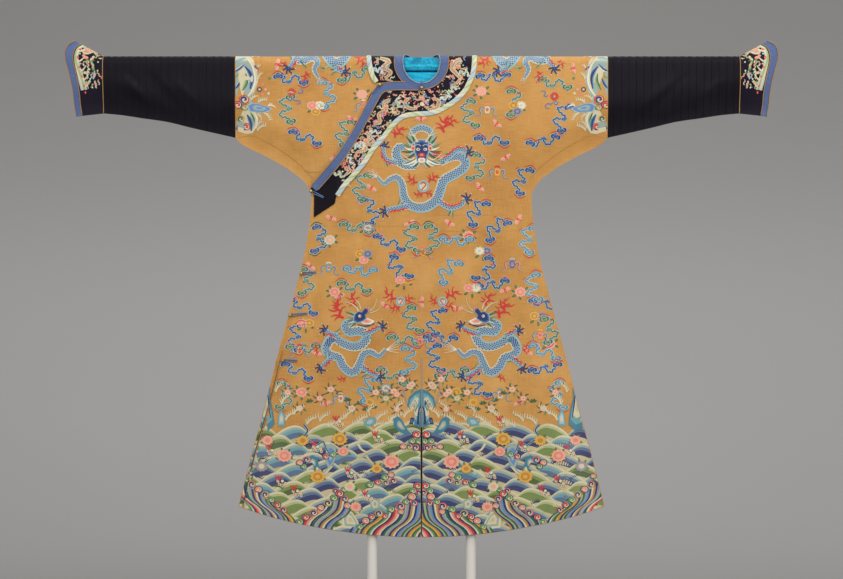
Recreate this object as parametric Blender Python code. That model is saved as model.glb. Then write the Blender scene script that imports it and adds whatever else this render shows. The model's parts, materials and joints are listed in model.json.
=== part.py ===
"""A formal robe of woven silk with dark sleeve extensions, horseshoe cuffs and a front that crosses to the side,
shown flat-armed on a padded crossbar that two round posts carry above a steel base plate.

Metres, +Z up, +X towards the wearer's left, -Y towards the front. The origin is on the floor under the middle of
the stand. A point of the cloth is given by x and by its depth below the shoulder line, which is negative on the
back, so that the cloth runs over the bar where the depth changes sign."""

import math

import bmesh
import bpy
import numpy as np
from mathutils import Matrix, Vector

# The stand
PLATE_LENGTH = 0.600
PLATE_DEPTH = 0.400
PLATE_THICKNESS = 0.008
PLATE_CORNER = 0.040
POST_X = 0.148
POST_RADIUS = 0.015
BAR_RADIUS = 0.020
BAR_HALF_LENGTH = 0.940
BAR_END = 0.006

# The cloth and how its layers lie
SHOULDER_Z = 1.770
CLOTH = 0.002
FACING = 0.001
BAND = 0.0012
GAP = 0.0003
HANG = BAR_RADIUS + GAP + CLOTH
BAR_Z = SHOULDER_Z - HANG
ARC = HANG * math.pi / 2
ARC_STEPS = 3
SEAM_SIDE = GAP / 2 + CLOTH
SIDE_EASE = 0.110
LAYER = CLOTH + GAP
LAYER_START = 0.028
LAYER_EASE = 0.052
SIDE_SLACK = 0.0012
SLACK_EASE = 0.120
UNDERARM_SLACK = 0.0030
FLAP_SLACK = 0.0006
ARC_SLACK = 0.0003
RING_SLACK = 0.0005

# The cut of the robe
NECK_HALF_WIDTH = 0.054
NECK_WIDEST = 0.030
NECK_FRONT = 0.0937
NECK_BACK = ARC * 2 / 3
NECK_RING_SIDE = 0.026
NECK_RING_FRONT = 0.019
NECK_RING_BACK = 0.020
SLEEVE_SEAM_X = 0.558
CUFF_SEAM_X = 0.952
HEM_DEPTH = 1.440
HEM_RISE = 0.090
HEM_BEND_START = 1.000
FLAP_EDGE = 0.005
FLAP_SHOWS = 0.016
FLAP_SHOWS_FROM = 0.900
FLAP_SHOWS_EASE = 0.060
VENT_HALF_GAP = 0.0022

# Half width of the body at each depth, from under the arm to the hem: depth, half width
BODY_SIDE = (
    (0.2440, 0.558),
    (0.262, 0.541),
    (0.280, 0.508),
    (0.298, 0.470),
    (0.316, 0.437),
    (0.334, 0.405),
    (0.352, 0.380),
    (0.370, 0.357),
    (0.388, 0.343),
    (0.406, 0.333),
    (0.442, 0.330),
    (0.478, 0.333),
    (0.550, 0.343),
    (0.622, 0.358),
    (0.766, 0.396),
    (0.910, 0.435),
    (1.054, 0.472),
    (1.198, 0.511),
    (1.350, 0.549),
)

# Lower edge of the sleeve: distance from the middle, depth
SLEEVE_UNDERSIDE = (
    (0.952, 0.171),
    (0.900, 0.176),
    (0.840, 0.185),
    (0.760, 0.197),
    (0.690, 0.214),
    (0.558, 0.2440),
)

# Free edge of the front that crosses to the side: depth, x
OVERLAP_EDGE = (
    (0.080, -0.100),
    (0.084, -0.116),
    (0.100, -0.139),
    (0.158, -0.171),
    (0.213, -0.199),
    (0.284, -0.241),
    (0.339, -0.283),
    (0.400, -0.336),
)

# Middle line of the blue band along that edge: x, depth
BAND_WIDTH = 0.022
BAND_STEP = 0.012
BAND_LINE = (
    (-0.002, 0.091),
    (-0.040, 0.0905),
    (-0.072, 0.090),
    (-0.100, 0.092),
    (-0.118, 0.098),
    (-0.132, 0.112),
    (-0.145, 0.135),
    (-0.161, 0.165),
    (-0.187, 0.215),
    (-0.228, 0.283),
    (-0.269, 0.337),
    (-0.322, 0.397),
)

# Middle line of the rope border on the front, from the wearer's left shoulder to under the arm: x, depth
ROPE_WIDTH = 0.013
ROPE_STEP = 0.009
ROPE_FRONT = (
    (0.160, 0.0002),
    (0.155, 0.047),
    (0.144, 0.077),
    (0.129, 0.105),
    (0.097, 0.137),
    (0.054, 0.163),
    (0.021, 0.172),
    (-0.024, 0.175),
    (-0.058, 0.183),
    (-0.088, 0.209),
    (-0.116, 0.246),
    (-0.144, 0.277),
    (-0.172, 0.320),
    (-0.202, 0.356),
    (-0.230, 0.387),
    (-0.251, 0.418),
)

# Outer edge of the collar facing on the front: depth, x
COLLAR_EDGE = (
    (0.000, 0.1665),
    (0.047, 0.1615),
    (0.078, 0.150),
    (0.108, 0.134),
    (0.142, 0.101),
    (0.169, 0.056),
    (0.179, 0.020),
    (0.182, -0.024),
    (0.190, -0.056),
    (0.214, -0.083),
    (0.250, -0.110),
    (0.281, -0.138),
    (0.324, -0.166),
    (0.361, -0.197),
    (0.392, -0.225),
    (0.4225, -0.246),
)
COLLAR_END = 0.405
COLLAR_SIDE = 0.158
COLLAR_BACK = 0.165
COLLAR_LAST_ROW = 0.162

# Plain dark end of the facing under the arm, seam beside the embroidered part: depth, x
TAB_SEAM = (
    (0.3285, -0.2385),
    (0.354, -0.249),
    (0.414, -0.2544),
    (0.4365, -0.258),
)
TAB_TIP = (-0.3225, 0.483)
TAB_INSET = 0.008

# Outer edge of a horseshoe cuff, from its upper tip down: depth, x
CUFF_EDGE = (
    (-0.046, 1.040),
    (-0.038, 1.056),
    (-0.031, 1.062),
    (-0.013, 1.069),
    (0.004, 1.069),
    (0.040, 1.060),
    (0.076, 1.051),
    (0.112, 1.045),
    (0.148, 1.042),
    (0.180, 1.036),
)
CUFF_DEPTH = 0.014
CUFF_NOSE = 0.050
CUFF_BOTTOM = 0.171
CUFF_ARC_SHARE = 0.25
CUFF_COLUMNS = (0.0, 0.15, 0.32, 0.49, 0.65, 0.79, 0.90, 1.0)
CUFF_BAND_COLUMNS = (0.79, 0.90, 1.0)

# Tucks across the dark sleeves
TUCK_COUNT = 17
TUCK_FIRST_X = 0.575
TUCK_PITCH = 0.0225
TUCK_HEIGHT = 0.0014
TUCK_STEP = 0.0015

# Soft folds: x and depth of both ends, half width, height. The height is outwards, or inwards if negative.
FRONT_FOLDS = (
    (0.925, 0.060, 0.660, 0.215, 0.022, 0.0050),
    (0.880, 0.050, 0.720, 0.185, 0.018, -0.0035),
    (0.790, 0.045, 0.600, 0.200, 0.020, 0.0030),
    (-0.925, 0.060, -0.680, 0.205, 0.022, 0.0050),
    (-0.850, 0.050, -0.700, 0.190, 0.018, -0.0030),
    (-0.760, 0.050, -0.590, 0.210, 0.020, 0.0035),
    (0.430, 0.900, 0.450, 1.500, 0.050, 0.0060),
    (0.300, 0.950, 0.310, 1.500, 0.060, -0.0045),
    (0.120, 0.900, 0.130, 1.500, 0.050, 0.0045),
    (-0.100, 0.980, -0.100, 1.500, 0.050, 0.0045),
    (-0.240, 0.900, -0.260, 1.500, 0.060, -0.0050),
    (-0.400, 0.850, -0.430, 1.500, 0.050, 0.0060),
)
BACK_FOLDS = (
    (0.915, 0.065, 0.690, 0.205, 0.020, 0.0045),
    (0.830, 0.055, 0.640, 0.200, 0.020, -0.0030),
    (-0.900, 0.060, -0.670, 0.210, 0.022, 0.0045),
    (-0.810, 0.050, -0.620, 0.205, 0.018, -0.0035),
    (0.380, 0.900, 0.400, 1.500, 0.055, 0.0055),
    (0.230, 0.950, 0.240, 1.500, 0.055, -0.0050),
    (0.090, 0.900, 0.090, 1.500, 0.050, 0.0050),
    (-0.110, 0.950, -0.110, 1.500, 0.050, 0.0045),
    (-0.270, 0.900, -0.280, 1.500, 0.060, -0.0050),
    (-0.420, 0.850, -0.440, 1.500, 0.050, 0.0055),
)
FOLD_CLEAR = 0.025
FOLD_START = 0.040

# Ball buttons, each with the strap of its loop: x and depth of the ball, strap's far end x and depth
FASTENINGS = (
    ("neck", 0.0005, 0.096, 0.0005, 0.074),
    ("collarbone", -0.125, 0.087, -0.146, 0.112),
    ("underarm", -0.331, 0.405, -0.292, 0.423),
    ("side_upper", -0.3600, 0.651, -0.3160, 0.648),
    ("side_middle", -0.3940, 0.776, -0.3420, 0.771),
    ("side_lower", -0.4150, 0.912, -0.3720, 0.912),
)
BALL_PROFILE = (
    (0.0016, 0.0000),
    (0.0016, 0.0040),
    (0.0036, 0.0048),
    (0.0049, 0.0078),
    (0.0044, 0.0106),
    (0.0024, 0.0124),
)
BALL_SIDES = 10
LOOP_RADIUS = 0.0014
LOOP_HALF_WIDTH = 0.0034
LOOP_TURN_POINTS = 5
SIDE_FASTENING_SLACK = 0.0006

# Colours as linear red, green and blue
GOLD_SILK = (0.56, 0.29, 0.08)
DARK_SILK = (0.012, 0.010, 0.020)
NAVY_SATIN = (0.014, 0.010, 0.026)
BLUE_BAND = (0.060, 0.110, 0.290)
CREAM_SILK = (0.78, 0.72, 0.48)
TURQUOISE = (0.01, 0.33, 0.52)
BRASS = (0.60, 0.42, 0.16)
WHITE_PAINT = (0.80, 0.80, 0.79)


def material(name, colour, roughness, metallic=0.0):
    made = bpy.data.materials.new(name)
    made.use_nodes = True
    shader = made.node_tree.nodes["Principled BSDF"]
    shader.inputs["Base Color"].default_value = (*colour, 1.0)
    shader.inputs["Roughness"].default_value = roughness
    shader.inputs["Metallic"].default_value = metallic
    return made


def ease(value):
    """Rises from 0 to 1 with a level start and end."""
    held = np.clip(value, 0.0, 1.0)
    return held * held * (3.0 - 2.0 * held)


def read_table(table, at):
    """Straight-line reading of a two-column table."""
    columns = np.array(table)
    return np.interp(at, columns[:, 0], columns[:, 1])


def half_width(depth):
    """Half width of the body. Above the underarm it is the sleeve seam's distance from the middle."""
    return read_table(BODY_SIDE, depth)


# Where the front and back panels meet: the sleeve's underside, then the side of the body, run on below the hem
MEETING_LINE = (
    *((x, depth) for x, depth in SLEEVE_UNDERSIDE),
    *((width, depth) for depth, width in BODY_SIDE[1:]),
    (0.640, 1.700),
)


def distance_to_side(x, depth):
    """Distance on the flat pattern from a point to the line where front and back meet."""
    across = np.abs(x)
    nearest = np.full(np.broadcast(x, depth).shape, 9.0)
    for (ax, ad), (bx, bd) in zip(MEETING_LINE[:-1], MEETING_LINE[1:]):
        ux = bx - ax
        ud = bd - ad
        share = ((across - ax) * ux + (depth - ad) * ud) / (ux * ux + ud * ud)
        share = np.clip(share, 0.0, 1.0)
        nearest = np.minimum(nearest, np.hypot(across - ax - share * ux, depth - ad - share * ud))
    return nearest


def fold_height(folds, x, depth):
    """Sum of soft ridges, each with a bell-shaped section along a straight line and faded ends."""
    total = np.zeros(np.broadcast(x, depth).shape)
    for x0, d0, x1, d1, width, height in folds:
        ux = x1 - x0
        ud = d1 - d0
        length = math.hypot(ux, ud)
        along = ((x - x0) * ux + (depth - d0) * ud) / (length * length)
        across = ((x - x0) * ud - (depth - d0) * ux) / length
        fade = ease(along / 0.3) * ease((1.0 - along) / 0.3)
        total = total + height * fade * np.exp(-((across / width) ** 2))
    return total * ease((depth - FOLD_CLEAR) / FOLD_START)


def at_underarm(x, depth):
    """1 where the crossing front ends under the wearer's right arm, fading to 0 around it."""
    return ease((depth - 0.24) / 0.06) * (1.0 - ease((depth - 0.42) / 0.08)) * ease((-x - 0.10) / 0.10)


def reach(panel, x, depth):
    """How far a panel's outer face stands from the garment's middle plane."""
    side = distance_to_side(x, depth)
    full = ease(side / SIDE_EASE)
    folds = BACK_FOLDS if panel == "back" else FRONT_FOLDS
    out = SEAM_SIDE + (HANG - SEAM_SIDE + fold_height(folds, x, depth)) * full
    under = out - LAYER * full * ease((depth - LAYER_START) / LAYER_EASE)
    slack = SIDE_SLACK + FLAP_SLACK * ease((depth - FLAP_SHOWS_FROM + FLAP_SHOWS_EASE) / FLAP_SHOWS_EASE)
    over = under + LAYER + slack * (1.0 - ease(side / SLACK_EASE)) + UNDERARM_SLACK * at_underarm(x, depth)
    if panel == "right_front":
        return under
    if panel == "overlap":
        return over
    if panel == "front_top":
        return np.where(x < 0.0, over, out)
    return out


def run_at(depth):
    """Length along the cloth from the shoulder line to a depth, with the depth's sign."""
    drop = np.abs(depth)
    around = HANG * np.arccos(1.0 - np.minimum(drop, HANG) / HANG)
    below = np.maximum(drop - HANG, 0.0)
    return np.where(depth < 0.0, -1.0, 1.0) * (around + below)


def depth_at(run):
    """Depth below the shoulder line after a length along the cloth, with the length's sign."""
    length = np.abs(run)
    angle = np.minimum(length, ARC) / HANG
    return np.where(run < 0.0, -1.0, 1.0) * (HANG * (1.0 - np.cos(angle)) + np.maximum(length - ARC, 0.0))


def surface(panel, x, run):
    """Outer face of the body and sleeves: round over the bar, then straight down, standing off by reach."""
    length = np.abs(run)
    angle = np.minimum(length, ARC) / HANG
    depth = HANG * (1.0 - np.cos(angle)) + np.maximum(length - ARC, 0.0)
    out = reach(panel, x, depth) * np.sin(angle)
    y = np.where(run < 0.0, out, -out)
    return np.stack(np.broadcast_arrays(x, y, SHOULDER_Z - depth), axis=-1)


def lifted(face_of, across, along, lift):
    """Points of a face moved out along its normal, found from small steps on the face."""
    step = 0.0005
    right = face_of(across + step, along) - face_of(across - step, along)
    down = face_of(across, along + step) - face_of(across, along - step)
    normal = np.cross(down, right)
    normal = normal / np.linalg.norm(normal, axis=-1, keepdims=True)
    return face_of(across, along) + normal * np.asarray(lift)[..., None]


def wall(name, outer, inner, finish, ring=False):
    """Closed solid between two grids of points. A ring also joins its last row to its first."""
    rows, columns = outer.shape[:2]
    count = rows * columns
    index = np.arange(count).reshape(rows, columns)
    if ring:
        index = np.vstack([index, index[:1]])
    faces = []

    def quads(a, b, c, d):
        for p, q, r, s in zip(a.ravel(), b.ravel(), c.ravel(), d.ravel()):
            faces.append((p, q, r))
            faces.append((p, r, s))

    quads(index[:-1, :-1], index[1:, :-1], index[1:, 1:], index[:-1, 1:])
    below = index + count
    quads(below[:-1, :-1], below[:-1, 1:], below[1:, 1:], below[1:, :-1])
    quads(index[:-1, 0], below[:-1, 0], below[1:, 0], index[1:, 0])
    quads(index[1:, -1], below[1:, -1], below[:-1, -1], index[:-1, -1])
    if not ring:
        quads(index[0, 1:], below[0, 1:], below[0, :-1], index[0, :-1])
        quads(index[-1, :-1], below[-1, :-1], below[-1, 1:], index[-1, 1:])
    points = np.concatenate([outer.reshape(-1, 3), inner.reshape(-1, 3)])
    return solid(name, points.tolist(), faces, finish)


def solid(name, points, faces, finish):
    """Mesh object from points and faces, with every face turned outwards."""
    mesh = bpy.data.meshes.new(name)
    mesh.from_pydata(points, [], [tuple(int(i) for i in face) for face in faces])
    bm = bmesh.new()
    bm.from_mesh(mesh)
    bmesh.ops.recalc_face_normals(bm, faces=bm.faces)
    bm.to_mesh(mesh)
    bm.free()
    mesh.materials.append(finish)
    made = bpy.data.objects.new(name, mesh)
    bpy.context.scene.collection.objects.link(made)
    return made


def cloth_wall(name, panel, x, run, finish, low=-CLOTH, high=0.0, ring=False):
    """A wall on a panel's face, from one height above that face to another."""

    def face(across, along):
        return surface(panel, across, along)

    outer = lifted(face, x, run, np.broadcast_to(high, x.shape))
    inner = lifted(face, x, run, np.broadcast_to(low, x.shape))
    return wall(name, outer, inner, finish, ring)


def rest(x, run):
    """Height at which a piece clears the panel under it, a little more on the bar and towards the sides."""
    depth = np.abs(depth_at(run))
    on_bar = 1.0 - ease((np.abs(run) - ARC) / 0.010)
    near_side = 1.0 - ease(distance_to_side(x, depth) / SLACK_EASE)
    return GAP + ARC_SLACK * on_bar + SIDE_SLACK * np.maximum(near_side, at_underarm(x, depth_at(run)))


def arc_rows():
    """Lengths along the cloth from the shoulder line to the bar's front, in equal steps."""
    return [ARC * step / ARC_STEPS for step in range(ARC_STEPS + 1)]


def neck_half_width(run):
    """Half width of the neck opening, two half ellipses that meet where it is widest."""
    below = (run - NECK_WIDEST) / (NECK_FRONT - NECK_WIDEST)
    above = (NECK_WIDEST - run) / (NECK_WIDEST + NECK_BACK)
    share = np.clip(np.where(run > NECK_WIDEST, below, above), 0.0, 1.0)
    return NECK_HALF_WIDTH * np.sqrt(1.0 - share * share)


def vent_half_gap(depth):
    """Half the gap at the centre seam, which opens a little below the vent's top."""
    opening = ease((depth - HEM_BEND_START) / 0.15) * (1.0 - 0.5 * ease((depth - 1.3) / 0.1))
    return GAP / 2 + VENT_HALF_GAP * opening


BODY_COLUMNS = np.array([0.0, 0.13, 0.27, 0.40, 0.54, 0.66, 0.77, 0.86, 0.93, 0.975, 1.0])
UNDERARM_ROWS = [depth for depth, _ in BODY_SIDE[:11]]
LOWER_ROWS = [0.500, 0.580, 0.670, 0.770, 0.830, FLAP_SHOWS_FROM, 0.970, 1.050, 1.130, 1.210, 1.290, 1.365, HEM_DEPTH]
NECK_ROWS = [0.034, 0.048, 0.060, 0.070, 0.077, 0.080, 0.081]
CHEST_ROWS = [0.100, 0.130, 0.165, 0.205]
BACK_ROWS = [0.060, 0.110, 0.165, 0.205]


def body_runs(depths):
    """Rows of a front or back: those over the bar, then those at the depths given."""
    return np.array(arc_rows() + [float(run_at(depth)) for depth in depths])


def hem_shift(centre_depth, share):
    """How much higher a row lies towards the side, so that the last row follows the curved hem."""
    bend = ((centre_depth - HEM_BEND_START) / (HEM_DEPTH - HEM_BEND_START)).clip(0.0, 1.0)
    return HEM_RISE * bend * bend * share * share


def body_grid(runs, inner_x, trim=0.0):
    """Points of half a body on x > 0: columns from the inner edge to the side, rows bent to the hem."""
    sign = np.where(runs < 0.0, -1.0, 1.0)
    depth = np.abs(depth_at(runs))[:, None]
    side = half_width(depth - hem_shift(depth, 1.0)) - trim
    x = inner_x[:, None] + (side - inner_x[:, None]) * BODY_COLUMNS[None, :]
    bent = depth - hem_shift(depth, np.abs(x) / side)
    return x, sign[:, None] * np.abs(run_at(bent))


def centre_edge(runs):
    """Inner edge of half a body: the neck opening, and below it the centre seam with its vent."""
    return np.maximum(neck_half_width(runs), vent_half_gap(np.abs(depth_at(runs))))


def make_halves(gold):
    front = body_runs(NECK_ROWS + CHEST_ROWS + UNDERARM_ROWS + LOWER_ROWS)
    back = body_runs(BACK_ROWS + UNDERARM_ROWS + LOWER_ROWS)
    runs = np.concatenate([-back[:0:-1], front])
    x, run = body_grid(runs, centre_edge(runs))
    panel_split("left_half", "front", x, run, gold)

    inner = centre_edge(runs)
    inner = np.where(runs > 0.0, np.maximum(inner, FLAP_EDGE), inner)
    x, run = body_grid(runs, inner)
    panel_split("right_half", "right_front", -x, run, gold)


def panel_split(name, front_panel, x, run, gold):
    """One length of cloth over the shoulder, with the front's form before the bar and the back's behind it."""

    def face(across, along):
        before = surface(front_panel, across, along)
        behind = surface("back", across, along)
        return np.where((along < 0.0)[..., None], behind, before)

    outer = lifted(face, x, run, np.zeros(x.shape))
    inner = lifted(face, x, run, np.full(x.shape, -CLOTH))
    wall(name, outer, inner, gold)


def make_overlap(gold):
    """The front that crosses to the wearer's right side. Below the underarm its columns lie on the flap's, and
    the last two move in where the flap shows beside it."""
    rows = [0.080, 0.084, *CHEST_ROWS, *UNDERARM_ROWS, *LOWER_ROWS]
    depths = np.array(rows)[:, None]
    side = half_width(depths - hem_shift(depths, 1.0))
    shown = FLAP_SHOWS * ease((depths - FLAP_SHOWS_FROM) / FLAP_SHOWS_EASE)
    kept = BODY_COLUMNS[-3]
    moved = np.clip((BODY_COLUMNS[None, :] - kept) / (1.0 - kept), 0.0, 1.0)
    free = -read_table(OVERLAP_EDGE, depths)
    outer_x = np.where(depths <= 0.400, np.minimum(free, side), side)
    inner_x = vent_half_gap(depths)
    x = inner_x + (outer_x - inner_x) * BODY_COLUMNS[None, :] - shown * moved
    bent = depths - hem_shift(depths, x / side)
    cloth_wall("front_overlap", "overlap", -x, run_at(bent), gold)


def tuck_columns():
    """Distances from the middle of the sleeve's columns, with the height of the cloth's outer face at each."""
    columns = [SLEEVE_SEAM_X + GAP]
    heights = [0.0]
    for number in range(TUCK_COUNT):
        start = TUCK_FIRST_X + TUCK_PITCH * number
        columns += [start, start + TUCK_STEP]
        heights += [TUCK_HEIGHT, 0.0]
    columns.append(CUFF_SEAM_X - GAP)
    heights.append(0.0)
    return np.array(columns), np.array(heights)


def make_sleeves(dark):
    columns, heights = tuck_columns()
    arc = np.array(arc_rows())
    shares = np.linspace(0.0, 1.0, 6)[1:]
    underside = np.interp(columns, *np.array(SLEEVE_UNDERSIDE[::-1]).T)
    low = HANG + (underside[None, :] - HANG) * shares[:, None]
    half = np.vstack([np.broadcast_to(arc[:, None], (arc.size, columns.size)), run_at(low)])
    run = np.vstack([-half[:0:-1], half])
    x = np.broadcast_to(columns, run.shape)
    raised = np.broadcast_to(heights, run.shape)
    for side, name in ((1.0, "sleeve_left"), (-1.0, "sleeve_right")):

        def face(across, along):
            before = surface("front", across, along)
            behind = surface("back", across, along)
            return np.where((along < 0.0)[..., None], behind, before)

        outer = lifted(face, side * x, run, raised)
        inner = lifted(face, side * x, run, np.full(run.shape, -CLOTH))
        wall(name, outer, inner, dark)


def cuff_face(side):
    """Outer face of a cuff: the sleeve's end section, flattening and rising towards its shaped outer edge."""
    edge = np.array(CUFF_EDGE)

    def face(across, along):
        share = across
        spread = np.clip(share, 0.0, 1.0)
        angle = np.minimum(np.abs(along) / CUFF_ARC_SHARE, 1.0) * math.pi / 2
        lower = np.maximum((np.abs(along) - CUFF_ARC_SHARE) / (1.0 - CUFF_ARC_SHARE), 0.0)
        nose = HANG + (CUFF_NOSE - HANG) * ease(spread)
        top = edge[0, 0] * share
        bottom = CUFF_BOTTOM + (edge[-1, 0] - CUFF_BOTTOM) * share
        down = nose * (1.0 - np.cos(angle)) + lower * (bottom - top - nose)
        full = HANG + (CUFF_DEPTH - HANG) * ease(spread)
        from_bottom = ease((bottom - top - down) / SIDE_EASE)
        out = (SEAM_SIDE + (full - SEAM_SIDE) * from_bottom) * np.sin(angle)
        reached = edge[0, 0] + down / (bottom - top) * (edge[-1, 0] - edge[0, 0])
        x = CUFF_SEAM_X + GAP + share * (np.interp(reached, edge[:, 0], edge[:, 1]) - CUFF_SEAM_X - GAP)
        y = np.where(along < 0.0, out, -out)
        return np.stack(np.broadcast_arrays(side * x, y, SHOULDER_Z - top - down), axis=-1)

    return face


def make_cuffs(navy, blue):
    arc = np.linspace(0.0, CUFF_ARC_SHARE, ARC_STEPS + 1)
    low = np.linspace(CUFF_ARC_SHARE, 1.0, 7)[1:]
    half = np.concatenate([arc, low])
    rows = np.concatenate([-half[:0:-1], half])[:, None]
    for side, end in ((1.0, "left"), (-1.0, "right")):
        face = cuff_face(side)
        turn = side

        def sheet(name, shares, low_lift, high_lift, finish):
            columns = np.array(shares)[None, :]
            across = np.broadcast_to(columns, (rows.size, columns.size)) + 0.0
            along = np.broadcast_to(rows, across.shape) + 0.0
            outer = lifted(face, across, along, np.full(across.shape, turn * high_lift))
            inner = lifted(face, across, along, np.full(across.shape, turn * low_lift))
            wall(name, outer, inner, finish)

        sheet(f"cuff_{end}", CUFF_COLUMNS, -CLOTH, 0.0, navy)
        sheet(f"cuff_band_{end}", CUFF_BAND_COLUMNS, GAP, GAP + FACING, blue)


def ruled(left_x, left_run, right_x, right_run, shares):
    """Grid between two edges, given as points of equal number on each."""
    share = np.array(shares)[None, :]
    x = left_x[:, None] + (right_x - left_x)[:, None] * share
    run = left_run[:, None] + (right_run - left_run)[:, None] * share
    return x, run


def make_collar(navy, dark):
    """The dark facing round the neck and down the free edge, with its plain end under the arm."""
    shares = (0.0, 0.35, 0.7, 1.0)
    neck = np.array(arc_rows() + [float(run_at(depth)) for depth in (*NECK_ROWS[:-2], 0.0795)])
    lower = np.array([0.0805, 0.084, 0.100, 0.130, 0.158, 0.169, 0.179, 0.182, 0.190, 0.214, 0.250, 0.284])
    lower = np.append(lower, [0.3285, 0.354, 0.378, COLLAR_END])
    tab_side = read_table(TAB_SEAM, lower) + GAP
    free = np.where(lower > 0.328, tab_side, read_table(OVERLAP_EDGE, lower))
    left_x = np.concatenate([neck_half_width(neck), free])
    left_run = np.concatenate([neck, run_at(lower)])
    right_x = read_table(COLLAR_EDGE, np.abs(depth_at(left_run)))
    x, run = ruled(left_x, left_run + GAP * (left_run == 0.0), right_x, left_run, shares)
    x, run = x[1:], run[1:]
    low = rest(x, run)
    cloth_wall("collar_front", "front_top", x, run, navy, low, low + FACING)

    back = np.array(arc_rows() + [0.060, 0.090, 0.115, 0.135, 0.150, COLLAR_LAST_ROW])
    side = COLLAR_SIDE * np.sqrt(1.0 - (back / COLLAR_BACK) ** 2)
    inner = np.maximum(neck_half_width(-back), GAP / 2)
    x, run = ruled(inner, -back, side, -back, shares)
    low = rest(x, run)
    cloth_wall("collar_back_left", "back", x, run, navy, low, low + FACING)

    front = neck[1:]
    shoulder = np.interp(depth_at(front), (0.0, 0.040, 0.0795), (COLLAR_SIDE, 0.153, 0.136))
    rows = np.concatenate([-back[::-1], front])
    outer = np.concatenate([side[::-1], shoulder])
    inside = np.concatenate([inner[::-1], neck_half_width(front)])
    x, run = ruled(inside, rows, outer, rows, shares)
    x = -x

    def face(across, along):
        before = surface("right_front", across, along)
        behind = surface("back", across, along)
        return np.where((along < 0.0)[..., None], behind, before)

    low = rest(x, run)
    wall("collar_back_right", lifted(face, x, run, low + FACING), lifted(face, x, run, low), navy)

    tab = np.array([0.3285, 0.339, 0.354, 0.372, 0.388, 0.400, 0.410, 0.4365])
    edge = np.where(tab <= 0.400, read_table(OVERLAP_EDGE, tab), TAB_INSET - half_width(tab))
    left_x = np.append(edge, TAB_TIP[0])
    left_depth = np.append(tab, TAB_TIP[1])
    seam = read_table(TAB_SEAM, tab)
    right_x = np.append(seam, seam[-1] - 0.002)
    right_depth = np.append(tab, tab[-1] + 0.006)
    x, run = ruled(left_x, run_at(left_depth), right_x, run_at(right_depth), (0.0, 0.5, 1.0))
    low = rest(x, run)
    cloth_wall("collar_end", "overlap", x, run, dark, low, low + FACING)


def smooth_line(points, spacing):
    """Points at an even spacing along a curve through the given ones, by a Catmull-Rom spline."""
    knots = np.array(points)
    ends = np.vstack([2 * knots[0] - knots[1], knots, 2 * knots[-1] - knots[-2]])
    fine = []
    for a, b, c, d in zip(ends[:-3], ends[1:-2], ends[2:-1], ends[3:]):
        t = np.linspace(0.0, 1.0, 12, endpoint=False)[:, None]
        bend = 2 * a - 5 * b + 4 * c - d
        fine.append(0.5 * (2 * b + (c - a) * t + bend * t * t + (3 * b - a - 3 * c + d) * t**3))
    line = np.vstack([*fine, knots[-1:]])
    travelled = np.append(0.0, np.cumsum(np.linalg.norm(np.diff(line, axis=0), axis=1)))
    count = max(2, int(round(travelled[-1] / spacing)) + 1)
    at = np.linspace(0.0, travelled[-1], count)
    return np.stack([np.interp(at, travelled, line[:, 0]), np.interp(at, travelled, line[:, 1])], axis=1)


def strip_grid(line, width, shares, ring=False):
    """Grid across a strip whose middle line is given as x and length along the cloth."""
    if ring:
        ahead = np.roll(line, -1, axis=0) - np.roll(line, 1, axis=0)
    else:
        ahead = np.gradient(line, axis=0)
    ahead = ahead / np.linalg.norm(ahead, axis=1, keepdims=True)
    aside = np.stack([ahead[:, 1], -ahead[:, 0]], axis=1) * np.reshape(width, (-1, 1)) / 2
    left = line - aside
    right = line + aside
    return ruled(left[:, 0], left[:, 1], right[:, 0], right[:, 1], shares)


def in_run(points):
    """A line given as x and depth, as x and length along the cloth."""
    line = np.array(points)
    return np.stack([line[:, 0], run_at(line[:, 1])], axis=1)


def make_borders(blue, cream):
    line = smooth_line(in_run(ROPE_FRONT), ROPE_STEP)
    line = line[line[:, 1] > GAP]
    x, run = strip_grid(line, ROPE_WIDTH, (0.0, 0.5, 1.0))
    low = rest(x, run) * 2 + FACING
    cloth_wall("rope_border_front", "front_top", x, run, cream, low, low + BAND)

    angle = np.linspace(0.0, math.pi, 64)
    around = np.stack([-COLLAR_SIDE * np.cos(angle), -COLLAR_BACK * np.sin(angle)], axis=1)
    front = in_run(((-0.1345, 0.0785), (-0.145, 0.062), (-0.152, 0.040), (-0.157, 0.012)))
    line = smooth_line(np.vstack([front, around[1:-1:3], ((COLLAR_SIDE, -GAP),)]), ROPE_STEP)
    x, run = strip_grid(line, ROPE_WIDTH, (0.0, 0.5, 1.0))
    low = rest(x, run) * 2 + FACING
    cloth_wall("rope_border_back", "back", x, run, cream, low, low + BAND)

    turn = np.linspace(0.0, 2 * math.pi, 48, endpoint=False)
    front_side = np.sin(turn) > 0.0
    reach_in = np.where(front_side, NECK_FRONT - NECK_WIDEST, NECK_WIDEST + NECK_BACK)
    inner_x = NECK_HALF_WIDTH * np.cos(turn)
    inner_run = NECK_WIDEST + reach_in * np.sin(turn)
    wide = np.where(front_side, NECK_RING_FRONT, NECK_RING_BACK)
    outer_x = (NECK_HALF_WIDTH + NECK_RING_SIDE) * np.cos(turn)
    outer_run = NECK_WIDEST + (reach_in + wide) * np.sin(turn)
    x, run = ruled(inner_x, inner_run, outer_x, outer_run, (0.0, 0.34, 0.67, 1.0))
    low = rest(x, run) * 2 + FACING + RING_SLACK
    cloth_wall("neck_band", "back", x, run, blue, low, low + BAND, ring=True)

    line = smooth_line(in_run(BAND_LINE), BAND_STEP)
    x, run = strip_grid(line, BAND_WIDTH, (0.0, 0.5, 1.0))
    over_ring = (BAND + GAP * 2) * ease((x + 0.105) / 0.025)
    low = rest(x, run) * 2 + FACING + over_ring
    cloth_wall("overlap_band", "overlap", x, run, blue, low, low + BAND)


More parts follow.
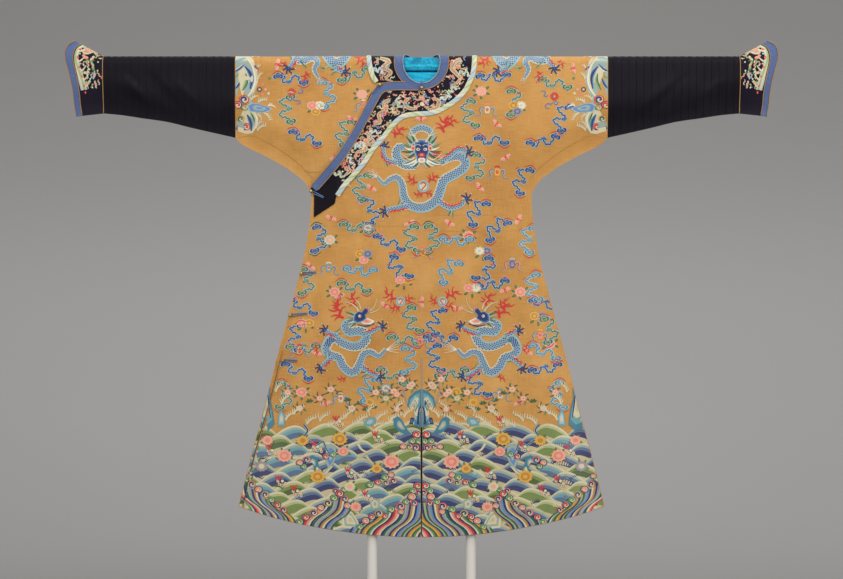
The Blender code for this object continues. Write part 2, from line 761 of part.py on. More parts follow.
LINING_HALF_WIDTH = 0.098
LINING_TOP = 0.046
LINING_BOTTOM = 0.140


def make_neck_lining(turquoise):
    """The lining that shows through the neck, against the inside of the back below the bar."""
    runs = run_at(np.linspace(LINING_TOP, LINING_BOTTOM, 4))
    edge = np.full(runs.shape, LINING_HALF_WIDTH)
    x, run = ruled(-edge, -runs, edge, -runs, np.linspace(0.0, 1.0, 7))
    low = -CLOTH - GAP - FACING
    cloth_wall("neck_lining", "back", x, run, turquoise, low, -CLOTH - GAP)


def stack_height(name, x, run):
    """Height above the overlap's face at which a fastening lies, on the layers that are under it there."""
    layers = {"neck": 3, "collarbone": 2, "underarm": 1}.get(name, 0)
    if layers == 0:
        return np.full(np.shape(x), GAP + SIDE_FASTENING_SLACK)
    return rest(x, run) * (layers + 1) + FACING + BAND * (layers - 1)


def make_fastenings(brass, cord):
    for name, x, depth, strap_x, strap_depth in FASTENINGS:
        run = run_at(np.array([depth]))
        at = np.array([x])
        base = stack_height(name, at, run)

        def face(across, along):
            return surface("overlap", across, along)

        foot = lifted(face, at, run, base)[0]
        tip = lifted(face, at, run, base + 0.01)[0]
        turned = Vector((0.0, 0.0, 1.0)).rotation_difference(Vector(tip - foot))
        ball(f"button_{name}", foot, turned, brass)
        strap = np.array([strap_x - x, run_at(strap_depth) - run[0]])
        loop(f"loop_{name}", face, np.array([x, run[0]]), strap, base[0], cord)


def ball(name, foot, turned, brass):
    """A ball on a short shank, turned about its own axis."""
    rings = []
    for radius, height in BALL_PROFILE:
        for side in range(BALL_SIDES):
            angle = 2 * math.pi * side / BALL_SIDES
            rings.append((radius * math.cos(angle), radius * math.sin(angle), height))
    last = len(BALL_PROFILE) - 1
    faces = [tuple(reversed(range(BALL_SIDES)))]
    faces.append(tuple(last * BALL_SIDES + side for side in range(BALL_SIDES)))
    for ring in range(last):
        for side in range(BALL_SIDES):
            after = (side + 1) % BALL_SIDES
            low = ring * BALL_SIDES
            high = low + BALL_SIDES
            faces.append((low + side, low + after, high + after, high + side))
    made = solid(name, rings, faces, brass)
    made.data.transform(Matrix.Translation(Vector(foot)) @ turned.to_matrix().to_4x4())
    made.data.polygons.foreach_set("use_smooth", [True] * len(made.data.polygons))
    made.data.set_sharp_from_angle(angle=math.radians(50))


def loop(name, face, eye, strap, base, cord):
    """A doubled cord lying on the cloth, round the button's shank and back to where it is sewn down."""
    length = float(np.hypot(*strap))
    ahead = strap / length
    aside = np.array([ahead[1], -ahead[0]])
    turns = np.linspace(-math.pi / 2, math.pi / 2, LOOP_TURN_POINTS)
    curve = [eye - ahead * LOOP_HALF_WIDTH * math.cos(t) + aside * LOOP_HALF_WIDTH * math.sin(t) for t in turns]
    out = [eye + ahead * length * s - aside * LOOP_HALF_WIDTH * (1 - 0.5 * s) for s in (1.0, 0.66, 0.33)]
    back = [eye + ahead * length * s + aside * LOOP_HALF_WIDTH * (1 - 0.5 * s) for s in (0.33, 0.66, 1.0)]
    route = np.array(out + curve + back)
    heights = np.full(len(route), base + LOOP_RADIUS)
    points = lifted(face, route[:, 0], route[:, 1], heights)
    line = bpy.data.curves.new(name, "CURVE")
    line.dimensions = "3D"
    line.bevel_depth = LOOP_RADIUS
    line.bevel_resolution = 1
    line.use_fill_caps = True
    spline = line.splines.new("POLY")
    spline.points.add(len(points) - 1)
    for point, place in zip(spline.points, points):
        point.co = (*place, 1.0)
    line.materials.append(cord)
    made = bpy.data.objects.new(name, line)
    bpy.context.scene.collection.objects.link(made)


def ring_points(x, radius, sides, turn=0.0):
    """Points of a circle about the bar's axis. The first is on top."""
    angles = [2 * math.pi * side / sides + turn for side in range(sides)]
    return [(x, radius * math.sin(a), BAR_Z + radius * math.cos(a)) for a in angles]


def bar_solid(name, sections, finish):
    """A solid of round sections along the bar's axis, each given as x and radius."""
    sides = 4 * ARC_STEPS
    points = [point for x, radius in sections for point in ring_points(x, radius, sides)]
    faces = [tuple(range(sides)), tuple(reversed(range((len(sections) - 1) * sides, len(sections) * sides)))]
    for number in range(len(sections) - 1):
        for side in range(sides):
            after = (side + 1) % sides
            low = number * sides
            high = low + sides
            faces.append((low + side, low + after, high + after, high + side))
    return solid(name, points, faces, finish)


def make_stand(white, turquoise):
    edge = BAR_HALF_LENGTH - BAR_END
    small = BAR_RADIUS - BAR_END
    sections = ((-BAR_HALF_LENGTH, small), (-edge, BAR_RADIUS), (edge, BAR_RADIUS), (BAR_HALF_LENGTH, small))
    bar_solid("crossbar", sections, turquoise)
    seat = ((-0.25, BAR_RADIUS + GAP), (0.25, BAR_RADIUS + GAP))
    cutter = bar_solid("saddle_cutter", seat, turquoise)
    cutter.hide_render = True
    cutter.display_type = "WIRE"
    bottom = PLATE_THICKNESS + GAP
    for side, end in ((1.0, "left"), (-1.0, "right")):
        mesh = bpy.data.meshes.new(f"post_{end}")
        bm = bmesh.new()
        bmesh.ops.create_cone(
            bm,
            cap_ends=True,
            segments=24,
            radius1=POST_RADIUS,
            radius2=POST_RADIUS,
            depth=BAR_Z - bottom,
            matrix=Matrix.Translation((side * POST_X, 0.0, (BAR_Z + bottom) / 2)),
        )
        bm.to_mesh(mesh)
        bm.free()
        mesh.materials.append(white)
        mesh.polygons.foreach_set("use_smooth", [True] * len(mesh.polygons))
        mesh.set_sharp_from_angle(angle=math.radians(40))
        post = bpy.data.objects.new(f"post_{end}", mesh)
        bpy.context.scene.collection.objects.link(post)
        cut = post.modifiers.new("saddle", "BOOLEAN")
        cut.operation = "DIFFERENCE"
        cut.object = cutter

    outline = []
    for number in range(4):
        x = (PLATE_LENGTH / 2 - PLATE_CORNER) * (1 if number in (0, 3) else -1)
        y = (PLATE_DEPTH / 2 - PLATE_CORNER) * (1 if number < 2 else -1)
        for step in range(5):
            angle = math.pi / 2 * (number + step / 4)
            outline.append((x + PLATE_CORNER * math.cos(angle), y + PLATE_CORNER * math.sin(angle)))
    count = len(outline)
    points = [(x, y, 0.0) for x, y in outline] + [(x, y, PLATE_THICKNESS) for x, y in outline]
    faces = [tuple(reversed(range(count))), tuple(range(count, 2 * count))]
    faces += [(n, (n + 1) % count, (n + 1) % count + count, n + count) for n in range(count)]
    solid("base_plate", points, faces, white)


def main():
    for old in list(bpy.data.objects):
        bpy.data.objects.remove(old, do_unlink=True)
    gold = material("gold_silk", GOLD_SILK, 0.55)
    dark = material("dark_silk", DARK_SILK, 0.45)
    navy = material("navy_satin", NAVY_SATIN, 0.5)
    blue = material("blue_band", BLUE_BAND, 0.6)
    cream = material("cream_embroidery", CREAM_SILK, 0.5)
    turquoise = material("turquoise_lining", TURQUOISE, 0.35)
    cord = material("cord", BLUE_BAND, 0.7)
    brass = material("brass", BRASS, 0.3, 1.0)
    white = material("white_paint", WHITE_PAINT, 0.4)
    make_stand(white, turquoise)
    make_halves(gold)
    make_overlap(gold)
    make_sleeves(dark)
    make_cuffs(navy, blue)
    make_collar(navy, dark)
    make_borders(blue, cream)
    make_neck_lining(turquoise)
    make_fastenings(brass, cord)


main()
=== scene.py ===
"""A formal robe of gold silk with embroidered dragons, clouds and waves, shown flat-armed on a padded bar.

Metres, +Z up, +X towards the wearer's left, -Y towards the front. A point of the cloth is given by x and by
its run, the length along the cloth from the shoulder line, which is negative on the back."""

import json
import math

import bmesh
import bpy
import numpy as np
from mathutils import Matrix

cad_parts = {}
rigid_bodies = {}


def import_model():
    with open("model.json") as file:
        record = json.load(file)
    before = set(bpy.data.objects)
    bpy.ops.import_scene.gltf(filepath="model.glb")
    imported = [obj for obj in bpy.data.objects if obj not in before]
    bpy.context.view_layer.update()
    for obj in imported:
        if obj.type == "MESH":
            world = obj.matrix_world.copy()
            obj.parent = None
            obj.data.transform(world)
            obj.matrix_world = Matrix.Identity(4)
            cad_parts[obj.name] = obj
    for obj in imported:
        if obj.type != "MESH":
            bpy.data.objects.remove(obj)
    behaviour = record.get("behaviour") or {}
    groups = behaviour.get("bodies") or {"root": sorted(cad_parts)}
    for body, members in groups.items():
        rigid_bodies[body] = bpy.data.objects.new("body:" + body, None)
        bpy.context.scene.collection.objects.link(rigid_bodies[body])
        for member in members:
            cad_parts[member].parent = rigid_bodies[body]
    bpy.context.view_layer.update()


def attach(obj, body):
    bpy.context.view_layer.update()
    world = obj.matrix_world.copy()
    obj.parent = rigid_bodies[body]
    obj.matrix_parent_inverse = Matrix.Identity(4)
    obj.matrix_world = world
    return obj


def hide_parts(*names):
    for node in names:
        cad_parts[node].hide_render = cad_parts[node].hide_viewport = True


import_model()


# The room
# A pale grey paper sweep, floor and wall in one curve, with soft lights above, to both sides and near the
# camera. The paper turns darker up the wall, a painted shade.
ROOM_GREY = (0.355, 0.345, 0.333)
ROOM_GREY_PAINTED_SHADE = (0.250, 0.240, 0.230)
SWEEP_HALF_WIDTH = 9.0
SWEEP_FRONT = -9.0
SWEEP_BACK = 3.2
SWEEP_RADIUS = 1.6
SWEEP_HEIGHT = 6.0
CAMERA_DISTANCE = 7.0
CAMERA_HEIGHT = 1.071
VIEW_WIDTH = 2.529
SENSOR_WIDTH = 36.0


class Socket:
    """An output of a material's node. Arithmetic on it adds Math nodes, and node() adds any other node."""

    def __init__(self, tree, output=None):
        self.tree = tree
        self.output = output

    def node(self, kind, settings=None, inputs=None, give=0):
        """Adds one node: its settings first, then the values or links of its inputs, and gives one
        output."""
        made = self.tree.nodes.new(kind)
        for name, value in (settings or {}).items():
            if name == "stops":
                ramp = made.color_ramp
                while len(ramp.elements) < len(value):
                    ramp.elements.new(0.5)
                for stop, (position, colour) in zip(ramp.elements, value):
                    stop.position = position
                    stop.color = (*colour, 1.0)
            else:
                setattr(made, name, value)
        for name, value in (inputs or {}).items():
            if isinstance(value, Socket):
                self.tree.links.new(value.output, made.inputs[name])
            else:
                made.inputs[name].default_value = value
        return Socket(self.tree, made.outputs[give])

    def math(self, operation, first, second):
        return self.node("ShaderNodeMath", {"operation": operation}, {0: first, 1: second})

    def __add__(self, other):
        return self.math("ADD", self, other)

    def __radd__(self, other):
        return self.math("ADD", other, self)

    def __sub__(self, other):
        return self.math("SUBTRACT", self, other)

    def __rsub__(self, other):
        return self.math("SUBTRACT", other, self)

    def __mul__(self, other):
        return self.math("MULTIPLY", self, other)

    def __rmul__(self, other):
        return self.math("MULTIPLY", other, self)

    def __pow__(self, other):
        return self.math("POWER", self, other)

    def clipped(self):
        return self.node("ShaderNodeClamp", {}, {0: self})

    def object_place(self):
        return self.node("ShaderNodeTexCoord", give=3)

    def on_map(self, name):
        """Place on one of the mesh's maps."""
        return self.node("ShaderNodeUVMap", {"uv_map": name})

    def stretched(self, scale):
        return self.node("ShaderNodeMapping", {}, {"Vector": self, "Scale": scale})

    def noise(self, scale, detail, distortion=0.0):
        inputs = {"Vector": self, "Scale": scale, "Detail": detail, "Distortion": distortion}
        return self.node("ShaderNodeTexNoise", {}, inputs)

    def ribs(self, direction, scale, distortion):
        """Even parallel bands across this place."""
        settings = {"wave_type": "BANDS", "bands_direction": direction}
        return self.node(
            "ShaderNodeTexWave", settings, {"Vector": self, "Scale": scale, "Distortion": distortion}
        )

    def part(self, axis):
        return self.node("ShaderNodeSeparateXYZ", {}, {0: self}, axis)

    def rising(self, low, high, kind="LINEAR"):
        """0 at low and 1 at high, held outside them."""
        return self.node("ShaderNodeMapRange", {"interpolation_type": kind}, {0: self, 1: low, 2: high})

    def ramp(self, stops):
        return self.node("ShaderNodeValToRGB", {"stops": stops}, {0: self})

    def times_colour(self, other):
        """Product of two colours."""
        settings = {"data_type": "RGBA", "blend_type": "MULTIPLY"}
        return self.node("ShaderNodeMix", settings, {0: 1.0, 6: self, 7: other}, give=2)

    def mix(self, low, high):
        """Colour between two, by this value."""
        settings = {"data_type": "RGBA"}
        return self.node("ShaderNodeMix", settings, {0: self, 6: low, 7: high}, give=2)


def surface_material(name, colour=(0.5, 0.5, 0.5), roughness=0.5, **fixed):
    """A new material with its shader's constant sockets set. Gives it, its first socket and its shader."""
    made = bpy.data.materials.new(name)
    made.use_nodes = True
    shader = made.node_tree.nodes["Principled BSDF"]
    shader.inputs["Base Color"].default_value = (*colour, 1.0)
    shader.inputs["Roughness"].default_value = roughness
    for key, value in fixed.items():
        shader.inputs[key.replace("_", " ").title().replace("Ior", "IOR")].default_value = value
    return made, Socket(made.node_tree), shader


def feed(shader, **inputs):
    """Links sockets to a shader's inputs, named in lower case with underscores."""
    for key, value in inputs.items():
        value.tree.links.new(value.output, shader.inputs[key.replace("_", " ").title()])


def bump_from(source, height, strength, distance):
    """Normal from a height socket."""
    return source.node("ShaderNodeBump", {}, {"Strength": strength, "Distance": distance, "Height": height})


def mesh_from(name, points, faces, smooth=True):
    """Mesh object from an array of points and an array of faces with equal corner counts."""
    mesh = bpy.data.meshes.new(name)
    corners = faces.shape[1]
    mesh.vertices.add(len(points))
    mesh.vertices.foreach_set("co", np.asarray(points, dtype=np.float32).ravel())
    mesh.loops.add(faces.size)
    mesh.loops.foreach_set("vertex_index", faces.astype(np.int32).ravel())
    mesh.polygons.add(len(faces))
    mesh.polygons.foreach_set("loop_start", np.arange(0, faces.size, corners, dtype=np.int32))
    mesh.polygons.foreach_set("use_smooth", np.full(len(faces), smooth))
    mesh.update(calc_edges=True)
    made = bpy.data.objects.new(name, mesh)
    bpy.context.scene.collection.objects.link(made)
    return made


def sweep_profile(share):
    """Side view of the sweep: level floor, a quarter circle, then an upright wall, by share of its
    length."""
    floor = SWEEP_BACK - SWEEP_RADIUS - SWEEP_FRONT
    bend = SWEEP_RADIUS * math.pi / 2
    length = share * (floor + bend + SWEEP_HEIGHT)
    angle = np.clip((length - floor) / SWEEP_RADIUS, 0.0, math.pi / 2)
    y = SWEEP_FRONT + np.minimum(length, floor) + SWEEP_RADIUS * np.sin(angle)
    z = SWEEP_RADIUS * (1.0 - np.cos(angle)) + np.maximum(length - floor - bend, 0.0)
    return y, z


share = np.linspace(0.0, 1.0, 90)
y, z = sweep_profile(share)
grid_y = np.repeat(y[:, None], 2, axis=1)
grid_z = np.repeat(z[:, None], 2, axis=1)
grid_x = np.broadcast_to([-SWEEP_HALF_WIDTH, SWEEP_HALF_WIDTH], grid_y.shape)
index = np.arange(grid_y.size).reshape(grid_y.shape)
faces = np.stack([index[:-1, 0], index[:-1, 1], index[1:, 1], index[1:, 0]], axis=1)
sweep = mesh_from("paper_sweep", np.stack([grid_x, grid_y, grid_z], axis=-1).reshape(-1, 3), faces)
paper, source, shader = surface_material("pale_paper", ROOM_GREY, 0.9, specular_ior_level=0.1)
place = source.object_place()
mottle = place.noise(0.35, 2.0)
height = place.part(2)
# Painted shade: the paper is drawn darker higher up the wall, from 0.9 m to 2.5 m above the floor.
rise = height.rising(0.9, 2.5, "SMOOTHSTEP")
feed(
    shader,
    base_color=(rise + (mottle - 0.5) * 0.2).clipped().mix((*ROOM_GREY, 1.0), (*ROOM_GREY_PAINTED_SHADE, 1.0))
)
sweep.data.materials.append(paper)

world = bpy.data.worlds.new("room")
world.use_nodes = True
world.node_tree.nodes["Background"].inputs["Color"].default_value = (0.95, 0.97, 1.0, 1.0)
world.node_tree.nodes["Background"].inputs["Strength"].default_value = 0.55
bpy.context.scene.world = world

# Each light: name, place, point that it faces, width, watts
LIGHTS = (
    ("soft_overhead", (0.4, -2.6, 4.6), (0.0, 0.0, 1.2), 3.4, 130.0),
    ("soft_left", (-4.2, -4.4, 2.6), (0.0, 0.0, 1.1), 2.6, 85.0),
    ("soft_right", (4.4, -4.0, 2.8), (0.0, 0.0, 1.1), 2.6, 110.0),
    ("soft_rear", (0.0, 2.4, 4.8), (0.0, 0.6, 1.0), 2.4, 35.0),
)
for name, spot, facing, width, watts in LIGHTS:
    lamp = bpy.data.lights.new(name, "AREA")
    lamp.size = width
    lamp.energy = watts
    holder = bpy.data.objects.new(name, lamp)
    bpy.context.scene.collection.objects.link(holder)
    aim = np.array(facing) - np.array(spot)
    flat_length = math.hypot(aim[0], aim[1])
    holder.location = spot
    holder.rotation_euler = (
        math.atan2(flat_length, -aim[2]), 0.0, math.atan2(aim[1], aim[0]) - math.pi / 2
    )

camera = bpy.data.cameras.new("camera")
camera.sensor_width = SENSOR_WIDTH
camera.lens = SENSOR_WIDTH * CAMERA_DISTANCE / VIEW_WIDTH
viewer = bpy.data.objects.new("camera", camera)
viewer.location = (0.0, -CAMERA_DISTANCE, CAMERA_HEIGHT)
viewer.rotation_euler = (math.pi / 2, 0.0, 0.0)
bpy.context.scene.collection.objects.link(viewer)
bpy.context.scene.camera = viewer
bpy.context.scene.view_settings.view_transform = "Standard"


# The gold body
# Three lengths of lined yellow silk: one over each shoulder, front and back in one, and the front that
# crosses from the centre seam to the wearer's right side. They hang from the bar, seamed at the centre,
# sides and underarms.
SHOULDER_Z = 1.770
CLOTH = 0.002
FACING = 0.001
BAND = 0.0012
GAP = 0.0003
HANG = 0.0223
ARC = HANG * math.pi / 2
SEAM_SIDE = GAP / 2 + CLOTH
SIDE_EASE = 0.110
LAYER = CLOTH + GAP
LAYER_START = 0.028
LAYER_EASE = 0.052
SIDE_SLACK = 0.0012
SLACK_EASE = 0.120
UNDERARM_SLACK = 0.0030
FLAP_SLACK = 0.0006
ARC_SLACK = 0.0003
NECK_HALF_WIDTH = 0.054
NECK_WIDEST = 0.030
NECK_FRONT = 0.0937
NECK_BACK = ARC * 2 / 3
NECK_TUCKED = 0.003
CUFF_SEAM_X = 0.952
HEM_DEPTH = 1.440
HEM_RISE = 0.090
HEM_HALF_WIDTH = 0.549
HEM_BEND_START = 1.000
FLAP_EDGE = 0.005
FLAP_SHOWS = 0.016
FLAP_SHOWS_FROM = 0.900
FLAP_SHOWS_EASE = 0.060
VENT_HALF_GAP = 0.0022
CELL = 0.010

# Half width of the body: depth, half width
BODY_SIDE = (
    (0.2440, 0.558), (0.262, 0.541), (0.280, 0.508), (0.298, 0.470), (0.316, 0.437), (0.334, 0.405),
    (0.352, 0.380), (0.370, 0.357), (0.388, 0.343), (0.406, 0.333), (0.442, 0.330), (0.478, 0.333),
    (0.550, 0.343), (0.622, 0.358), (0.766, 0.396), (0.910, 0.435), (1.054, 0.472), (1.198, 0.511),
    (1.350, HEM_HALF_WIDTH),
)

# Lower edge of the sleeve: distance from the middle, depth
SLEEVE_UNDERSIDE = (
    (0.952, 0.171), (0.900, 0.176), (0.840, 0.185), (0.760, 0.197), (0.690, 0.214), (0.558, 0.2440),
)
MEETING_LINE = (*SLEEVE_UNDERSIDE, *((width, depth) for depth, width in BODY_SIDE[1:]), (0.640, 1.700))

# Free edge of the crossing front: depth, x
OVERLAP_EDGE = (
    (0.080, -0.100), (0.084, -0.116), (0.100, -0.139), (0.158, -0.171), (0.213, -0.199), (0.284, -0.241),
    (0.339, -0.283), (0.400, -0.336),
)

# Soft folds and creases: x and depth of both ends, half width, height
FRONT_FOLDS = (
    (0.925, 0.060, 0.660, 0.215, 0.022, 0.0050),
    (0.880, 0.050, 0.720, 0.185, 0.018, -0.0035),
    (0.790, 0.045, 0.600, 0.200, 0.020, 0.0030),
    (-0.925, 0.060, -0.680, 0.205, 0.022, 0.0050),
    (-0.850, 0.050, -0.700, 0.190, 0.018, -0.0030),
    (-0.760, 0.050, -0.590, 0.210, 0.020, 0.0035),
    (-0.900, 0.030, -0.780, 0.150, 0.009, -0.0022),
    (-0.887, 0.075, -0.790, 0.168, 0.009, 0.0018),
    (-0.839, 0.035, -0.700, 0.158, 0.011, -0.0022),
    (-0.800, 0.050, -0.673, 0.188, 0.010, 0.0020),
    (-0.740, 0.045, -0.620, 0.175, 0.010, -0.0016),
    (0.905, 0.040, 0.800, 0.150, 0.009, -0.0020),
    (0.862, 0.045, 0.748, 0.165, 0.010, 0.0019),
    (0.820, 0.035, 0.690, 0.160, 0.011, -0.0022),
    (0.765, 0.055, 0.640, 0.190, 0.010, 0.0018),
    (0.430, 0.900, 0.450, 1.500, 0.050, 0.0060),
    (0.300, 0.950, 0.310, 1.500, 0.060, -0.0045),
    (0.120, 0.900, 0.130, 1.500, 0.050, 0.0045),
    (-0.100, 0.980, -0.100, 1.500, 0.050, 0.0045),
    (-0.240, 0.900, -0.260, 1.500, 0.060, -0.0050),
    (-0.400, 0.850, -0.430, 1.500, 0.050, 0.0060),
    (-0.545, 0.235, -0.330, 0.420, 0.014, 0.0022),
    (-0.470, 0.205, -0.330, 0.330, 0.011, -0.0014),
    (-0.400, 0.352, -0.290, 0.340, 0.006, 0.0013),
    (0.540, 0.225, 0.335, 0.400, 0.013, 0.0024),
    (0.480, 0.205, 0.300, 0.350, 0.012, -0.0014),
    (0.330, 0.440, 0.180, 0.520, 0.016, 0.0010),
    (-0.320, 0.470, -0.170, 0.560, 0.016, -0.0010),
    (0.052, 0.250, 0.075, 0.900, 0.022, 0.0012),
    (0.215, 0.420, 0.260, 1.050, 0.028, 0.0014),
    (-0.190, 0.400, -0.215, 0.950, 0.024, 0.0013),
    (-0.060, 0.520, -0.070, 1.020, 0.020, -0.0011),
    (0.350, 0.620, 0.400, 1.200, 0.022, -0.0015),
    (-0.345, 0.700, -0.400, 1.250, 0.020, 0.0014),
)
BACK_FOLDS = (
    (0.915, 0.065, 0.690, 0.205, 0.020, 0.0045),
    (0.830, 0.055, 0.640, 0.200, 0.020, -0.0030),
    (-0.900, 0.060, -0.670, 0.210, 0.022, 0.0045),
    (-0.810, 0.050, -0.620, 0.205, 0.018, -0.0035),
    (0.380, 0.900, 0.400, 1.500, 0.055, 0.0055),
    (0.230, 0.950, 0.240, 1.500, 0.055, -0.0050),
    (0.090, 0.900, 0.090, 1.500, 0.050, 0.0050),
    (-0.110, 0.950, -0.110, 1.500, 0.050, 0.0045),
    (-0.270, 0.900, -0.280, 1.500, 0.060, -0.0050),
    (-0.420, 0.850, -0.440, 1.500, 0.050, 0.0055),
    (0.545, 0.230, 0.320, 0.430, 0.014, 0.0022),
    (-0.535, 0.225, -0.350, 0.390, 0.012, 0.0022),
    (-0.460, 0.210, -0.300, 0.340, 0.012, -0.0013),
    (0.180, 0.420, 0.205, 1.000, 0.026, 0.0013),
    (-0.160, 0.380, -0.200, 1.050, 0.024, 0.0014),
    (0.040, 0.500, 0.050, 1.000, 0.020, -0.0011),
    (0.330, 0.640, 0.380, 1.220, 0.022, -0.0014),
)
FOLD_CLEAR = 0.025
FOLD_START = 0.040


def ease(value):
    """Rises from 0 to 1 with a level start and end."""
    held = np.clip(value, 0.0, 1.0)
    return held * held * (3.0 - 2.0 * held)


def read_table(table, at):
    """Smooth reading of a two-column table: a cubic between rows whose slopes average their neighbours'."""
    columns = np.array(table)
    known, value = columns[:, 0], columns[:, 1]
    slope = np.gradient(value, known)
    place = np.clip(at, known[0], known[-1])
    row = np.clip(np.searchsorted(known, place, side="right") - 1, 0, len(known) - 2)
    width = known[row + 1] - known[row]
    t = (place - known[row]) / width
    start = (1 + 2 * t) * (1 - t) ** 2 * value[row] + t * (1 - t) ** 2 * width * slope[row]
    return start + t * t * (3 - 2 * t) * value[row + 1] + t * t * (t - 1) * width * slope[row + 1]


def half_width(depth):
    """Half width of the body. Above the underarm it is the sleeve seam's distance from the middle."""
    return read_table(BODY_SIDE, depth)


def distance_to_side(x, depth):
    """Distance on the flat pattern from a point to the line where front and back meet."""
    across = np.abs(x)
    nearest = np.full(np.broadcast(x, depth).shape, 9.0)
    for (ax, ad), (bx, bd) in zip(MEETING_LINE[:-1], MEETING_LINE[1:]):
        ux = bx - ax
        ud = bd - ad
        share = np.clip(((across - ax) * ux + (depth - ad) * ud) / (ux * ux + ud * ud), 0.0, 1.0)
        nearest = np.minimum(nearest, np.hypot(across - ax - share * ux, depth - ad - share * ud))
    return nearest


def fold_height(folds, x, depth):
    """Sum of soft ridges, each with a bell-shaped section along a straight line and faded ends."""
    total = np.zeros(np.broadcast(x, depth).shape)
    for x0, d0, x1, d1, width, height in folds:
        ux = x1 - x0
        ud = d1 - d0
        length = math.hypot(ux, ud)
        along = ((x - x0) * ux + (depth - d0) * ud) / (length * length)
        across = ((x - x0) * ud - (depth - d0) * ux) / length
        total = total + height * ease(along / 0.3) * ease((1.0 - along) / 0.3) * np.exp(
            -((across / width) ** 2)
        )
    return total * ease((depth - FOLD_CLEAR) / FOLD_START)


def at_underarm(x, depth):
    """1 where the crossing front ends under the wearer's right arm, fading to 0 around it."""
    return ease((depth - 0.24) / 0.06) * (1.0 - ease((depth - 0.42) / 0.08)) * ease((-x - 0.10) / 0.10)


def reach(panel, x, depth):
    """How far a panel's outer face stands from the garment's middle plane: the bar's radius and the folds,
    drawn in to the seam at the sides. The under front lies a layer lower, and the crossing front a layer
    above that."""
    side = distance_to_side(x, depth)
    full = ease(side / SIDE_EASE)
    folds = BACK_FOLDS if panel == "back" else FRONT_FOLDS
    out = SEAM_SIDE + (HANG - SEAM_SIDE + fold_height(folds, x, depth)) * full
    under = out - LAYER * full * ease((depth - LAYER_START) / LAYER_EASE)
    slack = SIDE_SLACK + FLAP_SLACK * ease((depth - FLAP_SHOWS_FROM + FLAP_SHOWS_EASE) / FLAP_SHOWS_EASE)
    over = under + LAYER + slack * (1.0 - ease(side / SLACK_EASE)) + UNDERARM_SLACK * at_underarm(x, depth)
    if panel == "right_front":
        return under
    if panel == "overlap":
        return over
    if panel == "front_top":
        return np.where(x < 0.0, over, out)
    if panel == "front_seen":
        return np.where(x > 0.0, out, np.where(on_overlap(x, depth), over, under))
    return out


def overlap_side(depth):
    """Distance from the middle of the crossing front's outer edge, which shows a strip of the front below
    it."""
    return half_width(depth) - FLAP_SHOWS * ease((depth - FLAP_SHOWS_FROM) / FLAP_SHOWS_EASE)


def on_overlap(x, depth):
    """True where the crossing front covers the front below it."""
    free = np.where(depth <= 0.400, -read_table(OVERLAP_EDGE, depth), 9.0)
    return (x <= 0.0) & (depth >= 0.080) & (-x <= np.minimum(free, overlap_side(depth)))


def run_at(depth):
    """Length along the cloth from the shoulder line to a depth, with the depth's sign."""
    drop = np.abs(depth)
    around = HANG * np.arccos(1.0 - np.minimum(drop, HANG) / HANG)
    return np.where(depth < 0.0, -1.0, 1.0) * (around + np.maximum(drop - HANG, 0.0))


def depth_at(run):
    """Depth below the shoulder line after a length along the cloth, always positive."""
    length = np.abs(run)
    angle = np.minimum(length, ARC) / HANG
    return HANG * (1.0 - np.cos(angle)) + np.maximum(length - ARC, 0.0)


def surface(panel, x, run):
    """Outer face: round over the bar, then straight down, standing off by reach. Runs below zero are the
    back."""
    angle = np.minimum(np.abs(run), ARC) / HANG
    depth = depth_at(run)
    before = reach(panel, x, depth)
    out = before if panel == "back" else np.where(run < 0.0, reach("back", x, depth), before)
    y = np.where(run < 0.0, 1.0, -1.0) * out * np.sin(angle)
    return np.stack(np.broadcast_arrays(x, y, SHOULDER_Z - depth), axis=-1)


def on_panel(panel):
    """Outer face of one panel, as a function of x and run."""

    def face(x, run):
        return surface(panel, x, run)

    return face


def lifted(face_of, across, along, lift):
    """Points of a face moved out along its normal, found from small steps on the face."""
    step = 0.0005
    right = face_of(across + step, along) - face_of(across - step, along)
    down = face_of(across, along + step) - face_of(across, along - step)
    normal = np.cross(down, right)
    normal = normal / np.linalg.norm(normal, axis=-1, keepdims=True)
    return face_of(across, along) + normal * np.asarray(lift)[..., None]


def bake_layout(across, along):
    """Places in the unit square for a sheet's outer face, which takes its left half. The inner face takes
    the right."""
    u = (across - across.min()) / np.ptp(across) * 0.48 + 0.01
    v = (along - along.min()) / np.ptp(along) * 0.98 + 0.01
    return np.stack([u, v], axis=-1)


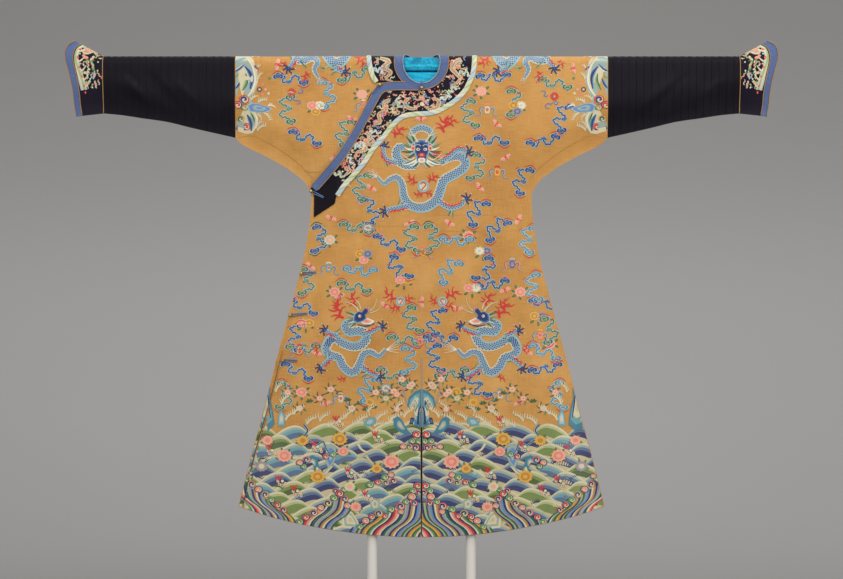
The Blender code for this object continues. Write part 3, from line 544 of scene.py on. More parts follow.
def shell(name, outer, inner, across, along, finishes, ring=False):
    """Thin closed sheet between two grids of points, with quads on both faces and round its edge. The map
    named weave holds across and along in metres, and the one named OFBake their places in the unit
    square."""
    rows, columns = outer.shape[:2]
    count = rows * columns
    index = np.arange(count).reshape(rows, columns)
    if ring:
        index = np.vstack([index, index[:1]])
    below = index + count

    def quads(a, b, c, d):
        return np.stack([a.ravel(), b.ravel(), c.ravel(), d.ravel()], axis=1)

    top = quads(index[:-1, :-1], index[1:, :-1], index[1:, 1:], index[:-1, 1:])
    under = quads(below[:-1, :-1], below[:-1, 1:], below[1:, 1:], below[1:, :-1])
    rim = [
        quads(index[:-1, 0], below[:-1, 0], below[1:, 0], index[1:, 0]),
        quads(index[1:, -1], below[1:, -1], below[:-1, -1], index[:-1, -1]),
    ]
    if not ring:
        rim.append(quads(index[0, 1:], below[0, 1:], below[0, :-1], index[0, :-1]))
        rim.append(quads(index[-1, :-1], below[-1, :-1], below[-1, 1:], index[-1, 1:]))
    rim = np.concatenate(rim)
    faces = np.concatenate([top, under, rim])
    points = np.concatenate([outer.reshape(-1, 3), inner.reshape(-1, 3)])
    made = mesh_from(name, points, faces)
    mesh = made.data
    weave = np.stack([across.ravel(), along.ravel()], axis=1)
    layout = bake_layout(across, along).reshape(-1, 2)
    shifted = layout + (0.5, 0.0)
    mesh.uv_layers.new(name="weave").data.foreach_set("uv", np.tile(weave, (2, 1))[faces.ravel()].ravel())
    both = np.concatenate([layout, shifted])
    placed = np.concatenate([both[top.ravel()], both[under.ravel()], both[(rim % count).ravel()]])
    mesh.uv_layers.new(name="OFBake").data.foreach_set("uv", placed.ravel())
    for finish in finishes:
        mesh.materials.append(finish)
    slots = np.zeros(len(faces), dtype=np.int32)
    slots[len(top) : len(top) + len(under)] = len(finishes) - 1
    mesh.polygons.foreach_set("material_index", slots)
    lead = index[0, 0], index[1, 0], index[0, 1]
    facing = np.cross(points[lead[1]] - points[lead[0]], points[lead[2]] - points[lead[0]])
    outward = points[lead[0]] - points[lead[0] + count]
    if np.dot(facing, outward) < 0.0:
        mesh.flip_normals()
    mesh.set_sharp_from_angle(angle=math.radians(60))
    return made


def on_root(piece, slot, *nodes):
    """Rides a piece on the body and has it stand for the nodes. The slot is not used."""
    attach(piece, "root")
    if nodes:
        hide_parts(*nodes)


def body_runs(first):
    """Rows of a front or back, closer together over the bar, from a depth to the hem."""
    down = run_at(HEM_DEPTH)
    start = float(run_at(first))
    return np.linspace(start, down, int(round((down - start) / CELL)) + 1)


def neck_half_width(run, grown=0.0):
    """Half width of the neck opening, two half ellipses that meet where it is widest."""
    below = (run - NECK_WIDEST) / (NECK_FRONT + grown - NECK_WIDEST)
    above = (NECK_WIDEST - run) / (NECK_WIDEST + NECK_BACK + grown)
    share = np.clip(np.where(run > NECK_WIDEST, below, above), 0.0, 1.0)
    return (NECK_HALF_WIDTH + grown) * np.sqrt(1.0 - share * share)


def vent_half_gap(depth):
    """Half the gap at the centre seam, which opens a little below the vent's top."""
    opening = ease((depth - HEM_BEND_START) / 0.15) * (1.0 - 0.5 * ease((depth - 1.3) / 0.1))
    return GAP / 2 + VENT_HALF_GAP * opening


def hem_shift(centre_depth, share):
    """How much higher a row lies towards the side, so that the last row follows the curved hem."""
    bend = ((centre_depth - HEM_BEND_START) / (HEM_DEPTH - HEM_BEND_START)).clip(0.0, 1.0)
    return HEM_RISE * bend * bend * share * share


BODY_COLUMNS = np.linspace(0.0, 1.0, 53)


def half_grid(runs, inner_x):
    """Points of half a body on x > 0: columns from the inner edge to the side, rows bent to the hem."""
    depth = depth_at(runs)[:, None]
    side = half_width(depth - hem_shift(depth, 1.0))
    x = inner_x[:, None] + (side - inner_x[:, None]) * BODY_COLUMNS[None, :]
    bent = depth - hem_shift(depth, np.abs(x) / side)
    return x, np.where(runs < 0.0, -1.0, 1.0)[:, None] * run_at(bent)


def half_runs():
    """Rows of a half over the shoulder, closer together over the bar and beside the neck."""
    bar = np.linspace(0.0, 0.112, 33)[1:]
    body = body_runs(0.110)[1:]
    down = np.concatenate([bar, body])
    return np.concatenate([-down[::-1], [0.0], down])


GOLD = (0.510, 0.245, 0.050)
GOLD_DEEP = (0.375, 0.158, 0.026)
GOLD_PALE = (0.610, 0.325, 0.095)
TURQUOISE = (0.002, 0.270, 0.450)
TURQUOISE_LIGHT = (0.010, 0.370, 0.560)


def silk(name, colours, roughness, pitch, sheen, slub, bump, gloss=0.35):
    """Woven silk. The weave map runs in metres: sine ribs across and along make the weave, a stretched
    noise the slubs, and two soft noises on Object coordinates the uneven dye and the stains."""
    deep, middle, pale = colours
    made, source, shader = surface_material(
        name, middle, roughness, sheen_weight=sheen, sheen_roughness=0.45, specular_ior_level=gloss
    )
    weave = source.on_map("weave")
    place = source.object_place()
    cloudy = place.noise(3.1, 3.0)
    stain = place.noise(11.0, 4.0)
    stretched = weave.stretched((28.0, 620.0, 1.0))
    streak = stretched.noise(1.0, 2.0)
    upright = weave.stretched((520.0, 22.0, 1.0))
    warp = upright.noise(1.0, 2.0)
    dyed = (
        (cloudy - 0.5) * 0.9 + (stain - 0.5) * 0.7 + (streak - 0.5) * slub + (warp - 0.5) * slub * 0.6 + 0.5
    )
    ramp = dyed.clipped().ramp(((0.12, deep), (0.5, middle), (0.9, pale)))
    ribs = weave.ribs("Y", 1.0 / pitch / 20.0 * 2 * math.pi, 0.4)
    warps = weave.ribs("X", 1.0 / pitch / 20.0 * 2 * math.pi, 0.4)
    height = ribs * 0.6 + warps * 0.4 + streak * 0.8
    feed(
        shader,
        base_color=ramp,
        roughness=(roughness + (stain - 0.5) * 0.16),
        normal=bump_from(source, height, bump, 0.0006),
    )
    return made


gold_silk = silk("gold_silk", (GOLD_DEEP, GOLD, GOLD_PALE), 0.52, 0.0008, 0.10, 0.75, 0.5)
deep_turquoise = tuple(c * 0.6 for c in TURQUOISE)
# Painted light: a turquoise brighter than the lining's own, for the neck lining in the shade under the bar.
TURQUOISE_PAINTED_LIGHT = (0.030, 0.520, 0.760)
turquoise_silk = silk(
    "turquoise_silk", (deep_turquoise, TURQUOISE, TURQUOISE_LIGHT), 0.34, 0.0006, 0.03, 0.25, 0.35
)


def cloth_piece(name, panel, x, run, finishes, low=-CLOTH, high=0.0, ring=False):
    """A thin sheet on a panel's face, from one height above that face to another."""
    outer, inner = (
        lifted(on_panel(panel), x, run, np.broadcast_to(level, x.shape)) for level in (high, low)
    )
    return shell(name, outer, inner, x, run, finishes, ring)


runs = half_runs()
gap = np.where(runs < 0.0, GAP / 2, vent_half_gap(depth_at(runs)))
x, run = half_grid(runs, np.maximum(neck_half_width(runs, NECK_TUCKED), gap))
left_half = cloth_piece("left_half_cloth", "front", x, run, (gold_silk, turquoise_silk))
on_root(left_half, "gold_silk", "left_half")
inner = np.where(runs > 0.0, np.maximum(neck_half_width(runs, NECK_TUCKED), FLAP_EDGE), gap)
x, run = half_grid(runs, np.maximum(neck_half_width(runs, NECK_TUCKED), inner))
right_half = cloth_piece("right_half_cloth", "right_front", -x, run, (gold_silk, turquoise_silk))
on_root(right_half, "gold_silk", "right_half")

depths = depth_at(np.append(np.linspace(run_at(0.080), run_at(0.110), 7)[:-1], body_runs(0.110)))[:, None]
side = half_width(depths - hem_shift(depths, 1.0))
shown = FLAP_SHOWS * ease((depths - FLAP_SHOWS_FROM) / FLAP_SHOWS_EASE)
moved = np.clip((BODY_COLUMNS[None, :] - 0.93) / 0.07, 0.0, 1.0)
free = -read_table(OVERLAP_EDGE, depths)
outer_x = np.where(depths <= 0.400, np.minimum(free, side), side)
inner_x = vent_half_gap(depths)
x = inner_x + (outer_x - inner_x) * BODY_COLUMNS[None, :] - shown * moved
run = run_at(depths - hem_shift(depths, x / side))
front_overlap = cloth_piece("front_overlap_cloth", "overlap", -x, run, (gold_silk, turquoise_silk))
on_root(front_overlap, "gold_silk", "front_overlap")


# The dark sleeves
# Near-black silk folded along the top and seamed below, with seventeen narrow tucks pressed across each
# sleeve.
SLEEVE_SEAM_X = 0.558
TUCK_COUNT = 17
TUCK_FIRST_X = 0.575
TUCK_PITCH = 0.0225
TUCK_HEIGHT = 0.0014
DARK_SILK = (0.0040, 0.0023, 0.0056)
DARK_SILK_DEEP = (0.0022, 0.0014, 0.0034)
DARK_SILK_PALE = (0.0072, 0.0048, 0.0096)
TUCK_SHAPE = ((0.0, 0.0), (0.02, 0.75), (0.05, 1.0), (0.10, 0.92), (0.25, 0.62), (0.5, 0.30), (0.78, 0.08))

dark_silk = silk(
    "dark_silk", (DARK_SILK_DEEP, DARK_SILK, DARK_SILK_PALE), 0.42, 0.0007, 0.0, 0.30, 0.4, 0.12
)


def tuck_columns():
    """Columns of a sleeve and the height of its face at each: a sharp rise at every tuck, then a long
    slope."""
    shape = np.array(TUCK_SHAPE)
    starts = TUCK_FIRST_X + TUCK_PITCH * np.arange(TUCK_COUNT)[:, None]
    columns = (starts + shape[None, :, 0] * TUCK_PITCH).ravel()
    heights = np.tile(shape[:, 1] * TUCK_HEIGHT, TUCK_COUNT)
    ends = (SLEEVE_SEAM_X + GAP, SLEEVE_SEAM_X + 0.009)
    last = CUFF_SEAM_X - GAP
    keep = columns < last
    return np.concatenate([ends, columns[keep], [last]]), np.concatenate([(0.0, 0.0), heights[keep], [0.0]])


columns, heights = tuck_columns()
bar = np.linspace(0.0, ARC, 8)
shares = np.linspace(0.0, 1.0, 22)[1:]
underside = read_table(SLEEVE_UNDERSIDE[::-1], columns)
low = HANG + (underside[None, :] - HANG) * shares[:, None]
half = np.vstack([np.broadcast_to(bar[:, None], (bar.size, columns.size)), run_at(low)])
run = np.vstack([-half[:0:-1], half])
x = np.broadcast_to(columns, run.shape)
for side, name in ((1.0, "sleeve_left"), (-1.0, "sleeve_right")):
    sleeve = cloth_piece(
        f"{name}_cloth", "front", side * x, run, (dark_silk,), high=np.broadcast_to(heights, run.shape)
    )
    on_root(sleeve, "dark_silk", name)


# The horseshoe cuffs
# A flared navy satin cuff at each sleeve's end, its upper tip standing over the hand, bound by a blue band
# between gold cords. The lower third is plain and darker.
CUFF_EDGE = (
    (-0.046, 1.040), (-0.038, 1.056), (-0.031, 1.062), (-0.013, 1.069), (0.004, 1.069), (0.040, 1.060),
    (0.076, 1.051), (0.112, 1.045), (0.148, 1.042), (0.180, 1.036),
)
CUFF_DEPTH = 0.014
CUFF_NOSE = 0.050
CUFF_BOTTOM = 0.171
CUFF_ARC_SHARE = 0.25
NAVY_SATIN = (0.0088, 0.0062, 0.0140)
NAVY_DEEP = (0.0054, 0.0038, 0.0088)
NAVY_PALE = (0.0150, 0.0115, 0.0230)
BLUE_BAND = (0.068, 0.106, 0.235)
BLUE_DEEP = (0.046, 0.074, 0.165)
BLUE_PALE = (0.110, 0.150, 0.290)
BAND_FROM = 0.79

navy_satin = silk("navy_satin", (NAVY_DEEP, NAVY_SATIN, NAVY_PALE), 0.45, 0.0006, 0.0, 0.25, 0.35, 0.10)
blue_silk = silk("blue_silk", (BLUE_DEEP, BLUE_BAND, BLUE_PALE), 0.55, 0.0007, 0.12, 0.80, 0.5)


def cuff_face(side):
    """Outer face of a cuff: the sleeve's end section, flattening and rising towards its shaped outer
    edge."""
    edge = np.array(CUFF_EDGE)

    def face(across, along):
        spread = np.clip(across, 0.0, 1.0)
        angle = np.minimum(np.abs(along) / CUFF_ARC_SHARE, 1.0) * math.pi / 2
        lower = np.maximum((np.abs(along) - CUFF_ARC_SHARE) / (1.0 - CUFF_ARC_SHARE), 0.0)
        nose = HANG + (CUFF_NOSE - HANG) * ease(spread)
        top = edge[0, 0] * across
        bottom = CUFF_BOTTOM + (edge[-1, 0] - CUFF_BOTTOM) * across
        down = nose * (1.0 - np.cos(angle)) + lower * (bottom - top - nose)
        full = HANG + (CUFF_DEPTH - HANG) * ease(spread)
        from_bottom = ease((bottom - top - down) / SIDE_EASE)
        out = (SEAM_SIDE + (full - SEAM_SIDE) * from_bottom) * np.sin(angle)
        reached = edge[0, 0] + down / (bottom - top) * (edge[-1, 0] - edge[0, 0])
        x = CUFF_SEAM_X + GAP + across * (read_table(CUFF_EDGE, reached) - CUFF_SEAM_X - GAP)
        y = np.where(along < 0.0, out, -out)
        return np.stack(np.broadcast_arrays(side * x, y, SHOULDER_Z - top - down), axis=-1)

    return face


def grid_faces(rows, columns):
    """Quads of a grid whose columns close into a ring."""
    index = np.arange(rows * columns).reshape(rows, columns)
    after = np.roll(index, -1, axis=1)
    return np.stack([index[:-1], after[:-1], after[1:], index[1:]], axis=-1).reshape(-1, 4)


def close_tube(made, rows, columns):
    """Adds the two end faces of a tube and turns all its faces outwards."""
    bm = bmesh.new()
    bm.from_mesh(made.data)
    bm.verts.ensure_lookup_table()
    bm.faces.new([bm.verts[n] for n in range(columns)])
    bm.faces.new([bm.verts[(rows - 1) * columns + n] for n in range(columns)])
    bmesh.ops.recalc_face_normals(bm, faces=bm.faces)
    bm.to_mesh(made.data)
    bm.free()


def tube(name, centre, radius, finish, sides=10, across=(0.0, 1.0, 0.02)):
    """A round cord along a line of points in space, with its own map along and round it."""
    ahead = np.gradient(centre, axis=0)
    ahead = ahead / np.linalg.norm(ahead, axis=1, keepdims=True)
    side = np.cross(ahead, across)
    side = side / np.linalg.norm(side, axis=1, keepdims=True)
    third = np.cross(ahead, side)
    angle = np.linspace(0.0, 2 * math.pi, sides, endpoint=False)
    reach_out = np.reshape(radius, (-1, 1, 1)) * np.ones((len(centre), 1, 1))
    ring = np.cos(angle)[None, :, None] * side[:, None, :] + np.sin(angle)[None, :, None] * third[:, None, :]
    points = centre[:, None, :] + ring * reach_out
    made = mesh_from(name, points.reshape(-1, 3), grid_faces(len(centre), sides))
    close_tube(made, len(centre), sides)
    travelled = np.append(0.0, np.cumsum(np.linalg.norm(np.diff(centre, axis=0), axis=1)))
    mesh = made.data
    corner = np.empty(len(mesh.loops), dtype=np.int32)
    mesh.loops.foreach_get("vertex_index", corner)
    places = np.stack([np.tile(angle, len(centre)) * 0.0014, np.repeat(travelled, sides)], axis=1)
    mesh.uv_layers.new(name="weave").data.foreach_set("uv", places[corner].ravel())
    mesh.materials.append(finish)
    return made


GOLD_CORD = (0.400, 0.215, 0.070)
GOLD_CORD_RADIUS = 0.0013


def twisted_cord(name, colour, low, high, roughness, depth, **fixed):
    """Plied silk: diagonal ribs on the weave map, as bump and as colour between a painted shade in the
    grooves and a painted highlight on the plies.
    """
    made, source, shader = surface_material(name, colour, roughness, **fixed)
    twist_shade_and_relief = source.on_map("weave").ribs("DIAGONAL", 300.0, 0.5)
    feed(
        shader, base_color=twist_shade_and_relief.mix((*low, 1.0), (*high, 1.0)), normal=bump_from(source, twist_shade_and_relief, 0.6, depth)
    )
    return made


# Dark and light tones of the twist: a painted shade and a painted highlight of the gold.
GOLD_CORD_SHADE_AND_HIGHLIGHT = ((0.240, 0.115, 0.036), (0.500, 0.285, 0.100))
gold_cord = twisted_cord(
    "gold_cord", GOLD_CORD, *GOLD_CORD_SHADE_AND_HIGHLIGHT, 0.42, 0.0005, metallic=0.25, specular_ior_level=0.5
)


def corded(name, face, across, along, height, finish, slot, reference=(0.0, 1.0, 0.02)):
    """A cord couched along a line of a face, at a height above it."""
    centre = lifted(face, across, along, height)
    on_root(tube(name, centre, GOLD_CORD_RADIUS, finish, 8, reference), slot)


half = np.concatenate([np.linspace(0.0, CUFF_ARC_SHARE, 14), np.linspace(CUFF_ARC_SHARE, 1.0, 26)[1:]])
rows = np.concatenate([-half[:0:-1], half])[:, None]
for side, end in ((1.0, "left"), (-1.0, "right")):
    face = cuff_face(side)
    for part, first, low, high, finishes, slot in (
        ("cuff", 0.0, -CLOTH, 0.0, (navy_satin, blue_silk), "navy_satin"),
        ("cuff_band", BAND_FROM, GAP, GAP + FACING, (blue_silk,), "blue_band"),
    ):
        shares = np.linspace(first, 1.0, 19 if first == 0.0 else 7)
        across = np.broadcast_to(shares[None, :], (rows.size, shares.size)) + 0.0
        along = np.broadcast_to(rows, across.shape) + 0.0
        outer = lifted(face, across, along, np.full(across.shape, side * high))
        inner = lifted(face, across, along, np.full(across.shape, side * low))
        made = shell(f"{part}_{end}_cloth", outer, inner, across * 0.11, along * 0.24, finishes)
        on_root(made, slot, f"{part}_{end}")
    for place, spread in (("seam", 0.012), ("inner", BAND_FROM - 0.014), ("outer", 0.985)):
        along = rows[:, 0]
        height = np.full(
            along.shape, side * (GOLD_CORD_RADIUS + GAP + (FACING if place == "outer" else 0.0))
        )
        across = np.full(along.shape, spread)
        corded(f"{place}_cord_{end}", face, across, along, height, gold_cord, "gold_silk", (1.0, 0.02, 0.0))


# The collar facing
# Dark satin sewn flat round the neck and down the free edge to the underarm, ending in a plain dark corner
# there.
ROW_STEP = 0.004
COLLAR_EDGE = (
    (0.000, 0.1665), (0.047, 0.1615), (0.078, 0.150), (0.108, 0.134), (0.142, 0.101), (0.169, 0.056),
    (0.179, 0.020), (0.182, -0.024), (0.190, -0.056), (0.214, -0.083), (0.250, -0.110), (0.281, -0.138),
    (0.324, -0.166), (0.361, -0.197), (0.392, -0.225), (0.4225, -0.246),
)
COLLAR_END = 0.405
COLLAR_SIDE = 0.158
COLLAR_BACK = 0.165
COLLAR_LAST_ROW = 0.162
TAB_SEAM = (
    (0.3285, -0.2385), (0.354, -0.249), (0.414, -0.2544), (0.4365, -0.258),
)
TAB_TIP = (-0.3225, 0.483)
TAB_INSET = 0.008


def rest(x, run):
    """Height at which a piece clears the panel under it, a little more on the bar and towards the sides."""
    depth = depth_at(run)
    on_bar = 1.0 - ease((np.abs(run) - ARC) / 0.010)
    near_side = 1.0 - ease(distance_to_side(x, depth) / SLACK_EASE)
    signed = np.where(run < 0.0, -depth, depth)
    return GAP + ARC_SLACK * on_bar + SIDE_SLACK * np.maximum(near_side, at_underarm(x, signed))


def ruled(left_x, left_run, right_x, right_run, shares):
    """Grid between two edges, given as points of equal number on each."""
    share = np.array(shares)[None, :]
    x = left_x[:, None] + (right_x - left_x)[:, None] * share
    run = left_run[:, None] + (right_run - left_run)[:, None] * share
    return x, run


def facing_piece(name, panel, x, run, finish, node):
    """A facing that rests on a panel."""
    low = rest(x, run)
    made = cloth_piece(name, panel, x, run, (finish,), low, low + FACING)
    on_root(made, "navy_satin" if finish is navy_satin else "dark_silk", node)


neck_end = float(run_at(0.0800))
neck = np.sort(
    np.append(np.arange(GAP, neck_end - 0.002, ROW_STEP), neck_end - np.geomspace(0.0002, 0.002, 4))
)
lower = np.arange(neck_end + 0.0006, float(run_at(COLLAR_END)), ROW_STEP)
left_run = np.concatenate([neck, lower])
depths = depth_at(left_run)
free = np.where(depths > 0.328, read_table(TAB_SEAM, depths) + GAP, read_table(OVERLAP_EDGE, depths))
left_x = np.where(left_run < neck_end, neck_half_width(left_run, 0.001), free)
right_x = read_table(COLLAR_EDGE, depths)
shares = np.linspace(0.0, 1.0, 22)
x, run = ruled(left_x, left_run, right_x, left_run, shares)
facing_piece("collar_front_cloth", "front_top", x, run, navy_satin, "collar_front")

back = np.append(np.arange(0.0, COLLAR_LAST_ROW, ROW_STEP), COLLAR_LAST_ROW)
outer = COLLAR_SIDE * np.sqrt(1.0 - (back / COLLAR_BACK) ** 2)
inside = np.maximum(neck_half_width(-back, 0.001), GAP / 2)
x, run = ruled(inside, -back, outer, -back, shares)
facing_piece("collar_back_left_cloth", "back", x, run, navy_satin, "collar_back_left")
front = neck[1:]
rows = np.concatenate([-back[::-1], front])
shoulder = np.interp(depth_at(front), (0.0, 0.040, 0.0795), (COLLAR_SIDE, 0.153, 0.136))
x, run = ruled(
    np.concatenate([inside[::-1], neck_half_width(front, 0.001)]),
    rows,
    np.concatenate([outer[::-1], shoulder]),
    rows,
    shares,
)
facing_piece("collar_back_right_cloth", "right_front", -x, run, navy_satin, "collar_back_right")

tab = np.append(np.linspace(0.3285, 0.4365, 28), TAB_TIP[1])
edge = np.where(tab <= 0.400, read_table(OVERLAP_EDGE, tab), TAB_INSET - half_width(tab))
edge[-1] = TAB_TIP[0]
seam = read_table(TAB_SEAM, tab)
seam[-1] -= 0.002
seam_depth = np.append(tab[:-1], tab[-2] + 0.006)
x, run = ruled(edge, run_at(tab), seam, run_at(seam_depth), np.linspace(0.0, 1.0, 14))
facing_piece("collar_end_cloth", "overlap", x, run, dark_silk, "collar_end")


# The blue bands
# A narrow blue silk binding round the neck, and a second that runs level from its point and down the free
# edge.
RING_SLACK = 0.0005
NECK_RING_SIDE = 0.026
NECK_RING_FRONT = 0.019
NECK_RING_BACK = 0.020
BAND_WIDTH = 0.022
BAND_LINE = (
    (-0.002, 0.091), (-0.040, 0.0905), (-0.072, 0.090), (-0.100, 0.092), (-0.118, 0.098), (-0.132, 0.112),
    (-0.145, 0.135), (-0.161, 0.165), (-0.187, 0.215), (-0.228, 0.283), (-0.269, 0.337), (-0.322, 0.397),
)


def smooth_line(points, spacing):
    """Points at an even spacing along a curve through the given ones, by a Catmull-Rom spline."""
    knots = np.array(points, dtype=float)
    ends = np.vstack([2 * knots[0] - knots[1], knots, 2 * knots[-1] - knots[-2]])
    a, b, c, d = (ends[n : n + len(knots) - 1, None, :] for n in range(4))
    t = np.linspace(0.0, 1.0, 12, endpoint=False)[None, :, None]
    bend = 2 * a - 5 * b + 4 * c - d
    fine = 0.5 * (2 * b + (c - a) * t + bend * t * t + (3 * b - a - 3 * c + d) * t**3)
    line = np.vstack([fine.reshape(-1, knots.shape[1]), knots[-1:]])
    travelled = np.append(0.0, np.cumsum(np.linalg.norm(np.diff(line, axis=0), axis=1)))
    at = np.linspace(0.0, travelled[-1], max(3, int(round(travelled[-1] / spacing)) + 1))
    return np.stack([np.interp(at, travelled, column) for column in line.T], axis=1)


def sideways(line, closed=False):
    """Unit vectors to one side of a line of points."""
    ahead = np.roll(line, -1, axis=0) - np.roll(line, 1, axis=0) if closed else np.gradient(line, axis=0)
    ahead = ahead / np.maximum(np.linalg.norm(ahead, axis=1, keepdims=True), 1e-9)
    return np.stack([ahead[:, 1], -ahead[:, 0]], axis=1)


def strip_grid(line, width, shares):
    """Grid across a strip whose middle line is given as x and run."""
    aside = sideways(line) * np.reshape(width, (-1, 1)) / 2
    left = line - aside
    right = line + aside
    return ruled(left[:, 0], left[:, 1], right[:, 0], right[:, 1], shares)


def in_run(points):
    """A line given as x and depth, as x and run."""
    line = np.array(points, dtype=float)
    return np.stack([line[:, 0], run_at(line[:, 1])], axis=1)


PALE_CORD = (0.50, 0.53, 0.55)
VENT_CORD_TOP = 0.900
VENT_CORD_BOTTOM = 1.112
pale_cord, source, shader = surface_material("pale_cord", PALE_CORD, 0.5, sheen_weight=0.1)
place = source.object_place()
rubbed = place.noise(160.0, 3.0)
feed(shader, base_color=rubbed.mix((0.17, 0.20, 0.26, 1.0), (0.40, 0.39, 0.36, 1.0)))
turn = np.linspace(0.0, 2 * math.pi, 120, endpoint=False)
front_side = np.sin(turn) > 0.0
ring_reach = np.where(front_side, NECK_FRONT - NECK_WIDEST, NECK_WIDEST + NECK_BACK)
wide = np.where(front_side, NECK_RING_FRONT, NECK_RING_BACK)
x, run = ruled(
    NECK_HALF_WIDTH * np.cos(turn),
    NECK_WIDEST + ring_reach * np.sin(turn),
    (NECK_HALF_WIDTH + NECK_RING_SIDE) * np.cos(turn),
    NECK_WIDEST + (ring_reach + wide) * np.sin(turn),
    np.linspace(0.0, 1.0, 7),
)
low = rest(x, run) * 2 + FACING + RING_SLACK
neck_band = cloth_piece("neck_band_cloth", "back", x, run, (blue_silk,), low, low + BAND, ring=True)
on_root(neck_band, "blue_band", "neck_band")

band_line = smooth_line(in_run(BAND_LINE), 0.005)
x, run = strip_grid(band_line, BAND_WIDTH, np.linspace(0.0, 1.0, 6))
low = rest(x, run) * 2 + FACING + (BAND + GAP * 2) * ease((x + 0.105) / 0.025)
overlap_band = cloth_piece("overlap_band_cloth", "overlap", x, run, (blue_silk,), low, low + BAND)
on_root(overlap_band, "blue_band", "overlap_band")


turn = np.linspace(-0.02, 2 * math.pi - 0.05, 150)
ring_reach = np.where(np.sin(turn) > 0.0, NECK_FRONT - NECK_WIDEST, NECK_WIDEST + NECK_BACK)
wide = np.where(np.sin(turn) > 0.0, NECK_RING_FRONT, NECK_RING_BACK)
for name, share, finish, slot in (
    ("outer_neck_cord", 1.06, gold_cord, "gold_silk"),
    ("inner_neck_cord", 0.06, pale_cord, "cream_embroidery"),
):
    x = (NECK_HALF_WIDTH + NECK_RING_SIDE * share) * np.cos(turn)
    run = NECK_WIDEST + (ring_reach + wide * share) * np.sin(turn)
    low = rest(x, run) * 2 + FACING + RING_SLACK + GOLD_CORD_RADIUS + (BAND if share < 1.0 else 0.0)
    corded(name, on_panel("back"), x, run, low, finish, slot)
for name, off in (("lower_band_cord", 0.5), ("upper_band_cord", -0.5)):
    line = band_line[1:-1] + sideways(band_line)[1:-1] * (off * (BAND_WIDTH + 2.2 * GOLD_CORD_RADIUS))
    line = line[8:] if off < 0.0 else line
    low = rest(line[:, 0], line[:, 1]) * 2 + FACING + (BAND + GAP * 2) * ease((line[:, 0] + 0.105) / 0.025)
    corded(
        name, on_panel("overlap"), line[:, 0], line[:, 1], low + GOLD_CORD_RADIUS, gold_cord, "gold_silk"
    )
vent_run = run_at(np.linspace(VENT_CORD_TOP, VENT_CORD_BOTTOM, 40))
vent_x = np.full(vent_run.shape, 0.0012)
vent_lift = np.full(vent_run.shape, 0.0012)
corded("vent_cord", on_panel("front"), vent_x, vent_run, vent_lift, pale_cord, "cream_embroidery")


# The rope border
# A padded border worked as a twisted rope in cream, pale green and pale blue silk, all round the collar
# facing.
ROPE_WIDTH = 0.0145
ROPE_FRONT = (
    (0.160, 0.0002), (0.155, 0.047), (0.144, 0.077), (0.129, 0.105), (0.097, 0.137), (0.054, 0.163),
    (0.021, 0.172), (-0.024, 0.175), (-0.058, 0.183), (-0.088, 0.209), (-0.116, 0.246), (-0.144, 0.277),
    (-0.172, 0.320), (-0.202, 0.356), (-0.230, 0.387), (-0.251, 0.418),
)
ROPE_STRANDS = ((0.64, 0.59, 0.41), (0.44, 0.50, 0.29), (0.66, 0.61, 0.45), (0.40, 0.49, 0.48))
ROPE_SHADE = ((0.0, (0.30, 0.38, 0.42)), (0.09, (0.66, 0.72, 0.66)), (0.30, (1.0, 1.0, 1.0)))
ROPE_TWIST = 0.023
ROPE_SLANT = 0.95
ROPE_CROWN = 0.0011


def rope(name, panel, line, finish, node):
    """A flat-backed rope on a panel: height over its width follows a half sine, with a groove where strands
    meet."""
    shares = np.linspace(0.0, 1.0, 9)
    x, run = strip_grid(line, ROPE_WIDTH, shares)
    travelled = np.append(0.0, np.cumsum(np.linalg.norm(np.diff(line, axis=0), axis=1)))
    strand = travelled[:, None] / ROPE_TWIST + shares[None, :] * ROPE_SLANT
    groove = np.abs(np.sin(math.pi * strand)) ** 0.5
    low = rest(x, run) * 2 + FACING
    high = low + 0.0004 + (ROPE_CROWN * (0.35 + 0.65 * groove)) * np.sin(math.pi * shares)[None, :] ** 0.6
    outer = lifted(on_panel(panel), x, run, high)
    inner = lifted(on_panel(panel), x, run, low)
    across = np.broadcast_to(shares[None, :] * ROPE_WIDTH, x.shape)
    along = np.broadcast_to(travelled[:, None], x.shape)
    made = shell(name, outer, inner, across, along, (finish,))
    on_root(made, "cream_embroidery", node)


rope_silk, source, shader = surface_material(
    "rope_silk", (0.6, 0.56, 0.4), 0.46, sheen_weight=0.2, specular_ior_level=0.4
)
weave = source.on_map("weave")
parts = weave.part(0)
along = weave.part(1)
strand = along * (1.0 / ROPE_TWIST) + parts * (ROPE_SLANT / ROPE_WIDTH)
within = strand.math("FRACT", strand, 0.0)
which = strand.math("FRACT", strand * 0.25, 0.0)
tinted = which.ramp(tuple(zip((0.0, 0.30, 0.55, 0.80), ROPE_STRANDS))).times_colour(within.ramp(ROPE_SHADE))
stitches = weave.ribs("DIAGONAL", 420.0, 1.0)
feed(shader, base_color=tinted, normal=bump_from(source, stitches, 0.35, 0.0005))

line = smooth_line(in_run(ROPE_FRONT), 0.0018)
line = line[line[:, 1] > GAP]
rope("rope_front_silk", "front_top", line, rope_silk, "rope_border_front")
angle = np.linspace(0.0, math.pi, 64)
around = np.stack([-COLLAR_SIDE * np.cos(angle), -COLLAR_BACK * np.sin(angle)], axis=1)
near = in_run(((-0.1345, 0.0785), (-0.145, 0.062), (-0.152, 0.040), (-0.157, 0.012)))
line = smooth_line(np.vstack([near, around[1:-1:3], ((COLLAR_SIDE, -GAP),)]), 0.0018)
rope("rope_back_silk", "back", line, rope_silk, "rope_border_back")
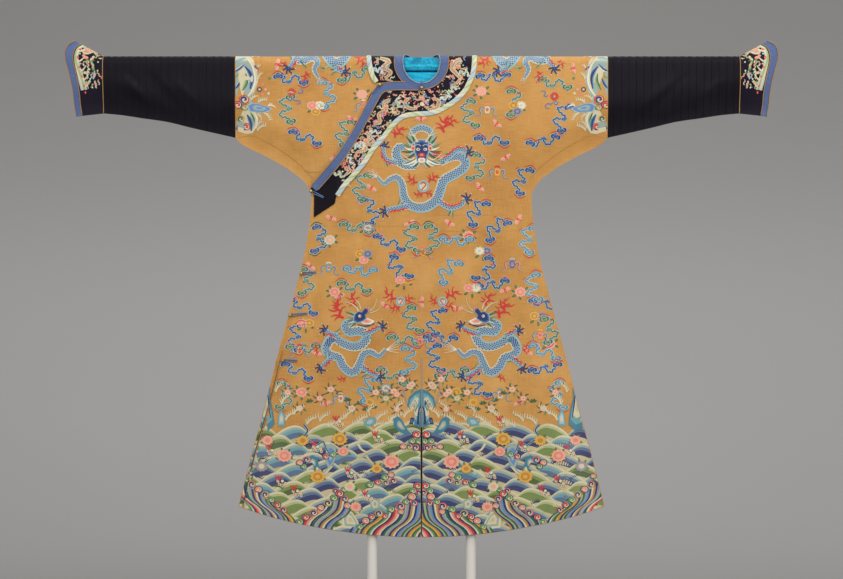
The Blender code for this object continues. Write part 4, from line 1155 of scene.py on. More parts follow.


# The lining at the neck
# Bright turquoise satin seen through the neck, slack and wrinkled where it hangs below the bar. Its colours
# are the lining's turquoise a step brighter, a painted light against the shade it hangs in.
LINING_HALF_WIDTH = 0.098
LINING_TOP = 0.046
LINING_BOTTOM = 0.140
LINING_BELLY = 0.030
WRINKLES = (
    (-0.060, 0.058, 0.050, 0.078, 0.0045, 0.0007),
    (-0.030, 0.050, 0.064, 0.066, 0.0035, 0.0006),
    (-0.070, 0.090, 0.020, 0.072, 0.0040, -0.0006),
    (0.002, 0.046, 0.004, 0.140, 0.0016, -0.0006),
    (0.020, 0.100, 0.080, 0.084, 0.0045, 0.0006),
)
# Painted light: the lining's turquoise a step brighter, to stand against the shade below the bar.
lining_satin_painted_light = silk(
    "lining_satin_painted_light", (TURQUOISE, TURQUOISE_LIGHT, TURQUOISE_PAINTED_LIGHT), 0.36, 0.0006, 0.0, 0.8, 0.3, 0.15
)
x, run = np.meshgrid(
    np.linspace(-LINING_HALF_WIDTH, LINING_HALF_WIDTH, 90), -run_at(
        np.linspace(LINING_TOP, LINING_BOTTOM, 44)
    )
)
depth = depth_at(run)
belly = ease((depth - 0.041) / 0.010) * (1.0 - ease((depth - 0.075) / 0.055))
slack = -0.0004 + fold_height(WRINKLES, x, depth) * 1.1 - LINING_BELLY * belly
low = slack - CLOTH - GAP
neck_lining = cloth_piece("neck_lining_cloth", "back", x, run, (lining_satin_painted_light,), low - FACING, low - 0.0004)
on_root(neck_lining, "turquoise_lining", "neck_lining")


# The embroidery
# Floss silk and couched cord worked on the gold before it was made up: each motif is satin stitch laid in
# bands of colour. The pattern is drawn on the flat cloth, in steps of 3 mm from the photograph's left and
# top edges.
PATTERN_STEP = 0.003
PATTERN_CENTRE = 421.5
PATTERN_SHOULDER = 56.5
STITCH_LIFT = 0.00045
LAYER_LIFT = 0.00011
THREADS = {
    "navy": (0.016, 0.028, 0.110),
    "ink": (0.010, 0.012, 0.030),
    "blue": (0.046, 0.118, 0.285),
    "sky": (0.110, 0.215, 0.400),
    "pale_blue": (0.310, 0.410, 0.420),
    "cream": (0.560, 0.495, 0.310),
    "white": (0.680, 0.620, 0.470),
    "leaf": (0.026, 0.100, 0.048),
    "green": (0.085, 0.225, 0.085),
    "pale_green": (0.290, 0.365, 0.170),
    "teal": (0.045, 0.170, 0.230),
    "sea": (0.130, 0.290, 0.300),
    "red": (0.540, 0.026, 0.026),
    "coral": (0.700, 0.200, 0.140),
    "pink": (0.690, 0.330, 0.225),
    "yellow": (0.640, 0.325, 0.045),
    "ochre": (0.420, 0.205, 0.035),
    "tan": (0.500, 0.255, 0.140),
    "lilac": (0.280, 0.240, 0.260),
    "slate": (0.085, 0.120, 0.220),
    "deep_sea": (0.036, 0.042, 0.115),
    "haze": (0.098, 0.140, 0.220),
    "mist": (0.270, 0.340, 0.290),
    "moss": (0.070, 0.110, 0.036),
    "olive": (0.165, 0.220, 0.062),
    "straw": (0.380, 0.390, 0.180),
    "sand": (0.480, 0.400, 0.225),
    "seam": (0.400, 0.190, 0.042),
}
worked = {"body": [], "collar": [], "cuff_left": [], "cuff_right": []}
ground = "body"


def on_cloth(points):
    """Pattern points as x and run."""
    spots = np.array(points, dtype=float)
    x = (spots[..., 0] - PATTERN_CENTRE) * PATTERN_STEP
    return np.stack([x, run_at((spots[..., 1] - PATTERN_SHOULDER) * PATTERN_STEP)], axis=-1)


def lay(points, layer, colours, rising=0.4):
    """One grid of stitching. Points are rows by columns on the pattern, colours are one name for each
    column of quads. Each layer lies higher than the last. Within a layer each grid has a small step of its
    own, and it rises a little along its rows, so that no two lie at the same height where they cross."""
    rows, columns = points.shape[:2]
    tones = np.array([THREADS[name] for name in colours])
    corners = (slice(None, -1), slice(None, -1)), (slice(1, None), slice(None, -1))
    corners += (slice(1, None), slice(1, None)), (slice(None, -1), slice(1, None))
    quads = np.stack([points[down, over] for down, over in corners], axis=2).reshape(-1, 4, 2)
    step = 0.55 * math.modf(len(worked[ground]) * 0.618)[0]
    level = STITCH_LIFT + LAYER_LIFT * (layer + step + rising * np.linspace(0.0, 1.0, rows))
    level = np.broadcast_to(level[:, None], (rows, columns))
    levels = np.stack([level[down, over] for down, over in corners], axis=2).reshape(-1, 4)
    along = np.append(0.0, np.cumsum(np.linalg.norm(np.diff(points[:, columns // 2], axis=0), axis=1)))
    across = np.linspace(0.0, 3.0, columns)
    map_grid = np.stack(np.broadcast_arrays(along[:, None], across[None, :]), axis=-1) * PATTERN_STEP
    maps = np.stack([map_grid[down, over] for down, over in corners], axis=2).reshape(-1, 4, 2)
    worked[ground].append((quads, levels, maps, np.tile(tones, (rows - 1, 1))))


def band(path, edges, colours, layer, taper=(1.0, 1.0), step=1.1):
    """Parallel bands along a path. Edges are their distances to one side of it, scaled along the path by
    taper."""
    line = smooth_line(path, step)
    share = np.linspace(0.0, 1.0, len(line))
    scale = np.interp(share, np.linspace(0.0, 1.0, len(taper)), taper)
    offsets = np.array(edges, dtype=float)[None, :] * scale[:, None]
    lay(line[:, None, :] + sideways(line)[:, None, :] * offsets[..., None], layer, colours)


def stroke(path, width, colour, layer, taper=(1.0, 1.0), step=1.1):
    """One band along the middle of a path."""
    band(path, (-width / 2, width / 2), (colour,), layer, taper, step)


def patch(outline, colours, layer, scales=None):
    """A filled shape of rings that shrink towards its middle, one colour to a ring from the outside in."""
    shape = np.array(outline, dtype=float)
    shape = np.vstack([shape, shape[:1]])
    middle = shape[:-1].mean(axis=0)
    scale = np.linspace(1.0, 0.0, len(colours) + 1) if scales is None else np.array(scales)
    points = middle + (shape[:, None, :] - middle) * scale[None, :, None]
    lay(points, layer, colours, 0.0)


def spot(points, at, turn=0.0, size=1.0, mirror=False):
    """A motif's own points set at a place on the pattern, turned in degrees and scaled."""
    local = np.array(points, dtype=float) * size
    if mirror:
        local = local * (-1.0, 1.0)
    angle = math.radians(turn)
    spin = np.array([[math.cos(angle), math.sin(angle)], [-math.sin(angle), math.cos(angle)]])
    return local @ spin + at


def unturned(points):
    """Pattern points as they are."""
    return np.array(points, dtype=float)


def mirrored(points):
    """Pattern points on the other side of the centre seam."""
    return np.array(points, dtype=float) * (-1.0, 1.0) + (2 * PATTERN_CENTRE, 0.0)


def turned_as(at, turn):
    """A motif's turn in degrees, on the side of the seam that at gives."""
    return 180 - turn if at is mirrored else turn


def round_shape(radius, lobes=0, depth=0.0, squash=1.0, count=24):
    """Outline of a circle or a lobed flower about the origin."""
    angle = np.linspace(0.0, 2 * math.pi, count, endpoint=False)
    reach_out = radius * (1.0 + depth * np.cos(lobes * angle))
    return np.stack([reach_out * np.cos(angle), reach_out * np.sin(angle) * squash], axis=1)


LEAF = ((0.0, 0.0), (0.9, -0.75), (2.2, -0.85), (3.4, 0.0), (2.2, 0.7), (0.9, 0.65))


def leaf(at, turn, size, colours, layer):
    """A pointed leaf from its stalk end."""
    patch(spot(LEAF, at, turn, size), colours, layer)


def blossom(at, radius, colours, layer, lobes=9, squash=0.85, turn=0.0):
    """A many-petalled flower seen from the front."""
    patch(spot(round_shape(radius, lobes, 0.10, squash, lobes * 4), at, turn), colours, layer)


def bat(at, turn, layer, size=1.0, tones=("pink", "pink"), body="red"):
    """A bat seen from above: two scalloped wings, a dark body and a pale edge."""
    wing = (
        (0.0, 0.8), (0.4, -1.6), (2.2, -3.0), (4.8, -2.6), (5.8, 0.4), (4.4, -0.5), (3.8, 1.2), (2.5, 0.3),
        (1.3, 1.9)
    )
    for flip in (False, True):
        patch(
            spot(wing, at, turn, size, flip), (tones[0], tones[1], "coral"), layer, (1.0, 0.75, 0.25, 0.0)
        )
    patch(spot(round_shape(1.25, count=10, squash=1.5), at, turn, size), (body, "coral"), layer + 1)
    for side in (-0.6, 0.6):
        stroke(
            spot(((side, -1.4), (side * 2.0, -3.0)), at, turn, size), 0.7 * size, body, layer + 1,
            (1.0, 0.4)
        )


def curl(at, radius, colours, layer, turn=0.0):
    """A rolled cloud head: a coloured roll between cream edges, curling in on itself round a heart, and
    open below."""
    angle = np.linspace(0.0, 2 * math.pi, 20, endpoint=False)
    notch = 1.0 - 0.24 * np.exp(-(((angle - 1.75) / 0.35) ** 2))
    outline = np.stack([np.cos(angle), np.sin(angle) * 0.86], axis=1) * (radius * notch)[:, None]
    patch(spot(outline, at, turn), (colours[0], "cream"), layer, (1.0, 0.78, 0.0))
    around = np.linspace(2.1, 6.6, 9)
    reach_out = radius * np.linspace(0.60, 0.40, 9)
    roll = np.stack([np.cos(around) * reach_out, np.sin(around) * reach_out * 0.86], axis=1)
    roll = np.vstack([roll, ((radius * 0.02, radius * 0.12),)])
    stroke(spot(roll, at, turn), radius * 0.40, colours[2], layer + 1, (0.7, 1.0, 1.0, 0.6), step=0.7)
    stroke(
        spot(((-radius * 0.5, radius * 0.5), (0.0, radius * 0.62)), at, turn), radius * 0.3, colours[3],
        layer + 1
    )


HEAD_SHAPE = (
    (-5.0, 1.0), (-5.2, -1.0), (-3.8, -2.5), (-2.0, -2.4), (-1.4, -3.9), (0.0, -4.5), (1.4, -3.9),
    (2.0, -2.4), (3.8, -2.5), (5.2, -1.0), (5.0, 1.0), (3.2, 1.9), (1.2, 0.9), (-1.2, 0.9), (-3.2, 1.9),
)


def cloud_head(at, turn, family, accent, layer, size=1.0):
    """The triple head at a cloud's end: two rolled lobes and a middle one, edged pale, under a coloured
    cap."""
    dark, middle = family
    patch(
        spot(HEAD_SHAPE, at, turn, size), ("pale_blue", dark, middle, dark), layer,
        (1.0, 0.86, 0.58, 0.24, 0.0)
    )
    for side in (-1.0, 1.0):
        roll = [(side * x, y) for x, y in ((0.7, 0.3), (1.5, -1.0), (3.1, -1.2), (3.7, 0.0), (2.6, 0.5))]
        stroke(spot(roll, at, turn, size), 0.5 * size, dark, layer + 1, step=0.8)
    cap = ((-5.6, -2.4), (-3.4, -3.9), (-1.7, -4.8), (0.0, -5.3), (1.7, -4.8), (3.4, -3.9), (5.6, -2.4))
    stroke(spot(cap, at, turn, size), 0.95 * size, accent, layer + 1, (0.4, 1.0, 0.4))


CLOUD_PATHS = (
    (
        (-12.0, -4.0), (-8.0, -6.5), (-5.5, -3.0), (-8.5, 0.5), (-4.0, 2.5), (0.5, 0.5), (3.5, -3.0),
        (8.0, -1.5), (8.5, 2.5), (12.5, 4.5)
    ),
    (
        (5.0, -12.0), (-1.0, -10.5), (-5.5, -7.5), (-1.5, -4.5), (4.0, -2.5), (2.5, 1.0), (-4.0, 2.5),
        (-5.0, 6.5), (1.0, 8.0), (5.5, 11.0)
    ),
    (
        (-13.0, -1.5), (-9.5, 1.5), (-5.5, 0.0), (-4.0, -4.0), (0.5, -4.5), (1.5, -0.5), (5.5, 1.5),
        (9.0, -1.5), (12.5, -5.0)
    ),
    (
        (-7.0, -11.0), (-1.5, -11.5), (3.0, -8.0), (-1.5, -5.0), (-5.0, -2.0), (-0.5, 1.0), (5.0, 2.0),
        (4.5, 6.5), (-1.0, 8.0), (-5.0, 11.5)
    ),
)
CLOUD_TONES = {
    "b": ("navy", "sky"),
    "t": ("teal", "pale_blue"),
    "g": ("leaf", "pale_green"),
    "s": ("blue", "pale_blue"),
}


def cloud(x, y, shape, turn, tone, accent="red", layer=1, size=1.0):
    """A drifting cloud: a rippled, winding tail of dark cord between pale edges, with a head at each end
    and one on the way."""
    family = CLOUD_TONES[tone]
    line = smooth_line(spot(CLOUD_PATHS[shape], (x, y), turn, size), 0.55)
    line = line + sideways(line) * (0.6 * np.sin(np.arange(len(line)) * 0.55 * 2 * math.pi / 4.2))[:, None]
    band(
        line, (-1.35, -0.75, 0.3, 0.8, 1.35), ("pale_blue", family[0], family[1], "pale_blue"), layer,
        step=0.7
    )
    tilt = 12.0 * math.sin(x * 1.3 + y)
    for place, accent_tone in ((0, accent), (-1, accent), (len(line) // 2, "pale_blue")):
        upright = 0.0 if line[place][1] <= y + 1.0 else 180.0
        scale = 1.1 if place in (0, -1) else 0.62
        cloud_head(line[place], upright + tilt, family, accent_tone, layer + 1, scale * size)
    bend = line[len(line) // 4]
    stroke(
        spot(((-3.4, -2.0), (-1.6, -3.4), (0.8, -3.2)), bend, tilt, size), 1.0, accent, layer + 1,
        (0.5, 1.0, 0.6)
    )


# Clouds: place, shape, turn, family, cap
CLOUDS = (
    (291, 80, 0, -8, "b", "red"), (330, 95, 3, 0, "t", "red"), (355, 78, 2, -15, "g", "red"),
    (286, 110, 1, 0, "g", "yellow"), (305, 138, 0, 4, "b", "red"), (343, 133, 1, 20, "g", "coral"),
    (493, 80, 2, 5, "b", "red"), (554, 84, 0, -5, "g", "yellow"), (517, 104, 3, 5, "g", "red"),
    (560, 118, 1, 20, "b", "coral"), (468, 115, 1, -10, "g", "coral"), (491, 141, 0, -12, "b", "red"),
    (543, 144, 2, -8, "b", "red"), (479, 169, 3, 20, "g", "coral"), (520, 180, 1, 25, "b", "red"),
    (475, 212, 1, 35, "b", "red"), (360, 187, 1, 15, "g", "coral"), (373, 211, 3, -10, "b", "lilac"),
    (356, 228, 0, -6, "g", "red"), (495, 228, 1, 50, "b", "red"), (322, 240, 3, 10, "b", "leaf"),
    (526, 240, 1, 10, "t", "red"), (389, 243, 0, 6, "b", "coral"), (411, 240, 1, -8, "g", "red"),
    (434, 239, 3, 8, "g", "leaf"), (456, 243, 2, 8, "t", "red"), (398, 270, 1, -40, "b", "red"),
    (360, 273, 2, 10, "t", "coral"), (354, 287, 0, -4, "g", "red"), (447, 270, 1, 42, "t", "coral"),
    (487, 272, 3, 40, "b", "red"), (492, 287, 2, -4, "b", "coral"), (309, 282, 3, 8, "g", "red"),
    (532, 288, 1, -5, "t", "red"), (302, 306, 0, 10, "b", "coral"), (545, 306, 2, 14, "b", "red"),
    (411, 321, 1, -20, "g", "red"), (434, 321, 1, 20, "b", "coral"), (404, 340, 0, -8, "g", "red"),
    (440, 341, 2, 8, "b", "red"), (411, 361, 3, 8, "t", "red"), (434, 359, 1, -8, "b", "coral"),
    (295, 337, 1, 8, "b", "red"), (552, 330, 3, -5, "g", "red"), (297, 371, 0, 10, "b", "red"),
    (303, 350, 2, 4, "g", "coral"), (545, 371, 2, -5, "b", "red"), (544, 352, 0, 8, "t", "red"),
    (366, 388, 1, 30, "t", "red"), (477, 386, 1, -30, "b", "red"), (392, 376, 0, 10, "g", "coral"),
    (452, 376, 2, -6, "g", "coral"), (287, 396, 3, 8, "g", "red"), (556, 396, 1, -8, "t", "red"),
)
# Bats: place, turn
BATS = (
    (277, 65, 100), (352, 120, 20), (335, 157, 160), (572, 69, 80), (496, 125, 40), (506, 159, -30),
    (479, 188, 50), (371, 189, 30), (331, 219, 20), (410, 224, -30), (310, 267, 40), (340, 297, -20),
    (385, 306, 30), (421, 302, 90), (317, 354, 20), (326, 404, -15), (449, 224, 30), (519, 220, -60),
    (546, 263, 30), (505, 291, -20), (457, 309, 10), (527, 352, 40), (519, 403, -30), (421, 120, 0),
    (372, 132, 60), (545, 208, 10),
)


def sprig(at, petals, layer, spread=1.0):
    """Two or three blossoms with leaves round them."""
    for turn, reach_out in ((20, 7.0), (150, 8.0), (230, 6.4), (330, 7.6), (90, 5.6), (190, 7.0)):
        angle = math.radians(turn)
        root = (
            at[0] + reach_out * spread * math.cos(angle) * 0.6,
            at[1] + reach_out * spread * math.sin(angle) * 0.6
        )
        leaf(root, turn, 1.45, ("leaf", "green"), layer)
    for number, (outer, inner) in enumerate(petals):
        angle = math.radians(210 + 120 * number)
        reach_out = 0.0 if len(petals) == 1 else 4.4
        middle = (at[0] + reach_out * math.cos(angle), at[1] + reach_out * math.sin(angle) * 0.9)
        blossom(middle, 5.6 if len(petals) == 1 else 5.0, (outer, inner, outer), layer + 1)


def ribbon_knot(at, layer, mirror=False):
    """The endless knot in red cord, with a ring and two fluttering ribbons."""
    for number in range(4):
        offset = (number - 1.5) * 1.9
        for flip in (1.0, -1.0):
            run_out = 4.6 - abs(offset) * 0.45
            ends = ((-run_out, offset), (run_out, offset))
            stroke(spot(ends, at, 45.0 * flip), 0.95, "red", layer + (flip > 0.0), step=2.0)
    patch(spot(round_shape(1.0, count=8), at), ("pale_blue",), layer + 2)
    side = -1.0 if mirror else 1.0
    for start, path in (
        ((6.0, -1.0), ((0.0, 0.0), (2.4, 1.6), (4.6, 0.2), (3.2, -2.6), (5.2, -4.4), (7.8, -3.4))),
        ((2.0, 7.0), ((-1.0, -1.0), (1.6, 1.2), (4.6, 0.6), (7.0, 2.6), (5.6, 4.6), (3.0, 4.6))),
    ):
        points = [(side * (start[0] + x), start[1] + y) for x, y in path]
        band(spot(points, at), (-0.9, 0.0, 0.7), ("slate", "lilac"), layer, (0.6, 1.0, 0.8, 0.5), step=0.8)
    patch(spot(round_shape(1.9, count=10), (at[0] - side * 1.5, at[1] + 6.6)), ("blue", "pale_blue"), layer)


def treasure(at, tones, layer, turn=0.0, size=1.35):
    """A small auspicious object with a tied ribbon: a body, a neck, a rim and two ribbon ends."""
    main, rim, tie = tones
    body = ((-2.2, 0.0), (-1.4, -2.4), (1.4, -2.4), (2.2, 0.0), (1.5, 3.0), (-1.5, 3.0))
    patch(spot(body, at, turn, size), (main, rim), layer)
    stroke(spot(((-2.0, -3.4), (0.0, -4.0), (2.0, -3.4)), at, turn, size), 1.2 * size, rim, layer + 1)
    for side in (-1.0, 1.0):
        ribbon = ((1.8, 0.4), (3.8, -1.4), (5.4, 0.4), (4.4, 3.0), (6.2, 5.0), (8.2, 4.2))
        path = [(side * x, y) for x, y in ribbon]
        band(
            spot(path, at, turn, size), (-0.7, 0.0, 0.7), (tie, "pale_blue"), layer, (1.0, 1.0, 0.5),
            step=0.8
        )
    patch(spot(round_shape(1.0, count=8), at, turn, size), ("red", "coral"), layer + 1)


FLAME_TRUNK = ((0.0, 0.0), (2.8, -1.4), (5.6, 0.4), (8.6, -1.2), (12.0, 0.6))
FLAME_FORKS = (
    ((1.6, -0.7), (2.6, -3.6), (1.8, -6.2)), ((4.2, -0.4), (6.2, 3.0), (5.6, 5.4)),
    ((6.6, -0.2), (7.6, -3.4), (10.4, -5.6)), ((8.8, -1.2), (11.0, 2.6), (13.4, 3.6)),
    ((2.2, -1.2), (4.6, -3.6), (5.4, -6.8)),
)


def flame(at, turn, layer, size=1.0, forks=5):
    """A licking flame: a winding red trunk with curved forks on both sides, all tapered."""
    stroke(spot(FLAME_TRUNK, at, turn, size), 1.7 * size, "red", layer, (1.0, 0.9, 0.4), step=0.9)
    for fork in FLAME_FORKS[:forks]:
        stroke(spot(fork, at, turn, size), 1.35 * size, "red", layer, (1.0, 0.8, 0.3), step=0.9)


def claw(at, turn, layer, size=1.0):
    """A five-toed foot: spread navy toes with white nails round a dark palm."""
    for number in range(5):
        angle = turn + (number - 2) * 52
        toe = spot(((0.4, 0.0), (2.6, 0.5), (5.6, -0.3)), at, angle, size)
        stroke(toe, 1.45 * size, "navy", layer + 1, (1.0, 0.6), step=0.9)
        nail = spot(((5.4, -0.2), (6.5, -0.9)), at, angle, size)
        stroke(nail, 0.75 * size, "white", layer + 2, (1.0, 0.3), step=0.9)
    patch(spot(round_shape(1.35, count=10), at, 0.0, size), ("navy", "blue"), layer + 2)


def dragon_body(path, widths, layer, back=1.0):
    """A scaled body: blue diamonds between pale lines, a pale toothed fin on its back and a green belly
    line."""
    line = smooth_line(path, 1.0)
    share = np.linspace(0.0, 1.0, len(line))
    width = np.interp(share, np.linspace(0.0, 1.0, len(widths)), widths)
    aside = sideways(line) * back
    teeth = 1.1 * (1.0 - np.abs(np.mod(np.arange(len(line)) / 2.4, 1.0) * 2 - 1))

    def strip(low, high, colour, level, extra_low=0.0, extra_high=0.0):
        edges = np.linspace(
            low * width + extra_low, high * width + extra_high, 4 if high - low > 0.3 else 2, axis=1
        )
        lay(
            line[:, None, :] + aside[:, None, :] * edges[..., None], level, (colour,) * (edges.shape[1] - 1)
        )

    strip(0.42, 0.50, "cream", layer, 0.0, 0.4 + teeth)
    strip(-0.50, -0.38, "pale_blue", layer + 1, -0.3, 0.0)
    strip(-0.40, -0.30, "sea", layer + 1)
    strip(-0.31, 0.47, "pale_blue", layer + 1)
    pitch = 2.9
    total = len(line) - 1.0
    rows = max(3, int(round(width.max() * 0.78 / 1.35)))
    row = np.arange(rows)
    along = np.concatenate([np.arange(0.4 + pitch / 2 * (n % 2), total - 0.3, pitch) for n in row])
    number = np.concatenate(
        [np.full(len(np.arange(0.4 + pitch / 2 * (n % 2), total - 0.3, pitch)), n) for n in row]
    )
    here = np.interp(along, np.arange(len(line)), width)
    spacing = 0.76 * here / rows
    across = -0.29 * here + spacing * (number + 0.5)
    index = np.arange(len(line))

    def at(shift_along, shift_across):
        place = np.clip(along + shift_along, 0.0, total)
        point = np.stack([np.interp(place, index, line[:, 0]), np.interp(place, index, line[:, 1])], axis=1)
        out = np.stack([np.interp(place, index, aside[:, 0]), np.interp(place, index, aside[:, 1])], axis=1)
        return point + out * (across + spacing * shift_across)[:, None]

    scale_quads = np.stack([at(-1.0, 0.0), at(0.0, 0.74), at(1.0, 0.0), at(0.0, -0.74)], axis=1)
    middle = scale_quads.mean(axis=1, keepdims=True)
    for tone, share_kept, level in (("blue", 1.0, layer + 2.0), ("navy", 0.55, layer + 2.5)):
        quads = middle + (scale_quads - middle) * share_kept
        levels = np.full(quads.shape[:2], STITCH_LIFT + LAYER_LIFT * level)
        worked[ground].append(
            (quads, levels, quads * PATTERN_STEP, np.tile(THREADS[tone], (len(quads), 1)))
        )


def limb(path, width, foot_turn, layer, size=1.0):
    """A scaled leg with a tuft of hair and a red flame at the elbow, ending in its foot."""
    line = smooth_line(path, 1.0)
    elbow = line[len(line) // 2]
    for number, tone in enumerate(("pale_green", "leaf", "pale_blue", "green")):
        tuft = ((0.0, 0.0), (4.2, 2.2 - number), (9.6, 4.2 - 2.8 * number))
        stroke(spot(tuft, elbow, foot_turn + 155), 1.7, tone, layer, (1.0, 0.25))
    dragon_body(path, (width, width * 0.65), layer)
    edge = line[1:-2] + sideways(line)[1:-2] * (
        width * 0.42 + 0.5 * np.sin(np.arange(len(line) - 3) * 1.5)
    )[:, None]
    stroke(edge, 1.5, "red", layer + 3, (0.3, 1.0, 1.0, 0.4), step=0.8)
    claw(line[-1], foot_turn, layer + 1, size * 1.2)


def hairs(at, turn, count, length, tone, layer, fan=16.0, width=0.7):
    """A spray of long tapered hairs from one place."""
    for number in range(count):
        angle = turn + (number - (count - 1) / 2) * fan
        bow = 1.2 if number % 2 else -1.2
        reach_out = length * (1.0 - 0.12 * abs(number - (count - 1) / 2))
        hair = spot(((0.0, 0.0), (reach_out * 0.5, bow), (reach_out, -bow * 0.6)), at, angle)
        stroke(hair, width, tone, layer, (1.0, 0.25))


# The dragon on the chest faces forward, its body coiled behind the head round a flaming pearl.
CHEST = (421.7, 151.0)
CHEST_BODY = (
    ((405, 148), (399, 148), (396.5, 154), (399, 161), (406, 165.5), (416, 166.5)),
    ((440, 163), (450, 158), (459, 156.5), (465, 161), (464, 168), (455, 174.5), (444, 181), (440.5, 191)),
    (
        (440.6, 190), (436, 201), (424, 208), (411, 206), (404, 197), (402, 185), (397, 178), (390, 180),
        (384, 184), (377, 177)
    ),
    ((411, 141), (413, 132), (421.7, 128), (430.4, 132), (432.4, 141)),
)
dragon_body(CHEST_BODY[3], (5.0, 6.4, 5.0), 3, -1.0)
dragon_body(CHEST_BODY[0], (6.0, 8.5, 8.5, 6.0), 4, -1.0)
dragon_body(CHEST_BODY[1], (6.0, 8.5, 9.0, 9.0), 4, -1.0)
dragon_body(CHEST_BODY[2], (9.0, 9.5, 8.5, 7.0, 5.0, 2.0), 4, -1.0)
hairs((377, 177), 215, 6, 11.0, "white", 5, 14.0)
limb(((397, 163), (389, 161), (384, 155), (384, 146)), 5.0, -90, 6)
limb(((440, 163), (449, 157), (458, 150), (468, 152)), 5.4, 0, 6)
limb(((409, 206), (399, 208), (391, 209), (385, 212)), 5.4, 160, 6)
limb(((439, 202), (449, 208), (460, 206), (466, 199)), 5.4, -40, 6)


def on_face(points, side=1.0):
    """Points about the middle of the chest dragon's face, on either side of it."""
    return np.array(points, dtype=float) * (side, 1.0) + CHEST


for side in (1.0, -1.0):
    for number, tone in enumerate(
        ("leaf", "pale_blue", "leaf", "white", "green", "pale_blue", "leaf", "pale_green", "leaf")
    ):
        angle = math.radians(28.0 - 12.0 * number)
        reach_out = (19.0, 17.0, 20.0, 18.0, 20.0, 17.0, 19.0, 17.0, 18.0)[number]
        root = (6.0, 2.0 - 1.2 * number)
        tip = (root[0] + math.cos(angle) * (reach_out - 6.0), root[1] + math.sin(angle) * (reach_out - 6.0))
        bow = ((root[0] + tip[0]) / 2, (root[1] + tip[1]) / 2 + 1.4)
        stroke(on_face((root, bow, tip), side), 2.3, tone, 7, (1.0, 0.9, 0.15))
    for number, tone in enumerate(("pale_blue", "leaf", "white", "sea", "white", "leaf", "pale_blue")):
        tip = (
            (1.0 + number, 9.5), (3.6 + 2.6 * number, 15.6 - 0.5 * number),
            (5.0 + 3.6 * number, 17.6 - 1.1 * number)
        )
        stroke(on_face(tip, side), 2.3, tone, 7, (1.0, 0.35))
    stroke(
        on_face(((4.0, -8.5), (7.0, -13.5), (10.5, -19.0), (13.0, -24.0)), side), 2.0, "cream", 9,
        (1.0, 0.25)
    )
    stroke(on_face(((8.0, -14.5), (12.5, -16.5), (16.0, -17.5)), side), 1.3, "cream", 9, (1.0, 0.3))
    stroke(on_face(((6.5, 7.0), (11.5, 9.0), (16.0, 6.5), (20.0, 3.0)), side), 1.0, "white", 10, (1.0, 0.4))
    patch(on_face(round_shape(2.4, count=10) + (8.6, -2.2), side), ("pink", "red"), 9)
    patch(on_face(round_shape(2.0, count=10) + (8.2, -6.0), side), ("pale_blue", "red"), 9)
FACE = (
    (-7.0, -9.5), (-3.5, -11.5), (3.5, -11.5), (7.0, -9.5), (8.4, -3.5), (7.4, 2.5), (5.4, 6.5),
    (5.2, 11.0), (0.0, 13.0)
)
FACE += ((-5.2, 11.0), (-5.4, 6.5), (-7.4, 2.5), (-8.4, -3.5))
patch(on_face(FACE), ("pale_blue", "blue", "navy"), 8, (1.0, 0.90, 0.74, 0.0))
for side in (1.0, -1.0):
    patch(on_face(round_shape(1.9, count=12, squash=0.75) + (3.6, -1.2), side), ("white", "pale_blue"), 9)
    patch(on_face(round_shape(0.75, count=8) + (3.2, -1.2), side), ("ink",), 10)
    stroke(on_face(((1.0, -4.6), (3.8, -6.2), (7.2, -4.0)), side), 1.0, "pale_blue", 9, (1.0, 0.4))
    stroke(on_face(((2.0, -10.0), (2.4, -7.4)), side), 0.6, "sky", 9)
patch(
    on_face(((-3.6, 4.0), (-1.6, 2.4), (1.6, 2.4), (3.6, 4.0), (2.6, 6.2), (-2.6, 6.2))), ("red", "coral"),
    9
)
patch(
    on_face(((-3.8, 8.6), (-2.0, 7.2), (2.0, 7.2), (3.8, 8.6), (3.0, 11.4), (0.0, 12.2), (-3.0, 11.4))),
    ("white", "pink"), 9
)
patch(
    spot(round_shape(6.0, count=20), (423.3, 186.6)), ("pale_blue", "sea", "cream"), 8,
    (1.0, 0.84, 0.68, 0.0)
)
stroke(((420.9, 184.6), (423.3, 182.8), (425.8, 185.0), (423.6, 187.8), (421.4, 190.4)), 1.2, "red", 9)
for at, turn, size in (
    ((417.5, 182.5), -150, 0.95), ((429.0, 182.5), -38, 0.95), ((423.0, 193.0), 168, 0.75),
    ((423.6, 193.0), 12, 0.75), ((395.0, 138.0), -52, 1.15), ((444.0, 133.0), -78, 1.45),
    ((446.0, 126.0), -30, 1.0), ((433.0, 158.0), -40, 0.7),
):
    flame(at, turn, 7, size)

# The two dragons below it are seen from the side, turned to each other, each after a flaming pearl.
PROFILE_BODY = (
    ((352, 321), (345, 325), (349, 332), (359, 331), (367, 335), (362, 344), (352, 346), (341, 342)),
    ((334, 337), (328, 342), (326, 350), (331, 355), (339, 358), (343, 366), (350, 372), (357, 371)),
    ((356, 372), (360, 363), (364, 354), (371, 352), (379, 356), (386, 349)),
)


